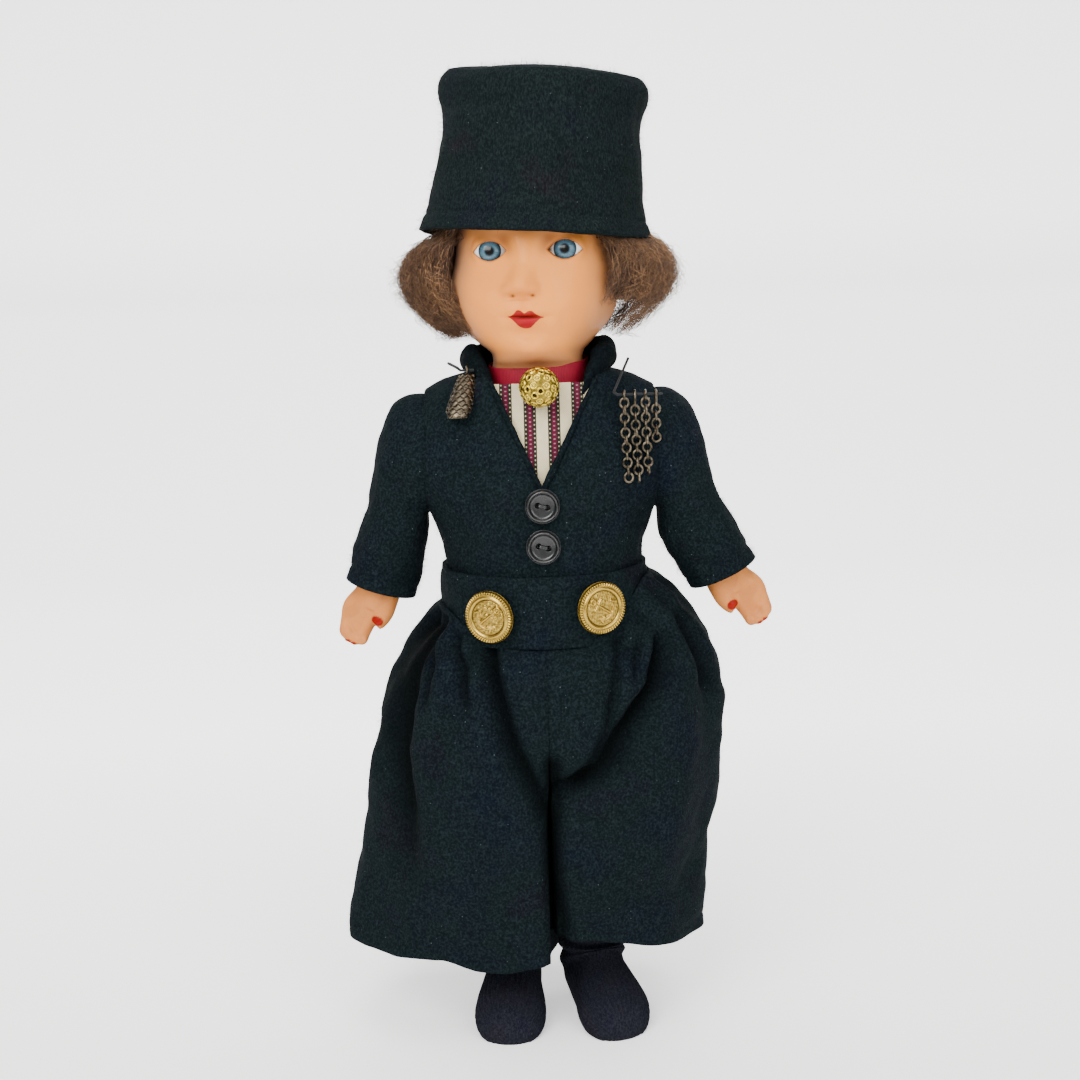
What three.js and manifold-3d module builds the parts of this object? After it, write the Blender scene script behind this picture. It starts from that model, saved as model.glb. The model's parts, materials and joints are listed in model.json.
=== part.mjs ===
// A strung composition doll in a fisher's dress: felt cap, wool jacket, wide trousers and knitted socks.
// The doll stands on its soles at z = 0, looks along -Y, and its own left side is +X.
import * as THREE from "three";
import { mergeVertices } from "three/addons/utils/BufferGeometryUtils.js";
import Module from "manifold-3d";

const wasm = await Module();
wasm.setup();

// Clearances and walls, in millimetres.
const GAP = 0.3;
const COMPOSITION_WALL = 3;
const CLOTH_WALL = 1.6;
const SHIRT_WALL = 0.8;

// Stature: floor to hip axis, hip axis to shoulder axis, shoulder axis to the centre of the neck ball.
const HIP_HEIGHT = 112;
const SHOULDER_RISE = 76;
const NECK_RISE = 26;

// Torso, as half widths and half depths.
const SEAT_DROP = 13;
const HIP_HALF_WIDTH = 26.5;
const HIP_HALF_DEPTH = 20;
const WAIST_HALF_WIDTH = 25.5;
const WAIST_HALF_DEPTH = 19.5;
const WAIST_RISE = 36;
const CHEST_HALF_WIDTH = 31.5;
const CHEST_HALF_DEPTH = 18.5;
const SHOULDER_TOP_RISE = 19.3;
const NECK_RADIUS = 14.5;
const NECK_BORE_RADIUS = 8;

// Limb sockets: the flat seats on the torso, and the round faces that turn in them.
const ARM_SEAT_X = 26;
const ARM_DRUM_RADIUS = 12;
const LEG_SEAT_X = 14;
const LEG_DRUM_RADIUS = 14;
const LEG_DRUM_LENGTH = 12;
const SOCKET_BORE_RADIUS = 4.6;

// Stringing: wire hooks, and elastic cords with a knot in each hook.
const HOOK_RING_RADIUS = 3.2;
const HOOK_WIRE_RADIUS = 0.7;
const HOOK_DEPTH = 7;
const HOOK_INSET = 8;
const ELASTIC_RADIUS = 1;
const KNOT_RADIUS = 2.1;
const ARM_ELASTIC_BOW = 6;
const BODY_ELASTIC_SPREAD = 1.7;
const NECK_HOOK_DROP = 16;

// Head, measured up from the neck ball's centre.
const HEAD_TURN = -6.5;
const FACE_HALF_WIDTH = 24.4;
const FACE_DEPTH = 25.4;
const SKULL_DEPTH = 27.5;
const CROWN_RISE = 63;
const CROWN_OPENING_RADIUS = 13;
const EYE_X = 11.1;
const EYE_Y = -15.6;
const EYE_RISE = 35.4;
const EYE_RADIUS = 6.5;
const EYE_OPENING_HALF_WIDTH = 4.7;
const EYE_OPENING_HALF_HEIGHT = 3.3;
const NOSE_RISE = 23.4;
const MOUTH_RISE = 14.8;
const CHIN_RISE = 6.5;
const ROCKER_RADIUS = 0.9;
const WEIGHT_DROP = 12;
const WEIGHT_RADIUS = 3.6;
const WEIGHT_LENGTH = 7;

// Wig and cap.
const WIG_CAP_EASE = 1.9;
const WIG_BOTTOM_RISE = 9.5;
const WIG_HALF_WIDTH = 41.6;
const WIG_BACK_DEPTH = 32;
const WIG_FACE_HALF_WIDTH = 24.8;
const WIG_FACE_EDGE_Y = -6;
const HAT_RISE = 40.8;
const HAT_ROLL = 3.2;
const HAT_HEIGHT = 43.5;
const HAT_BRIM_HALF_WIDTH = 36;
const HAT_BRIM_HALF_DEPTH = 33.5;
const HAT_CROWN_HALF_WIDTH = 30.4;
const HAT_CROWN_HALF_DEPTH = 28;
const HAT_CROWN_THICKNESS = 2.6;
const HAT_SIDES = 22;

// Jacket, collar, shirt front and neck ribbon.
const JACKET_EASE_SIDE = 5;
const JACKET_EASE_FRONT = 8;
const ARMHOLE_X = 35.7;
const ARMHOLE_RADIUS = 18;
const JACKET_NECK_RISE = 24;
const JACKET_NECK_HALF_WIDTH = 22;
const JACKET_NECK_HALF_DEPTH = 19;
const JACKET_SIDES = 20;
const NECKLINE_DROP = 9.5;
const NECKLINE_HALF_WIDTH = 17;
const COLLAR_RADIUS = 21.3;
const COLLAR_FLARE = 4;
const COLLAR_HALF_THICKNESS = 2;
const COLLAR_HALF_HEIGHT = 4.4;
const COLLAR_OPEN_ANGLE = 78;
const SHIRT_HALF_WIDTH = 19;
const SHIRT_TOP_RISE = 20.5;
const SHIRT_DROP = 17;
const RIBBON_HEIGHT = 6.1;
const RIBBON_THICKNESS = 0.8;
const RIBBON_RISE = -6.4;

// Sleeves and arms; the spread is each sleeve's angle from the vertical.
const SLEEVE_LENGTH = 40;
const SLEEVE_HEM_WIDTH = 21.5;
const SLEEVE_HEM_HALF_DEPTH = 11.5;
const SPREAD_LEFT = 25;
const SPREAD_RIGHT = 15;
const ARM_RADIUS = 7;
const WRIST_RADIUS = 5;
const HAND_LENGTH = 19;
const PALM_HALF_WIDTH = 5.4;
const PALM_HALF_THICKNESS = 3.7;
const FINGER_RADIUS = 1.7;

// Waistband and trousers, measured from the hip axis.
const BAND_BOTTOM_RISE = 19;
const BAND_HEIGHT = 22;
const BAND_WALL = 1.8;
const TROUSER_SPLIT_DROP = 36.5;
const TROUSER_HEM_DROP = 86;
const TROUSER_HALF_DEPTH = 32.5;
const TROUSER_HIP_LEFT = 57;
const TROUSER_HIP_RIGHT = 53;
const TROUSER_HEM_LEFT = 48.5;
const TROUSER_HEM_RIGHT = 67.5;
const CROTCH_DROP = 24;
const FOLD_DEPTH = 1.7;
const PLEAT_DEPTH = 9;
const ARC_STEPS = 20;

// Legs, feet and socks.
const THIGH_RADIUS = 9.5;
const CALF_RADIUS = 7.6;
const ANKLE_RADIUS = 5.6;
const ANKLE_HEIGHT = 24;
const ANKLE_X = 14;
const FOOT_LENGTH = 41;
const FOOT_HALF_WIDTH = 9.6;
const HEEL_Y = 13;
const SOLE_HEIGHT = 1.6;
const SOCK_WALL = 1.2;
const SOCK_EASE = 0.5;
const SOCK_HEIGHT = 44;
const TOE_OUT_LEFT = 16;
const TOE_OUT_RIGHT = 3;
const LIMB_SIDES = 10;

// Buttons, bead, chains and pendant.
const JACKET_BUTTON_RADIUS = 5.2;
const JACKET_BUTTON_THICKNESS = 2.4;
const JACKET_BUTTON_UPPER_RISE = -13.6;
const JACKET_BUTTON_LOWER_RISE = -25.8;
const BUTTON_HOLE_RADIUS = 0.8;
const GOLD_BUTTON_RADIUS = 8;
const GOLD_BUTTON_THICKNESS = 3;
const GOLD_BUTTON_X = 16.7;
const GOLD_BUTTON_RISE = 11.5;
const SHANK_LENGTH = 2;
const BEAD_RADIUS = 5.6;
const BEAD_LIFT = 1;
const LINK_RADIUS = 1.4;
const LINK_WIRE_RADIUS = 0.34;
const LINK_COUNTS = [12, 11, 11, 6];
const STRAND_PITCH = 3.15;
const STRAND_X = 25.2;
const TASSEL_BAR_Y = -22.2;
const TASSEL_BAR_RISE = 18.5;
const BAR_RADIUS = 0.45;
const BAR_OVERHANG = 2;
const PENDANT_X = -21.6;
const PENDANT_BAR_Y = -14.4;
const PENDANT_BAR_RISE = 26.6;
const PENDANT_LENGTH = 14;
const PENDANT_HALF_WIDTH = 4.8;
const PENDANT_HALF_THICKNESS = 2.6;
const PENDANT_ROWS = 7;

const TAU = Math.PI * 2;
const RIGHT_ANGLE = Math.PI / 2;

const MATERIALS = {
  composition: standard("#d8a27e", 0.35),
  felt: standard("#14191b", 0.95),
  wool: standard("#15191e", 0.95),
  knit: standard("#171a22", 0.95),
  mohair: standard("#5b4636", 0.85),
  shirting: standard("#d8cdb8", 0.9),
  ribbon: standard("#8c1420", 0.6),
  gilt: standard("#b88a3c", 0.35, 1),
  silver: standard("#a39c8c", 0.35, 1),
  steel: standard("#8b8d90", 0.4, 1),
  lead: standard("#5f6266", 0.6, 1),
  horn: standard("#1b1b1d", 0.25),
  glass: standard("#5b8fc0", 0.08),
  elastic: standard("#c9bfa8", 0.8),
  wood: standard("#a9835a", 0.7),
};

function standard(color, roughness, metalness = 0) {
  return new THREE.MeshStandardMaterial({ color, roughness, metalness });
}

function at(x, y, z) {
  return new THREE.Vector3(x, y, z);
}

function radians(degrees) {
  return THREE.MathUtils.degToRad(degrees);
}

// A number raised to a power that keeps its sign, for rounded-square outlines.
function signedPower(value, power) {
  return Math.sign(value) * Math.abs(value) ** power;
}

// Values from 0 to 1 in equal steps, both ends included.
function steps(count) {
  return Array.from({ length: count + 1 }, (_, index) => index / count);
}

// Six times the signed volume of an indexed mesh; negative when its faces point inwards.
function signedVolume(positions, faces) {
  let total = 0;
  for (let face = 0; face < faces.length; face += 3) {
    const [a, b, c] = [0, 1, 2].map((corner) => {
      const first = faces[face + corner] * 3;
      return at(positions[first], positions[first + 1], positions[first + 2]);
    });
    total += a.dot(b.cross(c));
  }
  return total;
}

// A closed surface through rings of points, each ring with as many points. The last ring joins the first
// where joined is true, and otherwise both end rings are closed by a fan.
function loft(rings, joined = false) {
  const count = rings[0].length;
  const positions = rings.flat().flatMap((point) => point.toArray());
  const faces = [];
  const bands = joined ? rings.length : rings.length - 1;
  for (let band = 0; band < bands; band += 1) {
    const next = (band + 1) % rings.length;
    for (let index = 0; index < count; index += 1) {
      const beside = (index + 1) % count;
      const here = [band * count + index, band * count + beside];
      const there = [next * count + index, next * count + beside];
      faces.push(here[0], here[1], there[1], here[0], there[1], there[0]);
    }
  }
  if (!joined) {
    closeEnd(rings[0], 0, positions, faces, false);
    closeEnd(rings.at(-1), (rings.length - 1) * count, positions, faces, true);
  }
  if (signedVolume(positions, faces) < 0) {
    faces.reverse();
  }
  const geometry = new THREE.BufferGeometry();
  geometry.setAttribute("position", new THREE.Float32BufferAttribute(positions, 3));
  geometry.setIndex(faces);
  return solid(geometry);
}

// Adds a fan of triangles from an end ring to its middle.
function closeEnd(ring, first, positions, faces, forward) {
  const middle = ring.reduce((sum, point) => sum.add(point), at(0, 0, 0)).divideScalar(ring.length);
  const hub = positions.length / 3;
  positions.push(...middle.toArray());
  ring.forEach((_, index) => {
    const pair = [first + index, first + ((index + 1) % ring.length)];
    faces.push(hub, ...(forward ? pair : pair.reverse()));
  });
}

// A closed geometry as a solid that can be joined and cut.
function solid(geometry) {
  const bare = new THREE.BufferGeometry();
  bare.setAttribute("position", geometry.getAttribute("position"));
  bare.setIndex(geometry.getIndex());
  const merged = mergeVertices(bare, 1e-4);
  const vertProperties = new Float32Array(merged.getAttribute("position").array);
  const triVerts = new Uint32Array(merged.getIndex().array);
  return new wasm.Manifold(new wasm.Mesh({ numProp: 3, vertProperties, triVerts }));
}

function geometryOf(body) {
  const { vertProperties, triVerts } = body.getMesh();
  const geometry = new THREE.BufferGeometry();
  geometry.setAttribute("position", new THREE.BufferAttribute(vertProperties, 3));
  geometry.setIndex(new THREE.BufferAttribute(triVerts, 1));
  geometry.computeVertexNormals();
  return geometry;
}

function named(name, body, material) {
  const mesh = new THREE.Mesh(geometryOf(body), MATERIALS[material]);
  mesh.name = name;
  return mesh;
}

function placed(geometry, x, y, z) {
  return solid(geometry.translate(x, y, z));
}

function union(bodies) {
  return bodies.reduce((whole, body) => whole.add(body));
}

function box(low, high) {
  const size = high.clone().sub(low);
  const middle = high.clone().add(low).divideScalar(2);
  return placed(new THREE.BoxGeometry(size.x, size.y, size.z), middle.x, middle.y, middle.z);
}

// A cylinder whose axis lies along X, from one x to another, about the point (y, z).
function rodAlongX(radius, from, to, y, z, sides = 16) {
  const bar = new THREE.CylinderGeometry(radius, radius, Math.abs(to - from), sides).rotateZ(RIGHT_ANGLE);
  return placed(bar, (from + to) / 2, y, z);
}

function rodAlongZ(radius, from, to, x, y, sides = 16) {
  const bar = new THREE.CylinderGeometry(radius, radius, to - from, sides).rotateX(RIGHT_ANGLE);
  return placed(bar, x, y, (from + to) / 2);
}

function ball(radius, centre, across = 14, down = 9) {
  return placed(new THREE.SphereGeometry(radius, across, down), centre.x, centre.y, centre.z);
}

// A round wire along a smooth curve through points.
function wire(points, radius, stepCount, sides = 5) {
  const ring = oval(at(0, 0, 0), radius, radius, sides);
  const section = new THREE.Shape(ring.map((point) => new THREE.Vector2(point.x, point.y)));
  const path = new THREE.CatmullRomCurve3(points);
  return solid(new THREE.ExtrudeGeometry(section, { steps: stepCount, extrudePath: path }));
}

// A wire along a bent line of straight runs, mitred at its corners.
function bentWire(points, radius, sides = 5) {
  const rings = points.map((point, index) => {
    const before = point.clone().sub(points[Math.max(index - 1, 0)]).normalize();
    const after = points[Math.min(index + 1, points.length - 1)].clone().sub(point).normalize();
    const heading = before.add(after).normalize();
    const across = heading.clone().cross(at(0, 0, 1)).normalize();
    const up = across.clone().cross(heading);
    return oval(at(0, 0, 0), radius, radius, sides).map((spot) => {
      return point.clone().addScaledVector(across, spot.x).addScaledVector(up, spot.y);
    });
  });
  return loft(rings);
}

// A flat oval ring of points about a centre; power 2 is an ellipse, more is squarer.
function oval(centre, halfWidth, halfDepth, count, power = 2) {
  return steps(count).slice(0, -1).map((share) => {
    const angle = share * TAU;
    const x = halfWidth * signedPower(Math.cos(angle), 2 / power);
    const y = halfDepth * signedPower(Math.sin(angle), 2 / power);
    return at(centre.x + x, centre.y + y, centre.z);
  });
}

// Smooth rows between key rows, each [rise, half width, half depth].
function smoothRows(keys, rows) {
  const curve = new THREE.CatmullRomCurve3(keys.map((key) => at(...key)), false, "centripetal");
  return steps(rows).map((share) => curve.getPoint(share).toArray());
}

function ovalRings(rows, count, inset = 0) {
  return rows.map(([rise, width, depth]) => oval(at(0, 0, rise), width - inset, depth - inset, count));
}

// A tube of cloth with a wall: outer rings one way, inner rings back.
function clothTube(outer, inner) {
  return loft([...outer, ...inner.toReversed()], true);
}

// An extruded outline in the X-Z plane, from the back y to the front y.
function prismAlongY(corners, from, to) {
  const outline = new THREE.Shape(corners.map(([x, z]) => new THREE.Vector2(x, z)));
  const block = new THREE.ExtrudeGeometry(outline, { depth: to - from, bevelEnabled: false });
  return placed(block.rotateX(RIGHT_ANGLE), 0, to, 0);
}

// A turned piece about Z from a profile of [radius, height] pairs that starts and ends on the axis.
function turned(profile, segments) {
  const points = profile.map(([radius, height]) => new THREE.Vector2(radius, height));
  return new THREE.LatheGeometry(points, segments).rotateX(RIGHT_ANGLE);
}

// Torso shell: two glued halves with sockets for the neck, arms and legs.
function torsoRows() {
  const chest = SHOULDER_RISE;
  return smoothRows([
    [-SEAT_DROP, HIP_HALF_WIDTH * 0.35, HIP_HALF_DEPTH * 0.4],
    [-SEAT_DROP + 5, HIP_HALF_WIDTH * 0.68, HIP_HALF_DEPTH * 0.75],
    [2, HIP_HALF_WIDTH - 0.5, HIP_HALF_DEPTH - 0.5],
    [18, HIP_HALF_WIDTH, HIP_HALF_DEPTH],
    [WAIST_RISE, WAIST_HALF_WIDTH, WAIST_HALF_DEPTH],
    [chest - 20, CHEST_HALF_WIDTH - 3, CHEST_HALF_DEPTH + 1.5],
    [chest - 2, CHEST_HALF_WIDTH, CHEST_HALF_DEPTH],
    [chest + 9, CHEST_HALF_WIDTH, CHEST_HALF_DEPTH - 1.3],
    [chest + SHOULDER_TOP_RISE - 4, CHEST_HALF_WIDTH - 1, CHEST_HALF_DEPTH - 1.8],
    [chest + SHOULDER_TOP_RISE, CHEST_HALF_WIDTH - 4, CHEST_HALF_DEPTH - 2.3],
  ], 10);
}

function torsoShell() {
  const rows = torsoRows();
  const hollowRows = rows.slice(2, -2);
  const neckCentre = at(0, 0, SHOULDER_RISE + NECK_RISE);
  const reach = CHEST_HALF_WIDTH + HIP_HALF_WIDTH;
  const cuts = [
    loft(ovalRings(hollowRows, 10, COMPOSITION_WALL)),
    ball(NECK_RADIUS + 2 * GAP, neckCentre, 16, 10),
    rodAlongZ(NECK_BORE_RADIUS, WAIST_RISE, neckCentre.z, 0, 0),
    rodAlongX(SOCKET_BORE_RADIUS, -reach, reach, 0, 0, 12),
    rodAlongX(SOCKET_BORE_RADIUS, -reach, reach, 0, SHOULDER_RISE, 12),
  ];
  for (const side of [1, -1]) {
    cuts.push(rodAlongX(ARM_DRUM_RADIUS + GAP, side * ARM_SEAT_X, side * reach, 0, SHOULDER_RISE));
    cuts.push(rodAlongX(LEG_DRUM_RADIUS + GAP, side * LEG_SEAT_X, side * reach, 0, 0));
    const below = [side * LEG_SEAT_X, side * reach].sort((a, b) => a - b);
    const halfSlot = LEG_DRUM_RADIUS + GAP;
    cuts.push(box(at(below[0], -reach, -SEAT_DROP * 2), at(below[1], halfSlot, THIGH_RADIUS + 3)));
  }
  return cuts.reduce((body, cut) => body.subtract(cut), loft(ovalRings(rows, 14)));
}

function torsoHalves() {
  const shell = torsoShell();
  const reach = CHEST_HALF_WIDTH + HIP_HALF_WIDTH;
  const low = -SEAT_DROP * 2;
  const high = SHOULDER_RISE + NECK_RISE;
  const front = shell.intersect(box(at(-reach, -reach, low), at(reach, -GAP / 2, high)));
  const back = shell.intersect(box(at(-reach, GAP / 2, low), at(reach, reach, high)));
  return [named("torso_front", front, "composition"), named("torso_back", back, "composition")];
}

// A wire hook on a limb: a shank let into the limb, and an open ring that holds the knot on the axis.
function limbHookPoints(side, seatX) {
  const ringX = seatX - HOOK_DEPTH;
  const shank = [at(side * (seatX + HOOK_INSET), 0, 0), at(side * (ringX + HOOK_RING_RADIUS + 1.5), 0, 0)];
  const curl = [20, 50, 80, 110, 135].map((degrees) => {
    const angle = radians(degrees);
    return at(side * (ringX + HOOK_RING_RADIUS * Math.cos(angle)), 0, HOOK_RING_RADIUS * Math.sin(angle));
  });
  return [...shank, ...curl];
}

function limbHook(name, side, seatX) {
  return named(name, wire(limbHookPoints(side, seatX), HOOK_WIRE_RADIUS, 10), "steel");
}

// The bore that a hook's shank takes in its limb.
function hookBore(side, seatX) {
  const radius = HOOK_WIRE_RADIUS + GAP;
  return rodAlongX(radius, side * (seatX - 1), side * (seatX + HOOK_INSET + GAP), 0, 0, 10);
}

function armElastic() {
  const knotX = ARM_SEAT_X - HOOK_DEPTH;
  const bow = [-1, -0.55, 0, 0.55, 1].map((share) => {
    return at(share * knotX, ARM_ELASTIC_BOW * (1 - Math.abs(share) ** 1.5), SHOULDER_RISE);
  });
  const knots = [-knotX, knotX].map((x) => ball(KNOT_RADIUS, at(x, 0, SHOULDER_RISE), 7, 5));
  return named("arm_elastic", union([wire(bow, ELASTIC_RADIUS, 8), ...knots]), "elastic");
}

// The height of the neck hook's ring centre above the hip axis.
function neckRingRise() {
  return SHOULDER_RISE + NECK_RISE - NECK_HOOK_DROP;
}

// One cord from the left leg's hook up through the neck hook's ring and down to the right leg's hook.
function bodyElastic() {
  const knotX = LEG_SEAT_X - HOOK_DEPTH;
  const apex = neckRingRise() - HOOK_RING_RADIUS + HOOK_WIRE_RADIUS + GAP * 2 + ELASTIC_RADIUS;
  const spread = BODY_ELASTIC_SPREAD;
  const wide = spread + HOOK_WIRE_RADIUS + GAP;
  const rise = (side) => [
    at(side * knotX, 0, 0),
    at(side * (spread + 2), 0, 0.1),
    at(side * spread, 0, 2.5),
    at(side * spread, 0, SHOULDER_RISE / 2),
    at(side * wide, 0, apex - 4),
    at(side * wide * 0.9, 0, apex - 1.4),
  ];
  const route = [...rise(-1), at(0, 0, apex), ...rise(1).reverse()];
  const knots = [-knotX, knotX].map((x) => ball(KNOT_RADIUS, at(x, 0, 0), 7, 5));
  return named("body_elastic", union([wire(route, ELASTIC_RADIUS, 30, 4), ...knots]), "elastic");
}

// The neck hook hangs from a washer on the neck plug, so the head turns round its stem.
function neckHook() {
  const pivot = SHOULDER_RISE + NECK_RISE;
  const ringRise = neckRingRise();
  const top = pivot + plugTop() + GAP + 1.4;
  const eye = new THREE.TorusGeometry(HOOK_RING_RADIUS, HOOK_WIRE_RADIUS, 5, 10).rotateY(RIGHT_ANGLE);
  const ring = placed(eye, 0, 0, ringRise);
  const stem = rodAlongZ(HOOK_WIRE_RADIUS, ringRise + HOOK_RING_RADIUS - 0.2, top - 0.2, 0, 0, 8);
  const washer = rodAlongZ(HOOK_RING_RADIUS, top - 1.4, top, 0, 0, 12);
  return named("neck_hook", union([ring, stem, washer]), "steel");
}

// Neck plug: a wooden flange on the floor of the neck, with a spigot in the neck's bore.
function plugFloor() {
  return -NECK_RADIUS + COMPOSITION_WALL + 1.5;
}

function plugTop() {
  return plugFloor() + GAP + 3;
}

function neckPlug() {
  const bore = HOOK_WIRE_RADIUS + GAP;
  const spigot = NECK_BORE_RADIUS - GAP;
  const flange = NECK_BORE_RADIUS + 1.3;
  const bottom = -Math.sqrt(NECK_RADIUS ** 2 - NECK_BORE_RADIUS ** 2) + 0.4;
  const seat = plugFloor() + GAP;
  const profile = [
    [bore, bottom], [spigot, bottom], [spigot, seat], [flange, seat],
    [flange, plugTop()], [bore, plugTop()], [bore, bottom],
  ];
  return named("neck_plug", solid(turned(profile, 14)), "wood");
}

// Face forms that stand out from the head's plain oval: place, reach across, up and down, and height.
const FACE_FORMS = [
  { x: 0, rise: NOSE_RISE, across: 2.7, up: 4.6, down: 2, height: 4.6 },
  { x: 0, rise: NOSE_RISE + 7.5, across: 3, up: 4, down: 4, height: 1 },
  { x: 0, rise: MOUTH_RISE, across: 5, up: 2.4, down: 2.4, height: 1 },
  { x: 0, rise: CHIN_RISE, across: 6, up: 3, down: 3, height: 1.2 },
  { x: 13, rise: MOUTH_RISE + 4, across: 6, up: 6, down: 6, height: 1 },
  { x: -13, rise: MOUTH_RISE + 4, across: 6, up: 6, down: 6, height: 1 },
  { x: EYE_X, rise: EYE_RISE, across: 5.5, up: 4, down: 4, height: -1.3 },
  { x: -EYE_X, rise: EYE_RISE, across: 5.5, up: 4, down: 4, height: -1.3 },
];

function faceRelief(x, rise) {
  return FACE_FORMS.reduce((sum, form) => {
    const reach = rise > form.rise ? form.up : form.down;
    const away = ((x - form.x) / form.across) ** 2 + ((rise - form.rise) / reach) ** 2;
    return sum + form.height * Math.exp(-away);
  }, 0);
}

// Head rows: [rise, half width, depth in front, depth behind], from the neck ball to the crown.
function headRows() {
  const chord = (rise) => Math.sqrt(NECK_RADIUS ** 2 - rise ** 2);
  const neck = [-0.9, -0.72, -0.4, 0].map((share) => {
    const radius = chord(share * NECK_RADIUS);
    return [share * NECK_RADIUS, radius, radius, radius];
  });
  const wide = FACE_HALF_WIDTH;
  const face = [
    [2, NECK_RADIUS + 0.1, NECK_RADIUS + 1.2, NECK_RADIUS + 0.2],
    [4, NECK_RADIUS + 0.4, FACE_DEPTH - 5, NECK_RADIUS + 1],
    [6.2, wide - 8.6, FACE_DEPTH - 2.8, NECK_RADIUS + 2],
    [8.4, wide - 6.3, FACE_DEPTH - 2, NECK_RADIUS + 3.2],
    [11, wide - 4.4, FACE_DEPTH - 1.2, SKULL_DEPTH - 8],
    [13.4, wide - 3.1, FACE_DEPTH - 0.7, SKULL_DEPTH - 6.4],
    [15.6, wide - 2, FACE_DEPTH - 0.3, SKULL_DEPTH - 5],
    [18.4, wide - 1.2, FACE_DEPTH, SKULL_DEPTH - 3.4],
    [21, wide - 0.7, FACE_DEPTH, SKULL_DEPTH - 2.2],
    [23.4, wide - 0.4, FACE_DEPTH, SKULL_DEPTH - 1.4],
    [26, wide - 0.2, FACE_DEPTH - 0.2, SKULL_DEPTH - 0.7],
    [29.5, wide, FACE_DEPTH - 0.4, SKULL_DEPTH],
    [32.5, wide, FACE_DEPTH - 0.5, SKULL_DEPTH],
    [35.4, wide, FACE_DEPTH - 0.6, SKULL_DEPTH],
    [38.4, wide, FACE_DEPTH - 0.7, SKULL_DEPTH - 0.2],
    [42, wide - 0.6, FACE_DEPTH - 1.1, SKULL_DEPTH - 0.8],
    [CROWN_RISE - 16, wide - 2.2, FACE_DEPTH - 2.6, SKULL_DEPTH - 2.2],
    [CROWN_RISE - 10.5, wide - 5.2, FACE_DEPTH - 5.8, SKULL_DEPTH - 5.5],
    [CROWN_RISE - 5.5, wide - 9.8, FACE_DEPTH - 10.6, SKULL_DEPTH - 10.8],
    [CROWN_RISE - 1.8, wide - 16.4, FACE_DEPTH - 17.4, SKULL_DEPTH - 18.4],
    [CROWN_RISE, 2, 2, 2],
  ];
  return [...neck, ...face];
}

// One row of the head as a ring whose points lie closer together across the face.
function headRing([rise, width, front, back], count, grow, withFace) {
  return steps(count).slice(0, -1).map((share) => {
    const angle = share * TAU - 0.5 * Math.sin(share * TAU);
    const x = (width + grow) * Math.sin(angle);
    const depth = Math.cos(angle) > 0 ? front : back;
    const relief = withFace && Math.cos(angle) > 0 ? faceRelief(x, rise) * Math.cos(angle) : 0;
    return at(x, -(depth + grow) * Math.cos(angle) - relief, rise);
  });
}

function headForm(rows, grow, count, withFace) {
  return loft(rows.map((row) => headRing(row, count, grow, withFace)));
}

function headShell() {
  const hollowRows = headRows().slice(1, -2).filter((_, index) => index % 2 === 1);
  hollowRows[0] = [plugFloor(), NECK_BORE_RADIUS + 5, NECK_BORE_RADIUS + 5, NECK_BORE_RADIUS + 5];
  const hollow = loft(hollowRows.map((row) => headRing(row, 12, -COMPOSITION_WALL, false)));
  const cuts = [
    hollow,
    rodAlongZ(CROWN_OPENING_RADIUS, CROWN_RISE - 14, CROWN_RISE + 5, 0, 0),
    rodAlongZ(NECK_BORE_RADIUS, -NECK_RADIUS, plugFloor() + 1, 0, 0),
  ];
  for (const side of [1, -1]) {
    cuts.push(ball(EYE_RADIUS + 2 * GAP, at(side * EYE_X, EYE_Y, EYE_RISE), 12, 8));
    cuts.push(eyeOpening(side));
  }
  const shell = cuts.reduce((body, cut) => body.subtract(cut), headForm(headRows(), 0, 22, true));
  return named("head_shell", shell, "composition");
}

// The almond-shaped opening in front of an eye.
function eyeOpening(side) {
  const rim = oval(at(side * EYE_X, 0, 0), EYE_OPENING_HALF_WIDTH, EYE_OPENING_HALF_HEIGHT, 12, 1.8);
  const corners = rim.map((point) => [point.x, point.y + EYE_RISE]);
  return prismAlongY(corners, -FACE_DEPTH - 6, EYE_Y);
}

function eyeball(name, side) {
  return named(name, ball(EYE_RADIUS, at(side * EYE_X, EYE_Y, EYE_RISE), 12, 8), "glass");
}

// A wire yoke between the eyes, with a stalk down to the lead that closes them.
function eyeRocker() {
  const half = EYE_X - EYE_RADIUS - GAP;
  const bar = rodAlongX(ROCKER_RADIUS, -half, half, EYE_Y, EYE_RISE, 8);
  const stalk = rodAlongZ(ROCKER_RADIUS, EYE_RISE - WEIGHT_DROP, EYE_RISE, 0, EYE_Y, 8);
  return named("eye_rocker", bar.add(stalk), "steel");
}

function eyeWeight() {
  const top = EYE_RISE - WEIGHT_DROP - GAP;
  const lump = rodAlongZ(WEIGHT_RADIUS, top - WEIGHT_LENGTH, top, 0, EYE_Y + 0.5, 12);
  return named("eye_weight", lump, "lead");
}

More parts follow.
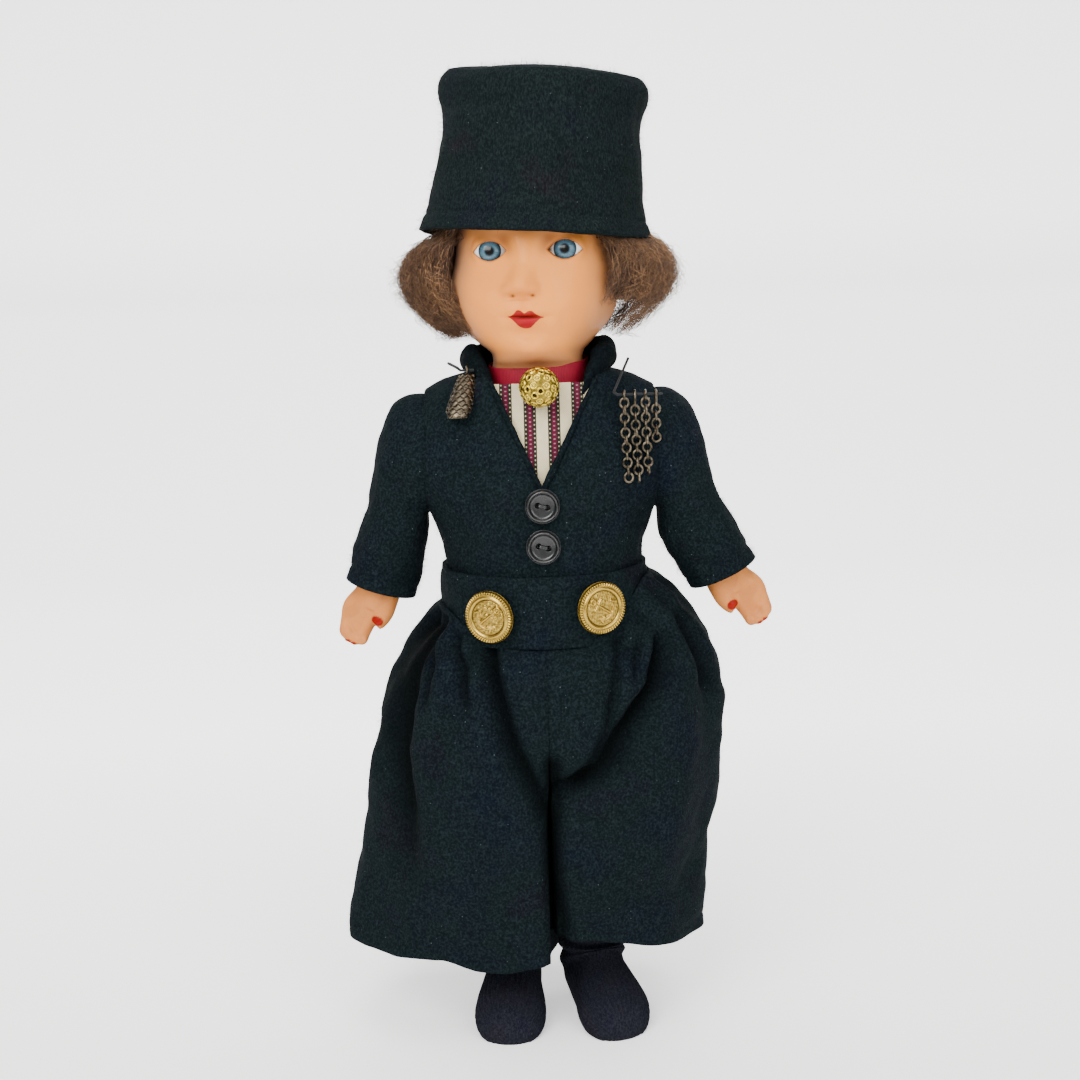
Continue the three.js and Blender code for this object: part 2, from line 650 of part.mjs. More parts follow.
// Wig: a bob that swells beside the cheeks and runs up under the cap, cut back from the face.
function wig() {
  const brim = HAT_RISE - 2;
  const neckline = NECK_RADIUS + 6;
  const under = (inset) => {
    const wall = CLOTH_WALL + inset;
    return [HAT_BRIM_HALF_WIDTH - wall, HAT_BRIM_HALF_DEPTH - wall];
  };
  const rows = smoothRows([
    [WIG_BOTTOM_RISE, neckline + 6, neckline],
    [WIG_BOTTOM_RISE + 5.5, WIG_HALF_WIDTH - 10, WIG_BACK_DEPTH - 5],
    [WIG_BOTTOM_RISE + 11, WIG_HALF_WIDTH - 4, WIG_BACK_DEPTH - 1],
    [WIG_BOTTOM_RISE + 16, WIG_HALF_WIDTH, WIG_BACK_DEPTH],
    [brim - 6, WIG_HALF_WIDTH - 2, WIG_BACK_DEPTH],
    [brim - 1, ...under(1.7)],
    [brim + 5, ...under(2.2)],
    [brim + 12, ...under(6.5)],
    [CROWN_RISE - 3, FACE_HALF_WIDTH - 8, SKULL_DEPTH - 9],
    [CROWN_RISE + 2, 5, 5],
  ], 10);
  const faceLow = at(-WIG_FACE_HALF_WIDTH, -WIG_HALF_WIDTH * 2, WIG_BOTTOM_RISE - 5);
  const faceHigh = at(WIG_FACE_HALF_WIDTH, WIG_FACE_EDGE_Y, HAT_RISE + 4);
  const neckRoom = rodAlongZ(neckline, -NECK_RADIUS, WIG_BOTTOM_RISE + 1.5, 0, 0, 24);
  const skullRows = headRows().filter(([rise], index) => rise > HAT_RISE || index % 2 === 0);
  const skull = headForm(skullRows, WIG_CAP_EASE, 14, false);
  const hair = loft(ovalRings(rows, 18)).subtract(skull).subtract(box(faceLow, faceHigh));
  return named("wig", hair.subtract(neckRoom), "mohair");
}

// Cap: a felt tube with a turned, flaring edge, and a stiff round top.
function hatRows() {
  const waist = HAT_CROWN_HALF_WIDTH + 0.8;
  const waistDepth = HAT_CROWN_HALF_DEPTH + 0.8;
  return smoothRows([
    [0, HAT_BRIM_HALF_WIDTH, HAT_BRIM_HALF_DEPTH],
    [4.5, HAT_BRIM_HALF_WIDTH - 1.9, HAT_BRIM_HALF_DEPTH - 1.7],
    [11, waist + 0.8, waistDepth + 0.8],
    [HAT_HEIGHT * 0.5, waist, waistDepth],
    [HAT_HEIGHT - 7, HAT_CROWN_HALF_WIDTH - 0.5, HAT_CROWN_HALF_DEPTH - 0.5],
    [HAT_HEIGHT, HAT_CROWN_HALF_WIDTH, HAT_CROWN_HALF_DEPTH],
  ], 6);
}

function hatSide() {
  const rows = hatRows();
  const tube = clothTube(ovalRings(rows, HAT_SIDES), ovalRings(rows, HAT_SIDES, CLOTH_WALL));
  return named("hat_side", tube, "felt");
}

function hatCrown() {
  const seat = HAT_HEIGHT + GAP;
  const top = seat + HAT_CROWN_THICKNESS;
  const rows = [
    [seat, HAT_CROWN_HALF_WIDTH - 0.4, HAT_CROWN_HALF_DEPTH - 0.4],
    [seat + HAT_CROWN_THICKNESS * 0.5, HAT_CROWN_HALF_WIDTH, HAT_CROWN_HALF_DEPTH],
    [top - 0.5, HAT_CROWN_HALF_WIDTH - 1.5, HAT_CROWN_HALF_DEPTH - 1.5],
    [top, HAT_CROWN_HALF_WIDTH - 6, HAT_CROWN_HALF_DEPTH - 6],
  ];
  return named("hat_crown", loft(ovalRings(rows, HAT_SIDES)), "felt");
}

// Jacket rows. Beside the armholes the rows widen so that the cut at ARMHOLE_X leaves a round hole.
function armholeRow(rise, depth) {
  const halfChord = Math.sqrt(Math.max(ARMHOLE_RADIUS ** 2 - rise ** 2, 0));
  return [SHOULDER_RISE + rise, ARMHOLE_X / Math.sqrt(1 - (halfChord / depth) ** 2), depth];
}

function jacketRows() {
  const side = WAIST_HALF_WIDTH + JACKET_EASE_SIDE;
  const front = WAIST_HALF_DEPTH + JACKET_EASE_FRONT;
  const neck = SHOULDER_RISE + JACKET_NECK_RISE;
  return smoothRows([
    [BAND_BOTTOM_RISE + 1.5, side, front],
    [WAIST_RISE, side, front + 0.3],
    [SHOULDER_RISE - 28, side + 1.5, front + 0.5],
    armholeRow(-ARMHOLE_RADIUS, front),
    armholeRow(-ARMHOLE_RADIUS * 0.66, front - 0.4),
    armholeRow(0, front - 1.5),
    armholeRow(ARMHOLE_RADIUS * 0.66, front - 4.6),
    armholeRow(ARMHOLE_RADIUS, front - 6.7),
    [neck - 3.2, JACKET_NECK_HALF_WIDTH + 7.5, JACKET_NECK_HALF_DEPTH + 1.2],
    [neck, JACKET_NECK_HALF_WIDTH, JACKET_NECK_HALF_DEPTH],
  ], 12);
}

// The jacket's outer surface at a height: its half width and half depth.
function jacketSize(rise) {
  const rows = jacketRows();
  const above = Math.max(rows.findIndex((row) => row[0] >= rise), 1);
  const [low, high] = [rows[above - 1], rows[above]];
  const share = (rise - low[0]) / (high[0] - low[0]);
  return { width: low[1] + share * (high[1] - low[1]), depth: low[2] + share * (high[2] - low[2]) };
}

// The y of the jacket's front at a place.
function jacketFrontY(x, rise) {
  const { width, depth } = jacketSize(rise);
  return -depth * Math.sqrt(Math.max(1 - (x / width) ** 2, 0));
}

function jacketPanels() {
  const rows = jacketRows();
  const tube = clothTube(ovalRings(rows, JACKET_SIDES), ovalRings(rows, JACKET_SIDES, CLOTH_WALL));
  const low = 0;
  const high = SHOULDER_RISE * 2;
  const far = ARMHOLE_X * 2;
  const neckTop = SHOULDER_RISE + JACKET_NECK_RISE + 5;
  const neckBottom = SHOULDER_RISE - NECKLINE_DROP;
  const slope = (neckTop - neckBottom) / JACKET_NECK_RISE;
  const topHalf = NECKLINE_HALF_WIDTH * slope;
  const neckline = prismAlongY([[0, neckBottom], [topHalf, neckTop], [-topHalf, neckTop]], -far, 0);
  const body = tube.intersect(box(at(-ARMHOLE_X, -far, low), at(ARMHOLE_X, far, high))).subtract(neckline);
  const half = GAP / 2;
  return [
    named("jacket_front_left", body.intersect(box(at(half, -far, low), at(far, -half, high))), "wool"),
    named("jacket_front_right", body.intersect(box(at(-far, -far, low), at(-half, -half, high))), "wool"),
    named("jacket_back", body.intersect(box(at(-far, half, low), at(far, far, high))), "wool"),
  ];
}

// Collar: a rolled band round the back of the neck whose front ends flare away from the chin.
function collar() {
  const open = radians(COLLAR_OPEN_ANGLE);
  const rise = SHOULDER_RISE + JACKET_NECK_RISE + GAP + COLLAR_HALF_HEIGHT;
  const rings = steps(14).map((share) => {
    const angle = open + share * (TAU - 2 * open);
    const towardsEnd = Math.abs(share * 2 - 1);
    const round = Math.sqrt(1 - Math.max(towardsEnd - 0.86, 0) ** 2 / 0.0225);
    const radius = COLLAR_RADIUS + COLLAR_FLARE * towardsEnd ** 3;
    const ring = oval(at(0, 0, 0), COLLAR_HALF_THICKNESS * round, COLLAR_HALF_HEIGHT * round, 8, 2.4);
    return ring.map((point) => {
      const reach = radius + point.x;
      return at(reach * Math.sin(angle), -reach * Math.cos(angle), rise + point.y);
    });
  });
  return named("jacket_collar", loft(rings), "wool");
}

// Shirt front: a striped panel between the jacket and the torso, seen in the jacket's open neck.
function shirtFront() {
  const inset = CLOTH_WALL + GAP;
  const rows = jacketRows();
  const [face, lining] = [inset, inset + SHIRT_WALL].map((depth) => ovalRings(rows, JACKET_SIDES, depth));
  const tube = clothTube(face, lining);
  const low = at(-SHIRT_HALF_WIDTH, -ARMHOLE_X * 2, SHOULDER_RISE - SHIRT_DROP);
  const high = at(SHIRT_HALF_WIDTH, -JACKET_NECK_HALF_DEPTH * 0.4, SHOULDER_RISE + SHIRT_TOP_RISE);
  return named("shirt_front", tube.intersect(box(low, high)), "shirting");
}

function neckRibbon() {
  const inner = NECK_RADIUS + GAP;
  const outer = inner + RIBBON_THICKNESS;
  const low = SHOULDER_RISE + NECK_RISE + RIBBON_RISE;
  const profile = [
    [inner, low], [outer, low], [outer, low + RIBBON_HEIGHT], [inner, low + RIBBON_HEIGHT], [inner, low],
  ];
  return named("neck_ribbon", solid(turned(profile, 24)), "ribbon");
}

// A pierced gilt bead on the front of the ribbon.
function neckBead() {
  const middle = SHOULDER_RISE + NECK_RISE + RIBBON_RISE + BEAD_LIFT;
  const backShare = 0.72;
  const front = jacketFrontY(0, middle - backShare * BEAD_RADIUS) + CLOTH_WALL;
  const shares = [[0, 0], [backShare, 0], [0.96, 0.3], [1, 0.62], [0.88, 1.1], [0.5, 1.46], [0, 1.6]];
  const profile = shares.map((pair) => pair.map((share) => share * BEAD_RADIUS));
  const bead = turned(profile, 16).rotateX(RIGHT_ANGLE);
  return named("neck_bead", placed(bead, 0, front, middle), "gilt");
}

// The middle of a sleeve's hem, out from the armhole and up from the shoulder axis.
function hemMiddle(spread) {
  const angle = radians(spread);
  return { x: 4.5 + SLEEVE_LENGTH * Math.sin(angle), z: -4 - SLEEVE_LENGTH * Math.cos(angle) };
}

// Sleeve rows: the inner and outer edge in the X-Z plane, out from the armhole, and the half depth.
function sleeveRows(spread) {
  const angle = radians(spread);
  const hem = hemMiddle(spread);
  const half = SLEEVE_HEM_WIDTH / 2;
  const across = { x: half * Math.cos(angle), z: half * Math.sin(angle) };
  const hole = ARMHOLE_RADIUS;
  const rows = [
    [0, -hole, 0, hole, hole],
    [0.8, -hole - 0.8, 6.5, hole - 0.6, hole - 0.6],
    [1.6, -hole - 1.8, 11.8, hole - 6, hole - 1.8],
    [2.4, -hole - 3.4, 15.2, hole - 13.5, hole - 3.4],
    [3.4, -hole - 7, 18, -hole * 0.5, SLEEVE_HEM_HALF_DEPTH + 2],
  ];
  const low = rows.at(-1);
  const inside = [hem.x - across.x, hem.z - across.z];
  const outside = [hem.x + across.x, hem.z + across.z];
  const end = [...inside, ...outside, SLEEVE_HEM_HALF_DEPTH];
  for (const share of [0.5, 1]) {
    rows.push(low.map((value, index) => value + share * (end[index] - value)));
  }
  return rows;
}

function sleeveRing([innerX, innerZ, outerX, outerZ, depth], side, inset) {
  const middle = at((innerX + outerX) / 2, 0, (innerZ + outerZ) / 2);
  const across = at((outerX - innerX) / 2, 0, (outerZ - innerZ) / 2);
  across.multiplyScalar(1 - inset / across.length());
  return oval(at(0, 0, 0), 1, depth - inset, 12).map((point) => {
    const x = ARMHOLE_X + GAP + middle.x + point.x * across.x;
    return at(side * x, point.y, middle.z + point.x * across.z);
  });
}

function sleeve(name, side, spread) {
  const rows = sleeveRows(spread);
  const outer = rows.map((row) => sleeveRing(row, side, 0));
  const inner = rows.map((row) => sleeveRing(row, side, CLOTH_WALL));
  return named(name, clothTube(outer, inner), "wool");
}

// Arm: a drum in the shoulder socket, a tapering limb in the sleeve, and a hand with curled fingers.
function arm(name, side, spread) {
  const hem = hemMiddle(spread);
  const angle = radians(spread + 6);
  const along = at(side * Math.sin(angle), 0, -Math.cos(angle));
  const start = ARMHOLE_X + GAP;
  const wrist = at(side * (start + hem.x), -1, hem.z).addScaledVector(along, 2);
  const path = [
    [at(side * (start - 3), 0, 0), ARM_DRUM_RADIUS - 1.5],
    [at(side * (start + 7), 0, -6), ARM_RADIUS + 1],
    [at(side * (start + 11.5), 0, -18), ARM_RADIUS],
    [at(side * (start + 11.5), 0, -18).lerp(wrist, 0.6), (ARM_RADIUS + WRIST_RADIUS) / 2],
    [wrist, WRIST_RADIUS],
    [wrist.clone().addScaledVector(along, 4), WRIST_RADIUS - 0.6],
  ];
  const curve = new THREE.CatmullRomCurve3(path.map(([point]) => point));
  const limb = loft(path.map(([point, radius], index) => {
    const heading = curve.getTangent(index / (path.length - 1));
    const across = at(heading.z, 0, -heading.x).normalize();
    return oval(at(0, 0, 0), radius, radius, 10).map((spot) => {
      return point.clone().addScaledVector(across, spot.x).add(at(0, spot.y, 0));
    });
  }));
  const drum = rodAlongX(ARM_DRUM_RADIUS, side * (ARM_SEAT_X + GAP), side * (start + 1), 0, 0);
  const body = union([drum, limb, hand(side, wrist, along)]).subtract(hookBore(side, ARM_SEAT_X + GAP));
  return named(name, body, "composition");
}

// Hand: a flat palm, four fingers curled forward and a thumb towards the body.
function hand(side, wrist, along) {
  const outward = at(-along.z * side, 0, along.x * side).multiplyScalar(side);
  const frame = new THREE.Matrix4().makeBasis(outward, at(0, 1, 0), along.clone().negate());
  const palmLength = HAND_LENGTH * 0.36;
  const palm = new THREE.SphereGeometry(1, 9, 6);
  palm.scale(PALM_HALF_WIDTH, PALM_HALF_THICKNESS, palmLength + 1.5);
  const pieces = [solid(palm.applyMatrix4(placeAt(frame, wrist, along, palmLength, 0, 0)))];
  for (const finger of [0, 1, 2, 3]) {
    const x = (finger - 1.5) * FINGER_RADIUS * 1.5;
    const tip = new THREE.CapsuleGeometry(FINGER_RADIUS, HAND_LENGTH * 0.24, 2, 5).rotateX(radians(62));
    const reach = HAND_LENGTH * 0.8 - Math.abs(finger - 1.4) * 0.7;
    pieces.push(solid(tip.applyMatrix4(placeAt(frame, wrist, along, reach, x, -1))));
  }
  const thumb = new THREE.CapsuleGeometry(FINGER_RADIUS + 0.2, HAND_LENGTH * 0.26, 2, 5);
  thumb.rotateX(radians(75));
  const thumbX = -side * PALM_HALF_WIDTH * 0.75;
  pieces.push(solid(thumb.applyMatrix4(placeAt(frame, wrist, along, HAND_LENGTH * 0.42, thumbX, -2.6))));
  return union(pieces);
}

// A frame's matrix moved to a place down the hand, across it and forward.
function placeAt(frame, wrist, along, reach, across, forward) {
  const spot = wrist.clone().addScaledVector(along, reach);
  spot.add(at(across, forward, 0).applyMatrix4(new THREE.Matrix4().extractRotation(frame)));
  return frame.clone().setPosition(spot);
}

// Waistband: a stiff band close round the jacket.
function waistband() {
  const rises = steps(2).map((share) => BAND_BOTTOM_RISE + share * BAND_HEIGHT);
  const rows = rises.map((rise) => {
    const { width, depth } = jacketSize(Math.max(rise, BAND_BOTTOM_RISE + 1.5));
    return [rise, width + GAP + BAND_WALL, depth + GAP + BAND_WALL];
  });
  const band = clothTube(ovalRings(rows, JACKET_SIDES), ovalRings(rows, JACKET_SIDES, BAND_WALL));
  return named("trouser_waistband", band, "wool");
}

// Trouser rows for one side: [rise, outer x, half depth, squareness, groove at the middle].
function trouserRows(side) {
  const hip = side > 0 ? TROUSER_HIP_LEFT : TROUSER_HIP_RIGHT;
  const hem = side > 0 ? TROUSER_HEM_LEFT : TROUSER_HEM_RIGHT;
  const band = jacketSize(BAND_BOTTOM_RISE + 1.5);
  const top = BAND_BOTTOM_RISE - GAP;
  const depth = TROUSER_HALF_DEPTH;
  const between = (share) => hip + share * (hem - hip);
  return [
    [top, band.width + GAP + BAND_WALL, band.depth + GAP + BAND_WALL, 2, 0],
    [top - 3, hip - 14, depth - 1, 2.2, 0],
    [top - 8, hip - 5, depth, 2.3, 0],
    [top - 17, hip - 0.6, depth + 0.5, 2.4, 0],
    [-CROTCH_DROP + 12, between(0.05), depth + 0.6, 2.4, 0],
    [-CROTCH_DROP, between(0.25), depth + 0.4, 2.4, 1.5],
    [-TROUSER_SPLIT_DROP, between(0.45), depth, 2.4, 3],
    [-TROUSER_SPLIT_DROP - 22, between(0.72), depth - 0.5, 2.4, 5],
    [-TROUSER_HEM_DROP + 8, between(0.94), depth - 1, 2.4, 6],
    [-TROUSER_HEM_DROP, between(1), depth - 1.4, 2.4, 6.5],
  ];
}

// The depth of the folds at an angle round the leg, which is -90 at the front seam and 90 at the back.
function foldAt(angle, side, strength) {
  const fade = Math.cos(angle) ** 0.5;
  const ripple = Math.cos(9 * angle + (side > 0 ? 0.8 : 2.2));
  const pleat = side < 0 ? Math.exp(-(((angle + 0.42) / 0.17) ** 2)) : 0;
  return strength * (FOLD_DEPTH * ripple * fade - PLEAT_DEPTH * pleat);
}

// One ring of a trouser leg: the outer curve from front to back, then the flat side at the middle seam.
function trouserRing([rise, outerX, depth, power, groove], side, inset, seamX, strength) {
  const arc = steps(ARC_STEPS).map((share) => {
    const angle = -RIGHT_ANGLE + share * Math.PI;
    const start = GAP + groove;
    const fold = foldAt(Math.min(Math.max(angle, -1.55), 1.55), side, strength);
    const x = start + (outerX - start - inset + fold) * signedPower(Math.cos(angle), 2 / power);
    const y = (depth - inset + fold * 0.6) * signedPower(Math.sin(angle), 2 / power);
    return [Math.max(x, seamX), y];
  });
  const seam = steps(6).slice(1, -1).map((share) => {
    const y = (depth - inset) * (1 - 2 * share);
    return [Math.max(seamX, GAP + groove * Math.abs(1 - 2 * share) ** 3 + (seamX - GAP)), y];
  });
  return [...arc, ...seam].map(([x, y]) => at(side * x, y, rise));
}

function trouserStrength(rise) {
  return THREE.MathUtils.clamp((BAND_BOTTOM_RISE - rise) / (BAND_BOTTOM_RISE + CROTCH_DROP), 0, 1);
}

function trouserRings(rows, side, inset, seamOf) {
  return rows.map((row) => trouserRing(row, side, inset, seamOf(row[0]), trouserStrength(row[0])));
}

// Hip half of the trousers: open at the middle above the crotch, with a seam wall below it.
function trouserHip(name, side) {
  const rows = trouserRows(side).slice(0, 7);
  const outer = loft(trouserRings(rows, side, 0, () => GAP));
  const innerRows = rows.map((row) => [...row]);
  innerRows[0][0] += 1;
  innerRows.at(-1)[0] -= 1;
  const seamOf = (rise) => (rise > -CROTCH_DROP ? -1 : GAP + CLOTH_WALL);
  const inner = loft(trouserRings(innerRows, side, CLOTH_WALL, seamOf).map((ring, index) => {
    const open = innerRows[index][0] > -CROTCH_DROP;
    const past = (spot) => open && (spot === 0 || spot >= ARC_STEPS);
    return ring.map((point, spot) => (past(spot) ? at(-side, point.y, point.z) : point));
  }));
  return named(name, outer.subtract(inner), "wool");
}

function trouserLeg(name, side) {
  const rows = trouserRows(side).slice(6);
  rows[0] = [rows[0][0] - GAP, ...rows[0].slice(1)];
  const outer = trouserRings(rows, side, 0, () => GAP);
  const inner = trouserRings(rows, side, CLOTH_WALL, () => GAP + CLOTH_WALL);
  return named(name, clothTube(outer, inner), "wool");
}

// Leg rows from under the hip drum to the ankle: centre and half sizes, measured from the hip axis.
function legRows(side) {
  const drumX = LEG_SEAT_X + GAP + LEG_DRUM_LENGTH / 2;
  const ankle = ANKLE_HEIGHT - HIP_HEIGHT;
  const knee = ankle / 2;
  const thighX = LEG_SEAT_X + GAP + THIGH_RADIUS - 1.5;
  return [
    [at(side * drumX, 0, -2), LEG_DRUM_LENGTH / 2 - 0.4, LEG_DRUM_RADIUS - 1.5],
    [at(side * drumX, 0, -12), LEG_DRUM_LENGTH / 2 - 0.2, THIGH_RADIUS + 2],
    [at(side * thighX, 0, -HIP_HALF_DEPTH - 4), THIGH_RADIUS - 1.5, THIGH_RADIUS + 1.5],
    [at(side * (drumX + ANKLE_X) / 2, -0.5, knee), CALF_RADIUS - 0.4, CALF_RADIUS],
    [at(side * (drumX + 2 * ANKLE_X) / 3, 1, knee * 1.4), CALF_RADIUS, CALF_RADIUS + 0.4],
    [at(side * ANKLE_X, 1.5, ankle + 6), ANKLE_RADIUS, ANKLE_RADIUS + 0.6],
  ];
}

// Foot rings fan from the level ankle round the instep to the upright toe. Each is grown outwards, and
// flattened at the sole. A section is [front y, front z, back y, back z, half width].
function footRings(side, toeOut, grow, soleHeight) {
  const instep = { y: -ANKLE_RADIUS - 1, z: ANKLE_HEIGHT - 4 };
  const toeY = HEEL_Y - FOOT_LENGTH;
  const wide = FOOT_HALF_WIDTH;
  const sections = [
    [-ANKLE_RADIUS, ANKLE_HEIGHT, ANKLE_RADIUS + 3, ANKLE_HEIGHT, ANKLE_RADIUS + 0.4],
    [instep.y + 0.6, instep.z + 1, HEEL_Y - 1, ANKLE_HEIGHT * 0.55, ANKLE_RADIUS + 1],
    [instep.y, instep.z, HEEL_Y, ANKLE_HEIGHT * 0.1, ANKLE_RADIUS + 1.6],
    [instep.y - 0.6, instep.z - 1, HEEL_Y * 0.3, -2.5, wide - 2],
    [instep.y - 3, instep.z - 3.5, instep.y - 2, -2.5, wide - 1],
    [instep.y - 8, instep.z - 6, instep.y - 8, -2.5, wide],
    [toeY + 8, instep.z - 8, toeY + 7, -2, wide],
    [toeY + 3, instep.z - 11, toeY + 2.6, -1, wide - 2.2],
    [toeY + 0.6, instep.z - 14, toeY + 0.4, 1, wide - 5.5],
  ];
  const turn = new THREE.Matrix4().makeRotationZ(radians(side * toeOut));
  return sections.map(([frontY, frontZ, backY, backZ, halfWidth], index) => {
    const toeGrow = index > 6 ? -grow : 0;
    const middle = at(0, (frontY + backY) / 2 + toeGrow, (frontZ + backZ) / 2);
    const down = at(0, (backY - frontY) / 2, (backZ - frontZ) / 2);
    down.multiplyScalar(1 + grow / down.length());
    return oval(at(0, 0, 0), halfWidth + grow, 1, LIMB_SIDES, 2.2).map((point) => {
      const spot = middle.clone().addScaledVector(down, point.y).add(at(point.x, 0, 0)).applyMatrix4(turn);
      const z = Math.max(spot.z, soleHeight);
      return at(spot.x + side * ANKLE_X, spot.y + 1.5, z - HIP_HEIGHT);
    });
  });
}

function legRing([centre, halfWidth, halfDepth], grow) {
  return oval(centre, halfWidth + grow, halfDepth + grow, LIMB_SIDES);
}

function leg(name, side, toeOut) {
  const seat = LEG_SEAT_X + GAP;
  const drum = rodAlongX(LEG_DRUM_RADIUS, side * seat, side * (seat + LEG_DRUM_LENGTH), 0, 0);
  const shin = legRows(side).map((row) => legRing(row, 0));
  const limb = loft([...shin, ...footRings(side, toeOut, 0, SOLE_HEIGHT)]);
  return named(name, drum.add(limb).subtract(hookBore(side, seat)), "composition");
}

// Sock: a knitted cup over the foot and ankle, flat under the sole.
function sock(name, side, toeOut) {
  const layer = (grow, soleHeight) => {
    const [calf, ankle] = legRows(side).slice(-2);
    const share = (SOCK_HEIGHT - HIP_HEIGHT - ankle[0].z) / (calf[0].z - ankle[0].z);
    const mix = (index) => ankle[index] + share * (calf[index] - ankle[index]);
    const rim = [ankle[0].clone().lerp(calf[0], share), mix(1), mix(2)];
    return [legRing(rim, grow), legRing(ankle, grow), ...footRings(side, toeOut, grow, soleHeight)];
  };
  const outer = layer(SOCK_EASE + SOCK_WALL, 0);
  const inner = layer(SOCK_EASE, SOCK_WALL);
  return named(name, loft([...outer.toReversed(), ...inner]), "knit");
}

// A two-hole jacket button, dished inside its rim, flat against the cloth.
function jacketButton(name, rise) {
  const thick = JACKET_BUTTON_THICKNESS;
  const rim = JACKET_BUTTON_RADIUS;
  const profile = [
    [0, 0], [rim - 1, 0], [rim, thick * 0.45], [rim - 0.7, thick],
    [rim - 1.7, thick * 0.95], [rim - 2.4, thick * 0.6], [0, thick * 0.6],
  ];
  const disc = solid(turned(profile, 16));
  const holes = [1, -1].map((side) => rodAlongZ(BUTTON_HOLE_RADIUS, -1, thick * 2, side * 1.5, 0, 6));
  const mesh = named(name, holes.reduce((body, hole) => body.subtract(hole), disc), "horn");
  mesh.rotation.x = RIGHT_ANGLE;
  mesh.position.set(0, jacketFrontY(0, SHOULDER_RISE + rise) - GAP, SHOULDER_RISE + rise);
  return mesh;
}

// A gilt uniform button on a shank, square to the waistband.
function goldButton(name, side) {
  const rise = BAND_BOTTOM_RISE + GOLD_BUTTON_RISE;
  const { width, depth } = jacketSize(rise);
  const bandWidth = width + GAP + BAND_WALL;
  const bandDepth = depth + GAP + BAND_WALL;
  const x = side * GOLD_BUTTON_X;
  const y = -bandDepth * Math.sqrt(1 - (x / bandWidth) ** 2);
  const face = SHANK_LENGTH + GOLD_BUTTON_THICKNESS;
  const radius = GOLD_BUTTON_RADIUS;
  const profile = [
    [0, GAP], [1.6, GAP], [1.6, SHANK_LENGTH], [radius * 0.8, SHANK_LENGTH], [radius, SHANK_LENGTH + 0.8],
    [radius - 0.2, face - 0.6], [radius - 1, face], [radius - 1.8, face - 0.3], [radius - 2.4, face - 0.9],
    [radius * 0.4, face - 0.4], [0, face - 0.3],
  ];
  const mesh = named(name, solid(turned(profile, 16)), "gilt");
  mesh.rotation.order = "ZXY";
  mesh.rotation.set(RIGHT_ANGLE, 0, Math.atan2(x / bandWidth ** 2, -y / bandDepth ** 2));
  mesh.position.set(x, y, rise);
  return mesh;
}

// Draws the two halves of a link apart along x.
function lengthen(ring, distance) {
  const place = ring.getAttribute("position");
  for (let index = 0; index < place.count; index += 1) {
    const x = place.getX(index);
    place.setX(index, x + Math.sign(x) * distance / 2);
  }
}

// A hanging chain of round links, each set square to the last and closed on it. Every other strand starts with a
// long link, so that the links of neighbours pass one another.
function strand(name, index) {
  const reach = LINK_RADIUS - LINK_WIRE_RADIUS;
  const x = STRAND_X + index * STRAND_PITCH;
  const top = at(x, TASSEL_BAR_Y, SHOULDER_RISE + TASSEL_BAR_RISE);
  const pitch = 2 * reach + 0.1;
  const drop = index % 2 === 1 ? pitch : 0;
  const length = pitch * (LINK_COUNTS[index] - 1) + drop;
  const clear = LINK_RADIUS + LINK_WIRE_RADIUS + 2 * GAP;
  const end = at(x, jacketFrontY(x, top.z - length) - clear, top.z - length);
  const heading = end.clone().sub(top).normalize();
  const first = top.clone().addScaledVector(heading, reach - BAR_RADIUS - GAP);
  const across = at(1, 0, 0);
  const out = across.clone().cross(heading).normalize();
  const links = Array.from({ length: LINK_COUNTS[index] }, (_, link) => {
    const ring = new THREE.TorusGeometry(LINK_RADIUS, LINK_WIRE_RADIUS, 4, 6);
    if (link === 0) lengthen(ring, drop);
    const frame = link % 2 === 0
      ? new THREE.Matrix4().makeBasis(heading, out, across)
      : new THREE.Matrix4().makeBasis(heading, across.clone().negate(), out);
    const run = link * pitch + (link === 0 ? drop / 2 : drop);
    frame.setPosition(first.clone().addScaledVector(heading, run));
    return solid(ring.applyMatrix4(frame));
  });
  return named(name, union(links), "silver");
}

// A straight bar that a chain or pendant swings on, with an arm up and back to the collar's end.
function hangingBar(name, side, near, far, y, aboveShoulder) {
  const rise = SHOULDER_RISE + aboveShoulder;
  const bend = at(near + Math.sign(near - far), y + 0.6, rise + 0.8);
  const route = [at(far, y, rise), at(near, y, rise), bend, collarEnd(side)];
  return named(name, bentWire(route, BAR_RADIUS, 6), "silver");
}

// The point just under the front end of the collar.
function collarEnd(side) {
  const angle = radians(COLLAR_OPEN_ANGLE + 8);
  const radius = COLLAR_RADIUS + COLLAR_FLARE;
  const rise = SHOULDER_RISE + JACKET_NECK_RISE + COLLAR_HALF_HEIGHT;
  const reach = radius + COLLAR_HALF_THICKNESS + GAP + BAR_RADIUS;
  return at(side * reach * Math.sin(angle), -reach * Math.cos(angle), rise);
}

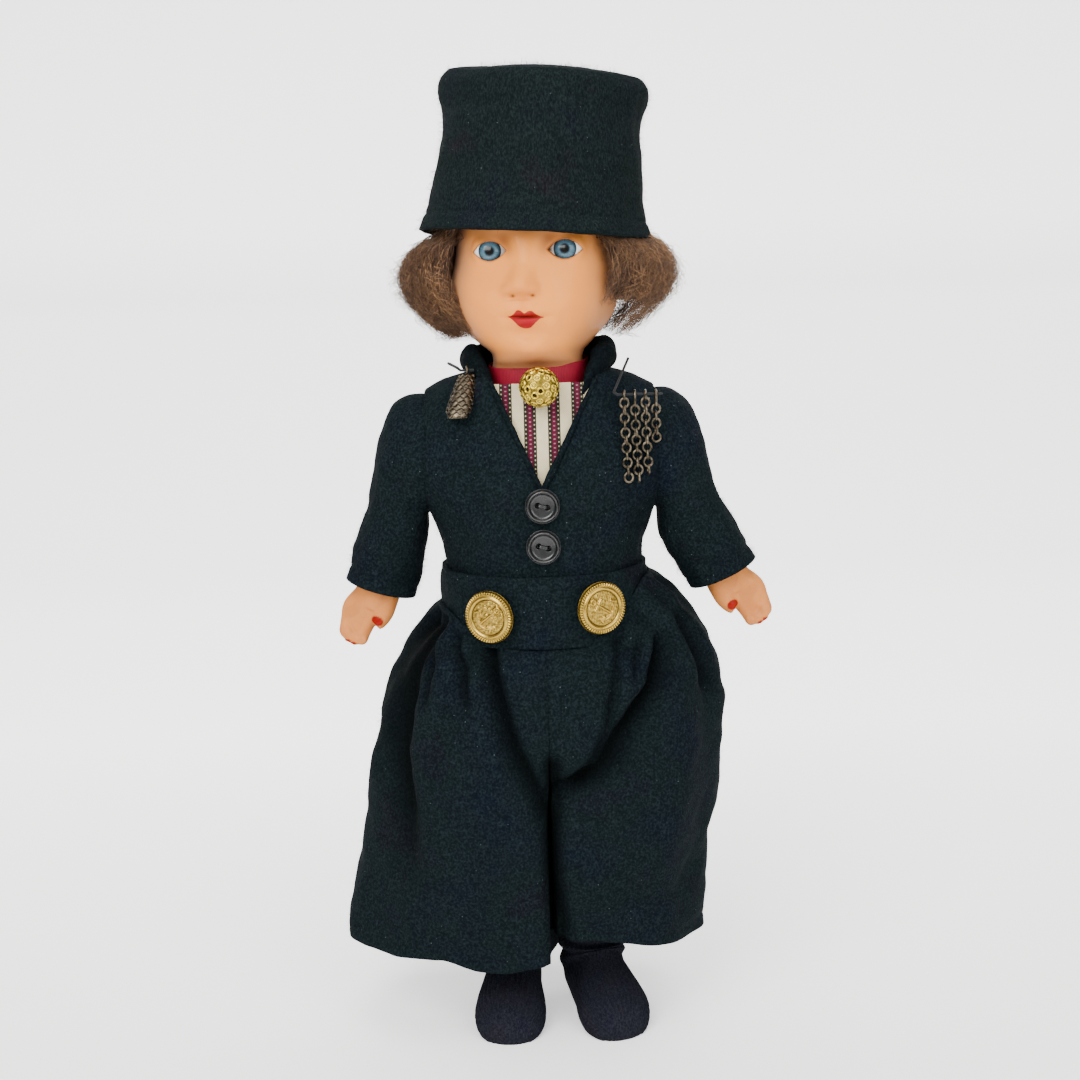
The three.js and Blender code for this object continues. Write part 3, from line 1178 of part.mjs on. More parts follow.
// Pendant: a tapering woven-wire pouch in rounded rows, hung on an eye.
function pendant() {
  const bar = at(PENDANT_X, PENDANT_BAR_Y, SHOULDER_RISE + PENDANT_BAR_RISE);
  const eyeRadius = BAR_RADIUS + GAP + LINK_WIRE_RADIUS;
  const ring = new THREE.TorusGeometry(eyeRadius, LINK_WIRE_RADIUS, 5, 10).rotateY(RIGHT_ANGLE);
  const eye = placed(ring, bar.x, bar.y, bar.z);
  const top = bar.z - eyeRadius;
  const bottomX = PENDANT_X - 3;
  const clear = PENDANT_HALF_THICKNESS + GAP + 0.4;
  const bottomY = jacketFrontY(bottomX + PENDANT_HALF_WIDTH, top - PENDANT_LENGTH) - clear;
  const rings = steps(PENDANT_ROWS * 2).map((share, index) => {
    const taper = 0.5 + 0.5 * Math.sqrt(share);
    const bulge = index % 2 === 0 ? -0.25 : 0.25;
    const middle = at(bar.x, bar.y, top).lerp(at(bottomX, bottomY, top - PENDANT_LENGTH), share);
    return oval(middle, PENDANT_HALF_WIDTH * taper + bulge, PENDANT_HALF_THICKNESS * taper + bulge, 10);
  });
  return named("mesh_pendant", loft(rings).add(eye), "silver");
}

function group(x, y, z, ...members) {
  const made = new THREE.Group();
  made.position.set(x, y, z);
  made.add(...members);
  return made;
}

function headGroup() {
  const hat = group(0, 0, HAT_RISE, hatSide(), hatCrown());
  hat.rotation.y = radians(HAT_ROLL);
  const eyes = [eyeball("eye_left", 1), eyeball("eye_right", -1), eyeRocker(), eyeWeight()];
  const head = group(0, 0, SHOULDER_RISE + NECK_RISE, headShell(), neckPlug(), ...eyes, wig(), hat);
  head.rotation.z = radians(HEAD_TURN);
  return head;
}

function armGroup(word, side, spread) {
  const pieces = [arm(`arm_${word}`, side, spread), sleeve(`sleeve_${word}`, side, spread)];
  return group(0, 0, SHOULDER_RISE, ...pieces, limbHook(`arm_hook_${word}`, side, ARM_SEAT_X));
}

function legGroup(word, side, toeOut) {
  return group(0, 0, 0, leg(`leg_${word}`, side, toeOut), sock(`sock_${word}`, side, toeOut),
    trouserLeg(`trouser_leg_${word}`, side), limbHook(`leg_hook_${word}`, side, LEG_SEAT_X));
}

const lastStrandX = STRAND_X + (LINK_COUNTS.length - 1) * STRAND_PITCH;
const pendantEnds = [PENDANT_X - BAR_OVERHANG, PENDANT_X + BAR_OVERHANG];

const doll = new THREE.Group();
doll.add(group(0, 0, HIP_HEIGHT,
  ...torsoHalves(), neckHook(), armElastic(), bodyElastic(),
  headGroup(), armGroup("left", 1, SPREAD_LEFT), armGroup("right", -1, SPREAD_RIGHT),
  legGroup("left", 1, TOE_OUT_LEFT), legGroup("right", -1, TOE_OUT_RIGHT),
  ...jacketPanels(), collar(), shirtFront(), neckRibbon(), neckBead(),
  jacketButton("jacket_button_upper", JACKET_BUTTON_UPPER_RISE),
  jacketButton("jacket_button_lower", JACKET_BUTTON_LOWER_RISE),
  waistband(), goldButton("waist_button_left", 1), goldButton("waist_button_right", -1),
  trouserHip("trouser_hip_left", 1), trouserHip("trouser_hip_right", -1),
  ...LINK_COUNTS.map((_, index) => strand(`chain_strand_${index + 1}`, index)),
  hangingBar("tassel_bar", 1, STRAND_X - BAR_OVERHANG, lastStrandX + BAR_OVERHANG, TASSEL_BAR_Y, TASSEL_BAR_RISE),
  hangingBar("pendant_bar", -1, pendantEnds[0], pendantEnds[1], PENDANT_BAR_Y, PENDANT_BAR_RISE),
  pendant(),
));

// The middle of the whole box stands over the origin.
const extent = new THREE.Box3().setFromObject(doll);
doll.position.x = -(extent.min.x + extent.max.x) / 2;

export default doll;
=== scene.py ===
"""Studio scene of a strung composition doll in a fisher's dress.

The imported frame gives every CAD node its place. This script lays finer surfaces over it: numpy grids for
cloth, skin and metal, and thin tubes for hair, thread and wire. Lengths are millimetres in the doll's own
frame, whose middle plane is x = 0, until a mesh is written in metres. The doll looks along -Y, and its own
left is +X.
"""

from __future__ import annotations

import json
import logging
import math
from dataclasses import dataclass, field
from enum import Enum
from typing import Any, Iterable, Sequence

import bmesh
import bpy
import numpy as np
from mathutils import Matrix, Vector

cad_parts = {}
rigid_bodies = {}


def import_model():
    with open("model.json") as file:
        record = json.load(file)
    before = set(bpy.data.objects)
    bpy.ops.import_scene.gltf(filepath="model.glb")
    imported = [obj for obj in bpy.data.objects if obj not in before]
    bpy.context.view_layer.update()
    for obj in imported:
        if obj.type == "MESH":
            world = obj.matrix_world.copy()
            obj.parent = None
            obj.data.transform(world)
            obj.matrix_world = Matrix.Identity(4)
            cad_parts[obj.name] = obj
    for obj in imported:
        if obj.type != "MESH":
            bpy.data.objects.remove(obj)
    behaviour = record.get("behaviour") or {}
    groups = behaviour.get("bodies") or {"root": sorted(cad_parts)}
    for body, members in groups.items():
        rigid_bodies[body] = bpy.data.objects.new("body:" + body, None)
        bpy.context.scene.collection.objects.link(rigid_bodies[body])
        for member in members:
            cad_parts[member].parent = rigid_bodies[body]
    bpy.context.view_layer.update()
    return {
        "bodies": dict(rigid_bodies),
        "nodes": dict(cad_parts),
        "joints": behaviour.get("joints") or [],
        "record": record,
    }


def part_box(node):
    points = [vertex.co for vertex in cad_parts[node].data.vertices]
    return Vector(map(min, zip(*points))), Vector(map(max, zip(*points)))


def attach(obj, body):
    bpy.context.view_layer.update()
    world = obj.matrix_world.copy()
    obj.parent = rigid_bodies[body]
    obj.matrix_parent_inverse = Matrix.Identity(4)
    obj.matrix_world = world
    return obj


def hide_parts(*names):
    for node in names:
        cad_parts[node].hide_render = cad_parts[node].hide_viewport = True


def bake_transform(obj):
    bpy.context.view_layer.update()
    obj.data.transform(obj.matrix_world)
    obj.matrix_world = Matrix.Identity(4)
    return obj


LOG = logging.getLogger("doll")
MM = 0.001
SEED = 1937
TAU = 2.0 * math.pi
GRAIN = {"Detail": 3.0, "Roughness": 0.55}

SHOULDER_Z = 188.0
NECK_Z = 214.0
HEAD_TURN = math.radians(-6.5)
ARMHOLE_X = 35.7
CLOTH_GAP = 0.3

Array = np.ndarray
Material = bpy.types.Material


class Side(Enum):
    """The doll's own sides; the value is the sign of x."""

    LEFT = 1
    RIGHT = -1

    @property
    def word(self) -> str:
        """The side's name as the frame's nodes spell it."""
        return self.name.lower()

    def node(self, stem: str) -> str:
        """Name of a CAD node or body on this side."""
        return f"{stem}_{self.word}"


def table(*rows: Sequence[float]) -> Any:
    """A dataclass field that holds rows of numbers as an array."""
    return field(default_factory=lambda: np.array(rows))


def by_side(left: Any, right: Any) -> Any:
    """A dataclass field that holds a value for each of the doll's own sides."""
    return field(default_factory=lambda: {Side.LEFT: left, Side.RIGHT: right})


def linear(code: str) -> tuple[float, float, float, float]:
    """Turn a hex sRGB code into a linear colour.

    Args:
        code: Six hex digits after a number sign.

    Returns:
        Linear red, green, blue and an alpha of one.
    """
    parts = [int(code[i:i + 2], 16) / 255.0 for i in (1, 3, 5)]
    red, green, blue = (p / 12.92 if p <= 0.04045 else ((p + 0.055) / 1.055) ** 2.4 for p in parts)
    return red, green, blue, 1.0


def per_mm(size: float) -> float:
    """Scale that gives a pattern this size in millimetres on metre coordinates."""
    return 1.0 / (size * MM)


def smoothstep(low: float, high: float, value: Array) -> Array:
    """Ramp smoothly from 0 at low to 1 at high; low may be the larger."""
    share = np.clip((value - low) / (high - low), 0.0, 1.0)
    return share * share * (3.0 - 2.0 * share)


def bell(distance: Array, width: float | Array) -> Array:
    """Bell curve of a distance: 1 at zero and 1/e at the width."""
    return np.exp(-((distance / width) ** 2))


def unit(vectors: Array) -> Array:
    """Scale vectors on the last axis to length one."""
    return vectors / np.maximum(np.linalg.norm(vectors, axis=-1, keepdims=True), 1e-9)


def signed_power(value: Array, power: float | Array) -> Array:
    """Raise the size of a value to a power and keep its sign."""
    return np.sign(value) * np.abs(value) ** power


def along(keys: Array, values: Array, where: Array) -> Array:
    """Cubic Hermite curve through rows of values.

    Args:
        keys: Rising positions of the rows, one dimension.
        values: One row of values for each key.
        where: Positions to read, any shape.

    Returns:
        Values at those positions, with the values' columns as the last axis.
    """
    slopes = np.gradient(values, keys, axis=0)
    spot = np.clip(np.searchsorted(keys, where, side="right") - 1, 0, len(keys) - 2)
    step = keys[spot + 1] - keys[spot]
    share = np.clip((where - keys[spot]) / step, 0.0, 1.0)[..., None]
    step = step[..., None]
    square, cube = share**2, share**3
    return (
        (2 * cube - 3 * square + 1) * values[spot]
        + (cube - 2 * square + share) * step * slopes[spot]
        + (3 * square - 2 * cube) * values[spot + 1]
        + (cube - square) * step * slopes[spot + 1]
    )


def columns(rows: Array, where: Array) -> Array:
    """Read rows along their first column and put the other columns first."""
    return np.moveaxis(along(rows[:, 0], rows[:, 1:], where), -1, 0)


def xyz(x: Array | float, y: Array | float, z: Array | float) -> Array:
    """Join three coordinates of one shared shape on a last axis."""
    return np.stack(np.broadcast_arrays(x, y, z), axis=-1)


def ball(polar: Array, turn: Array) -> Array:
    """Directions at a polar angle from -Y and a turn round it."""
    return xyz(np.sin(polar) * np.cos(turn), -np.cos(polar), np.sin(polar) * np.sin(turn))


def circle(count: int) -> Array:
    """Angles once round, without the last."""
    return np.linspace(0.0, TAU, count, endpoint=False)


def ramp(count: int) -> Array:
    """Even steps from nothing to one."""
    return np.linspace(0.0, 1.0, count)


def waves(points: Array, length: float, seed: int, count: int = 12) -> Array:
    """Smooth noise: the sum of plane waves in random directions, between about -1 and 1.

    Args:
        points: Places on the last axis.
        length: Typical wavelength.
        seed: Seed of the directions and phases.
        count: Number of waves.

    Returns:
        One value for each place.
    """
    rng = np.random.default_rng(SEED + seed)
    heading = unit(rng.normal(size=(count, 3))) * (TAU / (length * rng.uniform(0.7, 1.5, (count, 1))))
    return np.cos(points @ heading.T + rng.uniform(0, TAU, count)).sum(axis=-1) / math.sqrt(count)


def rotation(axis: str, angle: float) -> Array:
    """Rotation matrix about X, Y or Z, for points as rows."""
    return np.array(Matrix.Rotation(angle, 3, axis)).T


@dataclass
class Patch:
    """Part of a mesh, before it becomes an object.

    Attributes:
        points: Places in millimetres, one row each.
        faces: Four corner numbers a face; the last is -1 on a triangle.
        uv: Place of each corner on the cloth or metal, in millimetres where a pattern needs it.
        tags: Point attributes by name, one value or one colour a point.
        slots: Material number of each face.
    """

    points: Array
    faces: Array
    uv: Array
    tags: dict[str, Array] = field(default_factory=dict)
    slots: Array | None = None

    @classmethod
    def grid(
        cls,
        points: Array,
        wrap: bool = False,
        caps: Iterable[int] = (),
        size: tuple[float, float] = (1.0, 1.0),
        tags: dict[str, Array] | None = None,
    ) -> Patch:
        """Join a grid of points with quads.

        Args:
            points: Rows by columns by three.
            wrap: Whether the last column joins the first.
            caps: Rows closed with a fan of triangles.
            size: Width and height that the UV map covers.
            tags: Attributes on the same grid.

        Returns:
            The patch.
        """
        rows, cols = points.shape[:2]
        index = np.arange(rows * cols).reshape(rows, cols)
        after = np.roll(index, -1, axis=1) if wrap else index[:, 1:]
        before = index if wrap else index[:, :-1]
        faces = np.stack([before[:-1], after[:-1], after[1:], before[1:]], axis=-1).reshape(-1, 4)
        spots = np.stack(
            np.meshgrid(np.linspace(0, size[0], before.shape[1] + 1), np.linspace(0, size[1], rows)), axis=-1
        )
        uv = np.stack([spots[:-1, :-1], spots[:-1, 1:], spots[1:, 1:], spots[1:, :-1]], axis=2)
        flat = {name: values.reshape(rows * cols, -1) for name, values in (tags or {}).items()}
        patch = cls(points.reshape(-1, 3), faces, uv.reshape(-1, 4, 2), flat)
        for row in caps:
            patch = patch.capped(index[row])
        return patch

    @classmethod
    def tubes(
        cls,
        paths: Array,
        radii: Array | float,
        sides: int = 3,
        closed: bool = False,
        lead: Array | None = None,
        tags: dict[str, Array] | None = None,
    ) -> Patch:
        """Round tubes along many paths at once.

        Args:
            paths: Tubes by steps by three.
            radii: One radius, or one for each tube and step.
            sides: Corners round a tube.
            closed: Whether each path is a loop.
            lead: A direction for each tube that its path never follows.
            tags: One value a tube, by attribute name.

        Returns:
            The patch.
        """
        count, steps = paths.shape[:2]
        if closed:
            heading = unit(np.roll(paths, -1, axis=1) - np.roll(paths, 1, axis=1))
        else:
            heading = unit(np.gradient(paths, axis=1))
        if lead is None:
            lead = np.eye(3)[np.argmin(np.abs(heading).mean(axis=1), axis=1)]
        first = unit(np.cross(heading, np.broadcast_to(lead, (count, 3))[:, None, :]))
        second = np.cross(heading, first)
        turn = circle(sides)[None, None, :, None]
        spread = np.broadcast_to(np.asarray(radii, float), (count, steps))[..., None, None]
        ring = np.cos(turn) * first[:, :, None] + np.sin(turn) * second[:, :, None]
        points = paths[:, :, None] + spread * ring
        index = np.arange(count * steps * sides).reshape(count, steps, sides)
        ahead = np.roll(index, -1, axis=1) if closed else index[:, 1:]
        here = index if closed else index[:, :-1]
        faces = np.stack([here, np.roll(here, -1, 2), np.roll(ahead, -1, 2), ahead], axis=-1).reshape(-1, 4)
        if not closed:
            ends = np.concatenate([index[:, 0], index[:, -1, ::-1]])
            fan = [
                np.stack([ends[:, 0], ends[:, k + 1], ends[:, k], np.full(len(ends), -1)], axis=-1)
                for k in range(1, sides - 1)
            ]
            faces = np.concatenate([faces, *fan])
        uv = np.zeros((len(faces), 4, 2))
        flat = {name: np.repeat(values, steps * sides)[:, None] for name, values in (tags or {}).items()}
        return cls(points.reshape(-1, 3), faces, uv, flat)

    @classmethod
    def merged(cls, patches: Sequence[Patch]) -> Patch:
        """Put patches together, each with its own material number if it has none yet.

        Args:
            patches: Patches whose tags have the same names.

        Returns:
            One patch.
        """
        starts = np.cumsum([0] + [len(p.points) for p in patches[:-1]])
        faces = [np.where(p.faces >= 0, p.faces + start, -1) for p, start in zip(patches, starts)]
        names = patches[0].tags.keys()
        slots = [np.zeros(len(p.faces), int) if p.slots is None else p.slots for p in patches]
        return cls(
            np.concatenate([p.points for p in patches]),
            np.concatenate(faces),
            np.concatenate([p.uv for p in patches]),
            {name: np.concatenate([p.tags[name] for p in patches]) for name in names},
            np.concatenate(slots),
        )

    def capped(self, ring: Array) -> Patch:
        """Close a ring of points with a fan to its middle.

        Args:
            ring: Numbers of the ring's points, in order.

        Returns:
            The patch with the fan added.
        """
        middle = len(self.points)
        after = np.roll(ring, -1)
        fan = np.stack([ring, after, np.full(len(ring), middle), np.full(len(ring), -1)], axis=-1)
        tags = {
            name: np.concatenate([values, values[ring].mean(axis=0, keepdims=True)])
            for name, values in self.tags.items()
        }
        return Patch(
            np.concatenate([self.points, self.points[ring].mean(axis=0, keepdims=True)]),
            np.concatenate([self.faces, fan]),
            np.concatenate([self.uv, np.zeros((len(fan), 4, 2))]),
            tags,
        )

    def painted(self, slot: int) -> Patch:
        """Give every face one material number."""
        self.slots = np.full(len(self.faces), slot)
        return self

    def moved(self, matrix: Array, offset: Sequence[float]) -> Patch:
        """Turn the points by a row matrix, then shift them."""
        self.points = self.points @ matrix + np.asarray(offset, float)
        return self


class Nodes:
    """One material's node tree, with the function that adds nodes to it."""

    def __init__(self, name: str) -> None:
        """Start an empty tree.

        Args:
            name: The material's name.
        """
        self.material = bpy.data.materials.new(name)
        self.material.use_nodes = True
        self.tree = self.material.node_tree
        self.tree.nodes.clear()

    def add(self, kind: str, inputs: dict[str | int, Any] | Sequence[Any] = (), output: str | int | None = 0,
            stops: Iterable[tuple[float, str]] = (), **settings: Any) -> Any:
        """Add a node, set it and link it.

        Args:
            kind: The node's type name, after the prefix that shader nodes share.
            inputs: A value, a hex colour or another node's output for each input, by name or in order.
            output: Name or number of the output to return; None for the node itself.
            stops: Positions and hex colours of a colour ramp.
            settings: The node's own properties.

        Returns:
            The chosen output's socket, or the node.
        """
        node = self.tree.nodes.new("ShaderNode" + kind)
        for key, value in settings.items():
            setattr(node, key, value)
        for number, (position, code) in enumerate(stops):
            elements = node.color_ramp.elements
            element = elements[number] if number < len(elements) else elements.new(position)
            element.position, element.color = position, linear(code)
        for key, value in inputs.items() if isinstance(inputs, dict) else enumerate(inputs):
            if isinstance(value, bpy.types.NodeSocket):
                self.tree.links.new(value, node.inputs[key])
            else:
                node.inputs[key].default_value = linear(value) if isinstance(value, str) else value
        return node if output is None else node.outputs[output]

    def surface(self, inputs: dict[str, Any]) -> Material:
        """End the tree in a Principled surface."""
        self.add("OutputMaterial", {"Surface": self.add("BsdfPrincipled", inputs)}, None)
        return self.material


@dataclass(frozen=True)
class WoolLook:
    """Colours and grain of a felted wool.

    Attributes:
        name: Material name.
        tones: Four colours that the cloth drifts between.
        pale: Colour of the lit tips of the nap.
        fleck: Colour of the sparse light fibres.
        grain: Size of a tuft along x, y and z.
        drift: Size of the colour drift.
    """

    name: str
    tones: tuple[str, str, str, str]
    pale: str
    fleck: str
    grain: tuple[float, float, float]
    drift: float


@dataclass(frozen=True)
class PlainLook:
    """A hard material with mottled colour.

    Attributes:
        name: Material name.
        dark: Colour of its low or worn places.
        light: Colour of its high places.
        mottle: Size of the mottling.
        roughness: Surface roughness.
        metallic: One on a metal.
        coat: Weight of a clear coat.
        relief: Depth of the surface's fine bumps.
    """

    name: str
    dark: str
    light: str
    mottle: float
    roughness: float
    metallic: float = 0.0
    coat: float = 0.0
    relief: float = 0.05


class Finishes:
    """Every material of the doll and the stage. Sizes of patterns are millimetres."""

    # Pressed felt, brushed woollen and knitted yarn are dull and dark, with painted highlights on the tips
    # of their nap.
    # Their fibres are finer than a pixel, so the tufts are drawn as coarse as they need to show.
    HAT = WoolLook("felt_cap", ("#090d14", "#0a1112", "#091010", "#100d12"), "#1b2323", "#57615c",
                   (0.45, 0.45, 1.0), 21.0)
    WOOL = WoolLook("wool_cloth", ("#060a15", "#070e12", "#071011", "#0a0a11"), "#192225", "#5e6a6b",
                    (0.7, 0.7, 0.8), 26.0)
    KNIT = WoolLook("knit_sock", ("#11131c", "#14151d", "#16161d", "#17151b"), "#26272f", "#4f515a",
                    (0.5, 0.5, 0.9), 9.0)
    # Moulded composition and horn shine softly, drawn wire and cast lead are dull metals, and cord, wood,
    # thread and lint are matt.
    PLAIN = {
        "composition": PlainLook("composition", "#b8743f", "#dd9350", 9.0, 0.4, coat=0.35),
        "steel": PlainLook("steel_wire", "#5f6063", "#9b9da0", 1.4, 0.35, 1.0),
        "lead": PlainLook("lead", "#4a4d50", "#6d7074", 1.5, 0.6, 1.0),
        "elastic": PlainLook("elastic_cord", "#a89d84", "#cfc6af", 0.7, 0.85),
        "wood": PlainLook("plug_wood", "#86623d", "#b48f63", 1.8, 0.7),
        "horn": PlainLook("button_horn", "#040506", "#090a0b", 3.2, 0.3, coat=0.15),
        "thread": PlainLook("thread", "#050507", "#0d0e11", 0.4, 0.9),
        "silver": PlainLook("chain_metal", "#231e17", "#706554", 1.1, 0.34, 1.0),
        "lint": PlainLook("lint", "#1f2625", "#4c5350", 2.0, 0.8),
    }

    def __init__(self) -> None:
        """Make every material once."""
        self.felt, self.wool, self.knit = (self._wool(look) for look in (self.HAT, self.WOOL, self.KNIT))
        self.plain = {name: self._plain(look) for name, look in self.PLAIN.items()}
        self.face, self.hand = self._skin("painted_face", 0.0), self._skin("crazed_hand", 1.0)
        self.eye, self.hair = self._eye(), self._hair()
        self.gilt = self._gilt("gilt", "#423311", "#a98c40")
        self.bead = self._gilt("gilt_bead", "#2b2106", "#c9ac42")
        self.shirting, self.ribbon, self.floor = self._shirting(), self._ribbon(), self._floor()

    def _wool(self, look: WoolLook) -> Material:
        """Felted wool: drifting tones, painted highlights on the nap's tips, painted shade in its low places
        and creases, and sparse light fibres.

        Args:
            look: The cloth's colours and grain.

        Returns:
            The material.
        """
        nodes = Nodes(look.name)
        place = nodes.add("TexCoord", output="Object")
        drift = nodes.add("TexNoise",
                          {"Vector": place, "Scale": per_mm(look.drift), "Detail": 3.0, "Roughness": 0.6})
        tone = nodes.add("ValToRGB", [drift], stops=zip((0.3, 0.45, 0.57, 0.7), look.tones))
        tufts = nodes.add("Mapping", {"Vector": place, "Scale": [per_mm(size) for size in look.grain]})
        nap = nodes.add("TexNoise", {"Vector": tufts, "Scale": 1.0, "Detail": 4.0, "Roughness": 0.65})
        # Painted highlight on the high tips of the nap and painted shade in its low places.
        tips = nodes.add("MapRange", [nap, 0.44, 0.74, 0.0, 0.95])
        hollow_shade = nodes.add("MapRange", [nap, 0.5, 0.22, 0.0, 0.7])
        cells = nodes.add("TexVoronoi", {"Vector": place, "Scale": per_mm(1.7)}, None)
        chance = nodes.add("SeparateColor", [cells.outputs["Color"]])
        near = nodes.add("Math", [cells.outputs["Distance"], 0.1], operation="LESS_THAN")
        rare = nodes.add("Math", [chance, 0.9], operation="GREATER_THAN")
        fleck = nodes.add("Math", [near, rare], operation="MULTIPLY")
        fleck = nodes.add("Math", [fleck, 0.4], operation="MULTIPLY")
        colour = tone
        # Painted shade: the shade attribute darkens creases, seams, the collar and the neck edges towards
        # near-black.
        shade = nodes.add("Attribute", output="Fac", attribute_name="shade")
        for amount, code in ((tips, look.pale), (hollow_shade, "#05070a"), (fleck, look.fleck),
                             (shade, "#010202")):
            colour = nodes.add("Mix", {0: amount, 6: colour, 7: code}, 2, data_type="RGBA")
        return nodes.surface({
            "Base Color": colour, "Roughness": 0.95, "Specular IOR Level": 0.04,
            "Normal": nodes.add("Bump", {"Height": nap, "Distance": 0.35 * MM, "Strength": 0.8}),
        })

    def _plain(self, look: PlainLook) -> Material:
        """A mottled hard surface with fine bumps, smoother on its high places.

        Args:
            look: The material's colours and surface.

        Returns:
            The material.
        """
        nodes = Nodes(look.name)
        place = nodes.add("TexCoord", output="Object")
        mottle, bumps = (
            nodes.add("TexNoise", {"Vector": place, "Scale": per_mm(size), **GRAIN})
            for size in (look.mottle, look.mottle * 0.3)
        )
        return nodes.surface({
            "Base Color": nodes.add("ValToRGB", [mottle], stops=[(0.3, look.dark), (0.7, look.light)]),
            "Roughness": nodes.add("MapRange",
                                   [mottle, 0.3, 0.7, look.roughness + 0.08, look.roughness - 0.05]),
            "Metallic": look.metallic, "Coat Weight": look.coat, "Coat Roughness": 0.12,
            "Normal": nodes.add("Bump", {"Height": bumps, "Distance": look.relief * MM, "Strength": 0.6}),
        })

    def _skin(self, name: str, crazing: float) -> Material:
        """Painted composition: the tint attribute, mottled, under a thin clear coat, crazed where asked.

        Args:
            name: Material name.
            crazing: How much the paint is crazed, up to one.

        Returns:
            The material.
        """
        nodes = Nodes(name)
        place = nodes.add("TexCoord", output="Object")
        mottle = nodes.add("TexNoise",
                           {"Vector": place, "Scale": per_mm(6.0), "Detail": 4.0, "Roughness": 0.55})
        warp = nodes.add("TexNoise", {"Vector": place, "Scale": per_mm(2.6)}, "Color")
        shift = nodes.add("VectorMath", {0: warp, 3: 1.6 * MM}, operation="SCALE")
        moved = nodes.add("VectorMath", [place, shift], operation="ADD")
        cracks = nodes.add("TexVoronoi", {"Vector": moved, "Scale": per_mm(2.9)}, "Distance",
                           feature="DISTANCE_TO_EDGE")
        line = nodes.add("MapRange", [cracks, 0.0, 0.045, 1.0, 0.0])
        dark, deep = (
            nodes.add("Math", [line, most * crazing], operation="MULTIPLY") for most in (0.1, 0.25)
        )
        shade = nodes.add("MapRange", [mottle, 0.3, 0.7, 0.0, 0.16])
        colour = nodes.add("Attribute", attribute_name="tint")
        for amount, code in ((shade, "#b06a36"), (dark, "#55301c")):
            colour = nodes.add("Mix", {0: amount, 6: colour, 7: code}, 2, data_type="RGBA")
        height = nodes.add("Math", [mottle, deep], operation="SUBTRACT")
        return nodes.surface({
            "Base Color": colour, "Roughness": 0.4, "Specular IOR Level": 0.0, "Coat Weight": 0.1,
            "Coat Roughness": 0.08,
            "Normal": nodes.add("Bump", {"Height": height, "Distance": 0.09 * MM, "Strength": 0.7}),
        })

    def _eye(self) -> Material:
        """Glass eye: pupil, streaked grey-blue iris, dark edge ring and white, with a painted lid above.

        Returns:
            The material.
        """
        nodes = Nodes("glass_eye")
        spot = nodes.add("UVMap")
        out = nodes.add("SeparateXYZ", [spot], 1)
        rays = nodes.add("Mapping", {"Vector": spot, "Scale": (46.0, 9.0, 1.0)})
        streaks = nodes.add("TexNoise", {"Vector": rays, "Scale": 1.0, "Detail": 3.0})
        rings = nodes.add("ValToRGB", [out], stops=[
            (0.0, "#010202"), (0.055, "#020303"), (0.066, "#223239"), (0.088, "#446170"),
            (0.132, "#385460"), (0.156, "#213d4a"), (0.168, "#0e1f26"), (0.178, "#17262b"),
            (0.187, "#d9d5cf"), (1.0, "#d2cdc4"),
        ])
        ray = nodes.add("MapRange", [streaks, 0.35, 0.65, 0.72, 1.22])
        lit = nodes.add("VectorMath", {0: rings, 3: ray}, operation="SCALE")
        inside = nodes.add("Math", [out, 0.183], operation="LESS_THAN")
        lid = nodes.add("Attribute", output="Fac", attribute_name="lid")
        colour = rings
        for amount, over in ((inside, lit), (lid, "#cf8444")):
            colour = nodes.add("Mix", {0: amount, 6: colour, 7: over}, 2, data_type="RGBA")
        return nodes.surface({
            "Base Color": colour, "Roughness": 0.22, "Specular IOR Level": 0.2, "Coat Weight": 0.16,
            "Coat Roughness": 0.03,
            "Normal": nodes.add("Bump", {"Height": streaks, "Distance": 0.02 * MM, "Strength": 0.2}),
        })

    def _hair(self) -> Material:
        """Mohair: each strand has its own brown, from the tone attribute, with darker patches.

        Returns:
            The material.
        """
        nodes = Nodes("mohair")
        tone = nodes.add("Attribute", output="Fac", attribute_name="tone")
        stops = [(0.0, "#2a1c12"), (0.4, "#553b25"), (0.75, "#7d593a"), (1.0, "#a17751")]
        colour = nodes.add("ValToRGB", [tone], stops=stops)
        place = nodes.add("TexCoord", output="Object")
        patchy = nodes.add("TexNoise",
                           {"Vector": place, "Scale": per_mm(5.0), **GRAIN})
        shade = nodes.add("MapRange", [patchy, 0.35, 0.65, 0.45, 0.0])
        colour = nodes.add("Mix", {0: shade, 6: colour, 7: "#33221a"}, 2, data_type="RGBA")
        return nodes.surface({"Base Color": colour, "Roughness": 0.55, "Specular IOR Level": 0.35})

    def _gilt(self, name: str, dark: str, light: str) -> Material:
        """Gilt metal: bright on its high places and dull in its low ones, from the high attribute.

        Args:
            name: Material name.
            dark: Colour of the low places.
            light: Colour of the high places.

        Returns:
            The material.
        """
        nodes = Nodes(name)
        place = nodes.add("TexCoord", output="Object")
        mottle, grain = (
            nodes.add("TexNoise", {"Vector": place, "Scale": per_mm(size), **GRAIN})
            for size in (1.3, 0.35)
        )
        level = nodes.add("Attribute", output="Fac", attribute_name="high")
        drift = nodes.add("Math", [mottle, 0.5], operation="SUBTRACT")
        drift = nodes.add("Math", [drift, 0.5], operation="MULTIPLY")
        level = nodes.add("Math", [level, drift], operation="ADD")
        return nodes.surface({
            "Base Color": nodes.add("ValToRGB", [level], stops=[(0.05, dark), (0.6, light)]),
            "Metallic": 1.0, "Roughness": nodes.add("MapRange", [level, 0.0, 1.0, 0.42, 0.2]),
            "Normal": nodes.add("Bump", {"Height": grain, "Distance": 0.03 * MM, "Strength": 0.5}),
        })

    def _shirting(self) -> Material:
        """Cream twill with woven stripes: a dull pink band between two dotted black lines.

        Returns:
            The material.
        """
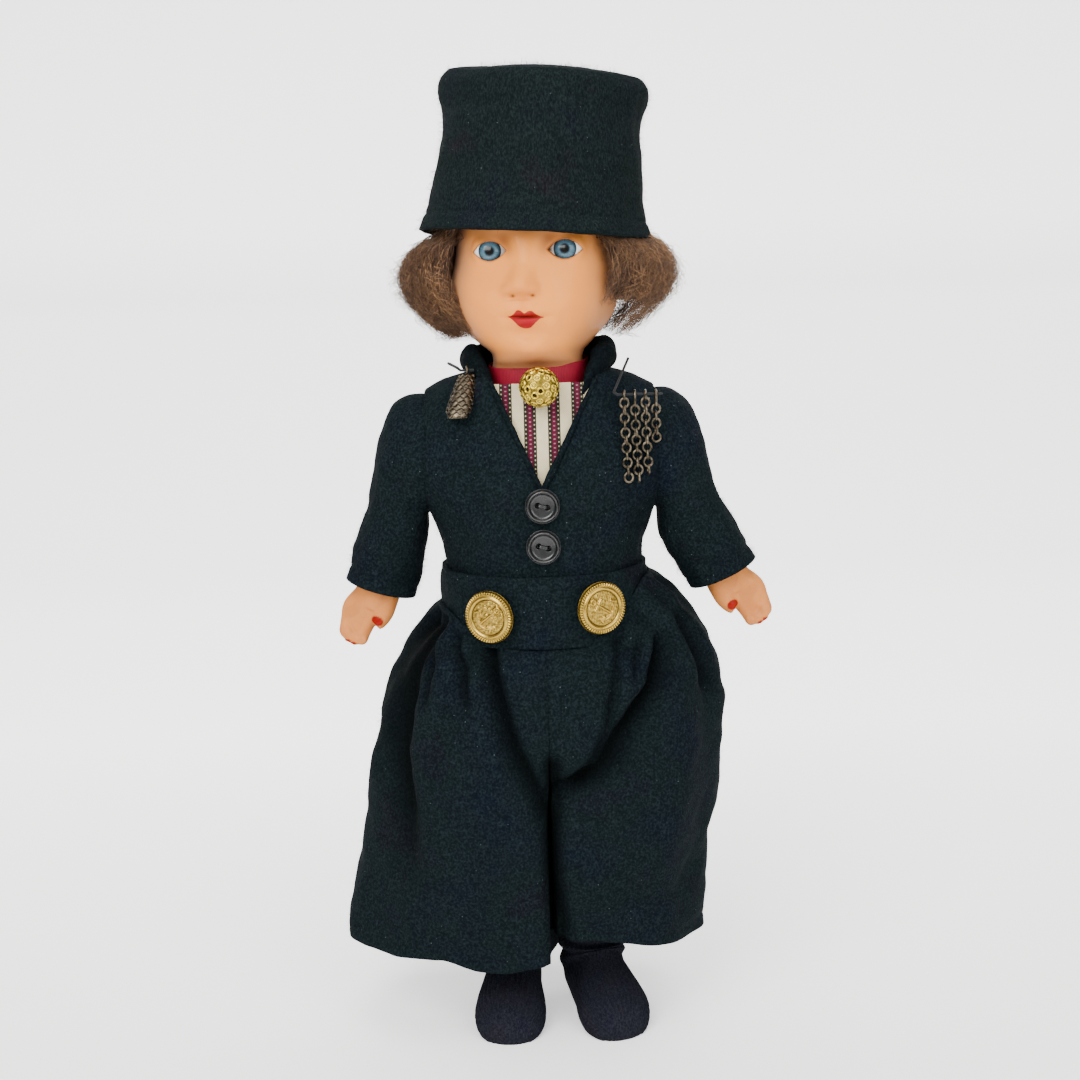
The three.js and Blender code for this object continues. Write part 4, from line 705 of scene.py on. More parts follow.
        # Stripe, twill and ladder pitch; the twill is drawn coarser than real thread, so that it shows.
        pitch, twill, beat = 7.2, 0.62, 1.3
        nodes = Nodes("striped_shirting")
        parts = nodes.add("SeparateXYZ", [nodes.add("UVMap")], None)
        value = {"across": parts.outputs[0], "down": parts.outputs[1]}
        for name, operation, *terms in (
            ("share", "ADD", "across", 2.2), ("share", "DIVIDE", "share", pitch),
            ("share", "FRACT", "share"), ("off", "SUBTRACT", "share", 0.5), ("off", "ABSOLUTE", "off"),
            ("off", "MULTIPLY", "off", pitch), ("rib", "ADD", "across", "down"),
            ("rib", "DIVIDE", "rib", twill), ("rib", "FRACT", "rib"), ("rib", "SUBTRACT", "rib", 0.5),
            ("rib", "ABSOLUTE", "rib"), ("weave", "MULTIPLY", "rib", 0.6),
            ("beat", "DIVIDE", "down", beat), ("beat", "FRACT", "beat"),
            ("core", "LESS_THAN", "off", 0.3), ("speck", "LESS_THAN", "beat", 0.3),
            ("speck", "MULTIPLY", "speck", "core"), ("speck", "MULTIPLY", "speck", 0.5),
            ("edge", "SUBTRACT", "off", 1.3), ("edge", "ABSOLUTE", "edge"),
            ("gap", "SUBTRACT", "beat", 0.5), ("gap", "ABSOLUTE", "gap"),
            ("gap", "LESS_THAN", "gap", 0.17), ("hole", "LESS_THAN", "edge", 0.2),
            ("hole", "MULTIPLY", "hole", "gap"), ("hole", "MULTIPLY", "hole", 0.6),
            ("solid", "SUBTRACT", 1.0, "hole"),
        ):
            value[name] = nodes.add("Math", [value.get(term, term) for term in terms], operation=operation)
        ladder = nodes.add("MapRange", [value["edge"], 0.5, 0.64, 0.97, 0.0])
        ladder = nodes.add("Math", [ladder, value["solid"]], operation="MULTIPLY")
        place = nodes.add("TexCoord", output="Object")
        mottle = nodes.add("TexNoise",
                           {"Vector": place, "Scale": per_mm(4.0), **GRAIN})
        pink = nodes.add("Mix", {0: value["speck"], 6: "#4b1226", 7: "#a07a80"}, 2, data_type="RGBA")
        band = nodes.add("MapRange", [value["off"], 0.74, 0.9, 1.0, 0.0])
        colour = "#b0a482"
        for amount, over in (
            (mottle, "#d0c5a6"), (value["weave"], "#716646"), (band, pink), (ladder, "#070608"),
        ):
            colour = nodes.add("Mix", {0: amount, 6: colour, 7: over}, 2, data_type="RGBA")
        return nodes.surface({
            "Base Color": colour, "Roughness": 0.88, "Specular IOR Level": 0.1,
            "Normal": nodes.add("Bump", {"Height": value["rib"], "Distance": 0.12 * MM, "Strength": 0.7}),
        })

    def _ribbon(self) -> Material:
        """Crimson grosgrain: fine ribs across the ribbon, 0.55 mm apart, with painted shade along the ribs.

        Returns:
            The material.
        """
        nodes = Nodes("grosgrain_ribbon")
        rib = nodes.add("SeparateXYZ", [nodes.add("UVMap")])
        for operation, *second in (("DIVIDE", 0.55), ("FRACT",), ("SUBTRACT", 0.5), ("ABSOLUTE",)):
            rib = nodes.add("Math", [rib, *second], operation=operation)
        place = nodes.add("TexCoord", output="Object")
        mottle = nodes.add("TexNoise",
                           {"Vector": place, "Scale": per_mm(2.2), **GRAIN})
        colour = "#700a1d"
        # Painted shade: darker lines that follow the ribs.
        rib_shade = nodes.add("Math", [rib, 0.9], operation="MULTIPLY")
        for amount, over in ((mottle, "#980e2a"), (rib_shade, "#43071a")):
            colour = nodes.add("Mix", {0: amount, 6: colour, 7: over}, 2, data_type="RGBA")
        return nodes.surface({
            "Base Color": colour, "Roughness": 0.62, "Specular IOR Level": 0.2,
            "Normal": nodes.add("Bump", {"Height": rib, "Distance": 0.15 * MM, "Strength": 0.8}),
        })

    def _floor(self) -> Material:
        """Pale paper floor with a trace of grain that glows as a painted light, more strongly towards the
        backdrop.

        Returns:
            The material.
        """
        nodes = Nodes("paper_floor")
        place = nodes.add("TexCoord", output="Object")
        grain = nodes.add("TexNoise",
                          {"Vector": place, "Scale": per_mm(40.0), **GRAIN})
        depth = nodes.add("SeparateXYZ", [place], 1)
        return nodes.surface({
            "Base Color": nodes.add("Mix", {0: grain, 6: "#f2f1ef", 7: "#f6f5f4"}, 2, data_type="RGBA"),
            # Painted light: the floor glows, weakly near the doll and strongly at the backdrop.
            "Roughness": 0.9, "Emission Color": (1.0, 1.0, 1.0, 1.0),
            "Emission Strength": nodes.add("MapRange", [depth, -0.05, 0.3, 0.35, 1.8]),
        })


class Shop:
    """Turns patches into objects in the row frame and fits them to the CAD bodies."""

    def __init__(self, frame: dict[str, Any]) -> None:
        """Read the doll's middle plane from the frame and make the finishes.

        Args:
            frame: The loaded frame.
        """
        self.nodes: dict[str, bpy.types.Object] = frame["nodes"]
        low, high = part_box("torso_front")
        self.middle = np.array([(low.x + high.x) / 2 / MM, 0.0, 0.0])
        self.finishes = Finishes()

    def box(self, node: str) -> tuple[Array, Array]:
        """Lowest and highest corner of a CAD node, in millimetres in the doll's own frame."""
        low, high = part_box(node)
        return np.array(low) / MM - self.middle, np.array(high) / MM - self.middle

    def point(self, x: float, y: float, z: float) -> tuple[float, float, float]:
        """A place in the doll's frame as metres in the row frame."""
        return tuple(((np.array([x, y, z]) + self.middle) * MM).tolist())

    def mesh(self, name: str, patch: Patch, tidy: bool = True) -> bpy.types.Mesh:
        """Write a patch as a mesh in metres.

        Args:
            name: The mesh's name.
            patch: The surface.
            tidy: Whether to join doubled points and turn the normals outwards.

        Returns:
            The mesh.
        """
        keep = patch.faces >= 0
        totals = keep.sum(axis=1)
        mesh = bpy.data.meshes.new(name)
        mesh.vertices.add(len(patch.points))
        mesh.vertices.foreach_set("co", ((patch.points + self.middle) * MM).astype(np.float32).ravel())
        mesh.loops.add(int(totals.sum()))
        mesh.loops.foreach_set("vertex_index", patch.faces[keep].astype(np.int32))
        mesh.polygons.add(len(totals))
        mesh.polygons.foreach_set("loop_start", (np.cumsum(totals) - totals).astype(np.int32))
        mesh.polygons.foreach_set("use_smooth", np.ones(len(totals), bool))
        if patch.slots is not None:
            mesh.polygons.foreach_set("material_index", patch.slots.astype(np.int32))
        mesh.uv_layers.new(name="UVMap").data.foreach_set("uv", patch.uv[keep].astype(np.float32).ravel())
        for tag, values in patch.tags.items():
            colour = values.shape[1] == 4
            attribute = mesh.attributes.new(tag, "FLOAT_COLOR" if colour else "FLOAT", "POINT")
            attribute.data.foreach_set("color" if colour else "value", values.astype(np.float32).ravel())
        mesh.update(calc_edges=True)
        if tidy:
            work = bmesh.new()
            work.from_mesh(mesh)
            bmesh.ops.remove_doubles(work, verts=work.verts, dist=1e-6)
            bmesh.ops.recalc_face_normals(work, faces=work.faces)
            work.to_mesh(mesh)
            work.free()
        mesh.validate()
        return mesh

    def piece(
        self,
        name: str,
        patch: Patch | bpy.types.Mesh,
        material: Material | Sequence[Material],
        body: str | None,
        replaces: Sequence[str] = (),
        wall: float = 0.0,
        tidy: bool = True,
    ) -> bpy.types.Object:
        """Make an object of a patch and fit it to the frame.

        Args:
            name: The object's name.
            patch: Its surface, or a finished mesh.
            material: Its material, or several in the order of the patch's slots.
            body: The CAD body it rides on; None for a piece that rides on no body.
            replaces: CAD nodes that it stands for.
            wall: Thickness that a sheet grows inwards.
            tidy: Whether to turn the normals outwards.

        Returns:
            The object.
        """
        mesh = patch if isinstance(patch, bpy.types.Mesh) else self.mesh(name, patch, tidy)
        mesh.materials.clear()
        for entry in [material] if isinstance(material, Material) else material:
            mesh.materials.append(entry)
        thing = bpy.data.objects.new(name, mesh)
        bpy.context.scene.collection.objects.link(thing)
        if wall:
            shell = thing.modifiers.new("wall", "SOLIDIFY")
            shell.thickness = wall * MM
            shell.offset = -1.0
        if replaces:
            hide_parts(*replaces)
        if body:
            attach(thing, body)
        LOG.info("%s: %d faces", name, len(mesh.polygons))
        return thing

    def remeshed(self, name: str, patch: Patch, voxel: float, rounds: int) -> bpy.types.Mesh:
        """Fuse overlapping closed forms into one skin.

        Args:
            name: The mesh's name.
            patch: Closed forms that overlap.
            voxel: Size of the voxels.
            rounds: Rounds of smoothing.

        Returns:
            The fused mesh.
        """
        thing = bpy.data.objects.new(name, self.mesh(name, patch))
        bpy.context.scene.collection.objects.link(thing)
        fuse = thing.modifiers.new("fuse", "REMESH")
        fuse.mode = "VOXEL"
        fuse.voxel_size = voxel * MM
        soften = thing.modifiers.new("soften", "SMOOTH")
        soften.iterations = rounds
        soften.factor = 0.5
        graph = bpy.context.evaluated_depsgraph_get()
        mesh = bpy.data.meshes.new_from_object(thing.evaluated_get(graph))
        bpy.data.objects.remove(thing)
        mesh.name = name
        mesh.polygons.foreach_set("use_smooth", np.ones(len(mesh.polygons), bool))
        return mesh

    def coordinates(self, mesh: bpy.types.Mesh) -> Array:
        """Points of a mesh in millimetres in the doll's own frame.

        Args:
            mesh: A mesh in metres in the row frame.

        Returns:
            One row a point.
        """
        flat = np.empty(len(mesh.vertices) * 3, np.float32)
        mesh.vertices.foreach_get("co", flat)
        return flat.reshape(-1, 3) / MM - self.middle


@dataclass
class HeadForm:
    """The doll's head as a surface, measured up from the neck ball's centre."""

    rows: Array = table(
        [-13.05, 6.32, 6.32, 6.32], [-10.44, 10.06, 10.06, 10.06], [-5.8, 13.29, 13.29, 13.29],
        [0.0, 14.5, 14.5, 14.5], [1.2, 14.3, 15.6, 14.7], [3.0, 13.9, 20.2, 15.3],
        [5.4, 14.4, 22.6, 16.2], [8.0, 17.2, 23.5, 17.5], [11.0, 20.2, 24.2, 19.5],
        [13.4, 22.3, 24.7, 21.1], [15.6, 23.9, 25.1, 22.5], [18.4, 25.2, 25.4, 24.1],
        [21.0, 25.9, 25.4, 25.3], [23.4, 26.2, 25.4, 26.1], [26.0, 26.2, 25.2, 26.8],
        [29.5, 25.8, 25.0, 27.5], [32.5, 25.2, 24.9, 27.5], [35.4, 24.7, 24.8, 27.5],
        [38.4, 24.4, 24.7, 27.3], [42.0, 23.8, 24.3, 26.7], [47.0, 22.2, 22.8, 25.3],
        [52.5, 19.2, 19.6, 22.0], [57.5, 14.6, 14.8, 16.7], [61.2, 8.0, 8.0, 9.1], [63.0, 2.0, 2.0, 2.0],
    )
    eye: tuple[float, ...] = (11.1, -15.6, 35.4)
    eye_radius: float = 6.25
    lid_radius: float = 6.75
    nose: Array = table(
        [20.6, 0.0, 3.8], [22.0, 1.5, 4.0], [23.4, 3.8, 4.2], [24.8, 4.8, 4.2], [26.4, 4.4, 3.9],
        [28.4, 3.1, 3.6], [31.0, 1.8, 3.6], [34.0, 0.9, 3.8], [37.0, 0.3, 4.0], [41.0, 0.0, 4.0],
    )
    nose_x: float = -1.0
    mouth_x: float = 0.3
    cheek_shift: float = -0.8
    mouth: float = 16.2

    def place(self, points: Array) -> Array:
        """Points of the head's frame in the doll's frame."""
        return points @ rotation("Z", HEAD_TURN) + np.array([0.0, 0.0, NECK_Z])

    def size(self, rise: Array) -> tuple[Array, Array, Array]:
        """Half width, front depth and back depth at a rise."""
        return columns(self.rows, rise)

    def relief(self, x: Array, rise: Array) -> Array:
        """How far the face stands out from the plain head: the sum of bells for nose, lips, cheeks and chin.

        Args:
            x: Places across.
            rise: Heights above the neck ball's centre.

        Returns:
            Distances outwards.
        """
        height, width = columns(self.nose, rise)
        off = x - self.nose_x * smoothstep(36.0, 25.0, rise)
        nose = np.where((rise > 20.8) & (rise < 41.0), height * np.exp(-np.abs(off / width) ** 2.6), 0.0)
        wings = 0.9 * bell(np.abs(off) - 4.4, 1.5) * bell(rise - 23.9, 1.6)
        nostrils = -0.9 * bell(np.abs(off) - 2.9, 0.7) * bell(rise - 22.2, 0.5)
        wide = np.abs(x)
        across = x - self.mouth_x
        up = rise - self.mouth
        mound = 1.3 * bell(across, 6.4) * bell(up, 4.6)
        upper = 0.8 * bell(up - 1.0, 0.95) * bell(np.abs(across) - 1.9, 2.5)
        lower = 1.1 * bell(up + 1.6, 1.3) * bell(across, 3.3)
        parting = -0.95 * bell(up + 0.15, 0.42) * bell(across, 5.4)
        under = -0.9 * bell(up + 5.2, 1.7) * bell(across, 4.5)
        philtrum = -0.4 * bell(across, 0.9) * bell(rise - 19.8, 1.4)
        corners = -0.6 * bell(np.abs(across) - 6.2, 1.4) * bell(up, 1.6)
        chin = 1.7 * bell(across, 5.6) * bell(rise - 6.8, 3.4)
        cheeks = 1.6 * bell(wide - 12.5, 6.5) * bell(rise - 20.5, 6.0)
        sockets = -1.3 * bell(wide - 8.4, 4.2) * bell(rise - 36.4, 4.4)
        brows = 0.4 * bell(wide - 10.0, 5.0) * bell(rise - 42.5, 2.6)
        folds = -0.12 * bell(np.abs(off) - 5.6 - 0.16 * (24.0 - rise), 1.0) * bell(rise - 21.5, 2.6)
        lips = mound + upper + lower + parting + under + philtrum + corners
        return nose + wings + nostrils + lips + chin + cheeks + sockets + brows + folds

    def opening(self, x: Array, rise: Array) -> Array:
        """Signed height inside the almond eye openings: positive within, in millimetres.

        Args:
            x: Places across.
            rise: Heights above the neck ball's centre.

        Returns:
            Distances inside the opening's edge.
        """
        side = np.abs(x) - self.eye[0]
        share = np.clip(np.abs(side) / 4.9, 0.0, 1.4)
        up = rise - self.eye[2] + 0.1
        top = 2.75 * (1.0 - share**2.1)
        bottom = -2.65 * (1.0 - share**1.9)
        return np.minimum(top - up, up - bottom)

    def surface(self, angle: Array, rise: Array) -> Array:
        """The painted head at an angle round from the front and a rise.

        An oval row of the head, plus the face's relief on its front half. Each lid is the smooth union of
        the face and a ball just outside the eye, and the eye openings sink behind the eyeballs.

        Args:
            angle: Angle from the front, turning towards +X.
            rise: Height above the neck ball's centre.

        Returns:
            Points in the head's own frame.
        """
        width, front, back = self.size(rise)
        x = width * np.sin(angle)
        ahead = np.cos(angle)
        y = -np.where(ahead > 0, front, back) * ahead
        y = y - np.where(ahead > 0, self.relief(x, rise) * ahead, 0.0)
        span = np.hypot(np.abs(x) - self.eye[0], rise - self.eye[2])
        ball = self.eye[1] - np.sqrt(np.maximum(self.lid_radius**2 - span**2, 0.0))
        soft = -0.35 * np.logaddexp(-y / 0.35, -ball / 0.35)
        lid = np.where((ahead > 0) & (span < self.lid_radius), smoothstep(6.7, 5.2, span), 0.0)
        y = y + lid * (soft - y)
        hole = np.where(ahead > 0, smoothstep(-0.12, 0.2, self.opening(x, rise)), 0.0)
        y = y + hole * (self.eye[1] - 1.2 - y)
        shift = self.cheek_shift * smoothstep(4.0, 11.0, rise) * smoothstep(32.0, 26.0, rise)
        return xyz(x + shift, y, rise)

    def front(self, x: Array, rise: Array) -> Array:
        """Points of the face at a place across and up."""
        width = self.size(rise)[0]
        return self.surface(np.arcsin(np.clip(x / width, -1.0, 1.0)), rise)


@dataclass
class Head:
    """Painted head, lips and glass eyes."""

    form: HeadForm
    cols: int = 250
    skin: str = "#d98639"
    # Greyer colour of the painted shade on the sides, under the chin and under the cap.
    edge: str = "#7e6352"
    blush: str = "#cc7836"
    # Brown above the eyes, also used for the painted shade along the lid edges.
    shadow: str = "#7b4526"
    # Near-black painted shade inside the eye openings.
    dark: str = "#050303"
    nostril: str = "#3f140b"
    # Upper and lower lip; the upper lip's darker red is a painted shade.
    lips: tuple[str, ...] = ("#7e0512", "#8a081d")
    parting: str = "#44040b"
    upper_lip: Array = table(
        [-5.3, 0.1], [-4.3, 0.28], [-3.5, 0.7], [-2.3, 1.85], [-1.2, 1.65], [-0.2, 0.95], [0.9, 1.5],
        [2.0, 1.55], [3.3, 0.55], [4.3, 0.0], [5.3, -0.25],
    )
    lower_lip: Array = table(
        [-5.3, -0.05], [-4.3, -0.55], [-3.2, -1.5], [-2.0, -2.75], [-0.8, -3.35], [0.4, -3.45],
        [1.6, -3.1], [3.0, -1.8], [4.3, -0.75], [5.3, -0.4],
    )

    def build(self, shop: Shop) -> None:
        """Make the head, the lips and both eyes.

        Args:
            shop: Makes and fits the pieces.
        """
        shop.piece("head", self._skin(), shop.finishes.face, "head", ["head_shell"])
        shop.piece("lips", self._lips(), shop.finishes.face, "head", tidy=False)
        for side in Side:
            shop.piece(side.node("glass_eye"), self._eye(side), shop.finishes.eye, "eyes",
                       [side.node("eye")])

    def _skin(self) -> Patch:
        """The head's grid, finest across the face, with its tint of paint and painted shade.

        Returns:
            The patch.
        """
        turn = circle(self.cols)
        angle = turn - 0.72 * np.sin(turn)
        rise = np.concatenate([
            np.linspace(-13.0, 1.5, 14), np.linspace(2.0, 7.0, 24), np.linspace(7.2, 42.0, 170),
            np.linspace(42.6, 62.9, 24),
        ])
        angles, rises = np.meshgrid(angle, rise)
        points = self.form.surface(angles, rises)
        tint = self._tint(points, angles)
        return Patch.grid(self.form.place(points), wrap=True, caps=(0, -1), tags={"tint": tint})

    def _tint(self, points: Array, angles: Array) -> Array:
        """Blush on cheeks and nose, brown at the eyes' inner corners, and painted shade in the sockets, at
        the lid edges, on the sides and under chin and cap.

        Args:
            points: Places on the surface.
            angles: Angles from the front.

        Returns:
            A linear colour for each place.
        """
        x, rise = points[..., 0], points[..., 2]
        wide = np.abs(x)
        names = (self.skin, self.blush, self.shadow, self.dark, self.nostril, self.edge)
        skin, blush, shadow, dark, nostril, edge = (np.array(linear(code)) for code in names)
        ahead = np.cos(angles) > 0
        off = x - self.form.nose_x
        rosy = 0.3 * bell(wide - 13.0, 6.0) * bell(rise - 20.0, 6.0)
        rosy = rosy + 0.5 * bell(off, 4.5) * bell(rise - 24.0, 2.6)
        rosy = rosy + 0.45 * bell(x, 9.0) * bell(rise - 4.0, 3.0)
        brown = 0.7 * bell(wide - 6.6, 2.4) * bell(rise - 38.0, 2.0)
        brown = brown + 0.35 * bell(wide - 5.2, 1.5) * bell(rise - 35.5, 2)
        brown = brown + 0.35 * bell(wide - 10.5, 4.5) * bell(rise - 39.4, 1.3)
        shut = self.form.opening(x, rise)
        # Painted shade along the edges of the eye openings.
        rim = 0.75 * bell(shut + 0.12, 0.42)
        # Near-black painted shade in the openings, round the eyeballs.
        hole = smoothstep(-0.08, 0.12, shut)
        turned = np.minimum(angles % TAU, -angles % TAU)
        # Painted shade: greyer on the sides turned away, most on the doll's right, and under the chin and
        # the cap.
        dull = np.where(x < 0, 0.95, 0.65) * smoothstep(0.55, 1.15, turned)
        dull = np.maximum(dull, 0.6 * smoothstep(8.0, 2.0, rise))
        dull = np.maximum(dull, 0.4 * smoothstep(36.5, 41.5, rise))
        pits = bell(np.abs(off) - 2.9, 0.62) * bell(rise - 22.2, 0.42)
        tint = np.broadcast_to(skin, points.shape[:-1] + (4,)).copy()
        for amount, colour in ((rosy, blush), (dull, edge), (brown, shadow), (rim, shadow), (hole, dark),
                               (pits, nostril)):
            share = (np.where(ahead, amount, 0.0))[..., None]
            tint = tint + share * (colour - tint)
        return tint

    def _lips(self) -> Patch:
        """Painted lips: two strips between smooth outlines and the parting, a hair proud of the face.

        Returns:
            The patch.
        """
        x = np.linspace(-5.3, 5.3, 90)
        parting = -0.1 - 0.03 * x - 0.05 * bell(x, 3.0)
        strips = []
        # The upper strip takes the darker red, a painted shade.
        for outline, code in zip((self.upper_lip, self.lower_lip), self.lips):
            (edge,) = columns(outline, x)
            share = ramp(18)[:, None]
            up = parting + share * (edge - parting)
            points = self.form.front(np.broadcast_to(x + self.form.mouth_x, up.shape), up + self.form.mouth)
            points[..., 1] -= 0.07
            red, line = np.array(linear(code)), np.array(linear(self.parting))
            tint = red + (0.9 * bell(share, 0.12) + 0 * up)[..., None] * (line - red)
            strips.append(Patch.grid(self.form.place(points), tags={"tint": tint}))
        return Patch.merged(strips)

    def _eye(self, side: Side) -> Patch:
        """An eyeball as a grid of polar angle from the gaze by turn, with its upper lid tagged.

        Args:
            side: The doll's own side.

        Returns:
            The patch.
        """
        polar = np.concatenate([np.linspace(0.002, 0.62, 60), np.linspace(0.66, math.pi - 0.01, 40)])
        turn = circle(96)
        turns, polars = np.meshgrid(turn, polar)
        reach = self.form.eye_radius + 0.22 * smoothstep(0.62, 0.3, polars)
        way = ball(polars, turns)
        lid = smoothstep(0.55, 0.6, np.arctan2(way[..., 2], -way[..., 1]))
        x, y, z = self.form.eye
        patch = Patch.grid(way * reach[..., None], wrap=True, caps=(0, -1), tags={"lid": lid})
        shares = np.concatenate([polar, [polar[0], polar[-1]]]) / math.pi
        rows = np.minimum(np.arange(len(patch.points)) // 96, len(polar))
        rows[-1] = len(polar) + 1
        patch.uv[..., 1] = shares[rows[patch.faces]]
        patch.points = self.form.place(patch.points + np.array([side.value * x, y, z]))
        return patch


@dataclass
class Wig:
    """Frizzy mohair bob: a core painted dark as painted shade, under thousands of crimped strands."""

    form: HeadForm
    rows: Array = table(
        [8.0, 21.5, 14.0, 20.0], [9.8, 24.5, 15.0, 22.0], [12.0, 28.0, 16.5, 25.0],
        [14.9, 31.8, 18.0, 28.0], [18.0, 35.2, 19.5, 30.0], [21.0, 37.8, 20.5, 31.0],
        [24.5, 39.8, 21.0, 31.5], [28.5, 40.9, 21.5, 32.0], [32.4, 40.3, 22.0, 31.8],
        [36.0, 38.4, 23.0, 31.2], [39.0, 35.5, 24.0, 30.4], [43.8, 32.2, 26.0, 29.2],
        [52.0, 26.0, 24.0, 24.5], [62.0, 8.0, 9.0, 9.0],
    )
    front: float = 0.68
    temple: float = 1.22
    low: dict[Side, float] = by_side(18.6, 10.2)
    side_strands: int = 2700
    back_strands: int = 2500
    loose_strands: int = 1700
    rng: np.random.Generator = field(default_factory=lambda: np.random.default_rng(SEED + 40))

    def build(self, shop: Shop) -> None:
        """Make the core, the combed strands on each side and behind, and the loose frizz.

        Args:
            shop: Makes and fits the pieces.
        """
        hair = shop.finishes.hair
        shop.piece("wig_core", self._core(), hair, "head", ["wig"])
        for side in Side:
            patch = self._combed(self.side_strands, (self.front, 1.9), side.value, self.low[side])
            shop.piece(side.node("hair"), patch, hair, "head", tidy=False)
        back = self._combed(self.back_strands, (1.8, TAU - 1.8), 1, 10.0)
        shop.piece("hair_back", back, hair, "head", tidy=False)
        shop.piece("hair_loose", self._loose(), hair, "head", tidy=False)

    def _at(self, angle: Array, rise: Array, out: Array | float) -> Array:
        """A place on the bob, a distance out from its surface.

        Args:
            angle: Angles from the front.
            rise: Heights above the neck ball's centre.
            out: Distances out from the bob.

        Returns:
            Points in the head's own frame.
        """
        width, ahead, behind = columns(self.rows, rise)
        turn = np.cos(angle)
        depth = np.where(turn > 0, ahead, behind)
        return xyz((width + out) * np.sin(angle), -(depth + out) * turn, rise)

    def _core(self) -> Patch:
        """Each row runs round the bob from one temple to the other, then back along the head.

        Returns:
            The patch.
        """
        step = ramp(44)[:, None]
        share = ramp(170)
        open_face = smoothstep(0.66, 0.62, step)
        begin = open_face * (self.front + 0.12)
        angle = begin + share * (TAU - 2 * begin)
        low = 12.5 + 8.0 * smoothstep(-0.2, 0.6, np.sin(angle))
        rises = low + step * (62.8 - low)
        outer = self._at(angle, rises, -2.4)
        inner_begin = open_face * self.temple
        inner_angle = inner_begin + share * (TAU - 2 * inner_begin)
        width, ahead, behind = self.form.size(rises)
        depth = np.where(np.cos(inner_angle) > 0, ahead, behind)
        inner = xyz((width + 0.4) * np.sin(inner_angle), -(depth + 0.4) * np.cos(inner_angle), rises)
        reach = np.linalg.norm(inner[..., :2], axis=-1, keepdims=True)
        span = np.linalg.norm(outer[..., :2], axis=-1, keepdims=True)
        outer[..., :2] *= np.maximum(1.0, (reach + 0.3) / span)
        loop = np.concatenate([outer, inner[:, ::-1]], axis=1)
        # The core is painted darkest brown as painted shade beneath the strands; its top gets lighter
        # streaks.
        streaks = np.clip(self.rng.normal(0.32, 0.2, loop.shape[1]), 0.0, 1.0)
        tone = 0.1 + smoothstep(38.0, 46.0, loop[..., 2]) * streaks
        return Patch.grid(self.form.place(loop), wrap=True, tags={"tone": tone})

    def _combed(self, count: int, span: tuple[float, float], sign: int, lowest: float) -> Patch:
        """Strands that run down the bob from under the cap and tuck in below, with crimped waves.

        Args:
            count: Number of strands.
            span: First and last angle from the front.
            sign: One, or minus one to mirror the angles.
            lowest: Rise of the lowest tips.

        Returns:
            The patch.
        """
        rng = self.rng
        share = ramp(9)
        locks = count // 14
        lock = rng.integers(0, locks, (count, 1))
        top = rng.uniform(lowest + 5.0, 44.0, locks)[lock] + rng.normal(0, 2.0, (count, 1))
        top = np.clip(top, lowest + 4.0, 44.0)
        low = np.maximum(top - rng.uniform(8.0, 22.0, (count, 1)), lowest + rng.exponential(3.2, (count, 1)))
        rise = top + share * (np.minimum(low, top - 2.0) - top)
        start = rng.uniform(*span, locks)[lock] + rng.normal(0, 0.07, (count, 1))
        angle = np.clip(start, *span) + rng.normal(0, 0.1, (count, 1)) * share
        phase = rng.uniform(0, TAU, (2, locks))[:, lock] + rng.normal(0, 0.5, (2, count, 1))
        beat = rng.uniform(0.22, 0.42, locks)[lock] * (top - low) * TAU
        crimp = rng.uniform(0.5, 1.3, locks)[lock] * rng.uniform(0.6, 1.5, (count, 1))
        beat = np.minimum(beat, 4.2 * TAU)
        out = rng.normal(-0.3, 0.8, locks)[lock] + rng.normal(0, 0.8, (count, 1))
        out = out + crimp * np.sin(beat * share + phase[0])
        out = out + rng.uniform(-0.6, 1.8, (count, 1)) * share**2 - 3.0 * smoothstep(37.0, 42.0, rise)
        angle = angle + crimp * np.cos(beat * share + phase[1]) / 32.0
        points = self._at(sign * np.maximum(angle, span[0] - 0.05), rise, out)
        points[..., 2] += 0.5 * np.sin(beat * share + phase[1])
        radius = rng.uniform(0.045, 0.1, (count, 1)) * (1.0 - 0.55 * share)
        tone = rng.normal(0.54, 0.26, locks)[lock[:, 0]] + rng.normal(0, 0.16, count)
        tone = np.clip(tone, 0.0, 1.0)
        return Patch.tubes(self.form.place(points), radius, 3, tags={"tone": tone})

    def _loose(self) -> Patch:
        """Fly-away hairs that curl out of the bob, most of them low at the sides.

        Returns:
            The patch.
        """
        rng, count = self.rng, self.loose_strands
        share = ramp(12)
        side = rng.choice([-1.0, 1.0], (count, 1))
        angle = side * rng.uniform(1.0, 2.6, (count, 1))
        rise = rng.uniform(12.0, 36.0, (count, 1)) + 2.0 * (side > 0)
        beat = rng.uniform(0.8, 2.6, (count, 1)) * TAU
        phase = rng.uniform(0, TAU, (count, 1))
        out = -1.0 + rng.uniform(0.5, 7.5, (count, 1)) * share + 1.1 * np.sin(beat * share + phase) * share
        swing = rng.uniform(-0.16, 0.2, (count, 1)) * share + 0.05 * np.sin(beat * share + phase) * share
        fall = rng.uniform(-11.0, 2.0, (count, 1)) * share + 1.3 * np.cos(beat * share + phase) * share
        points = self._at(angle + swing, np.clip(rise + fall, 10.5, 43.0), out)
        points[..., 2] = points[..., 2] + 0.3 * np.minimum(rise + fall - 10.5, 0.0)
        radius = 0.06 * (1.0 - 0.5 * share) * np.ones((count, 1))
        tone = np.clip(rng.normal(0.55, 0.25, count), 0.0, 1.0)
        return Patch.tubes(self.form.place(points), radius, 3, tags={"tone": tone})


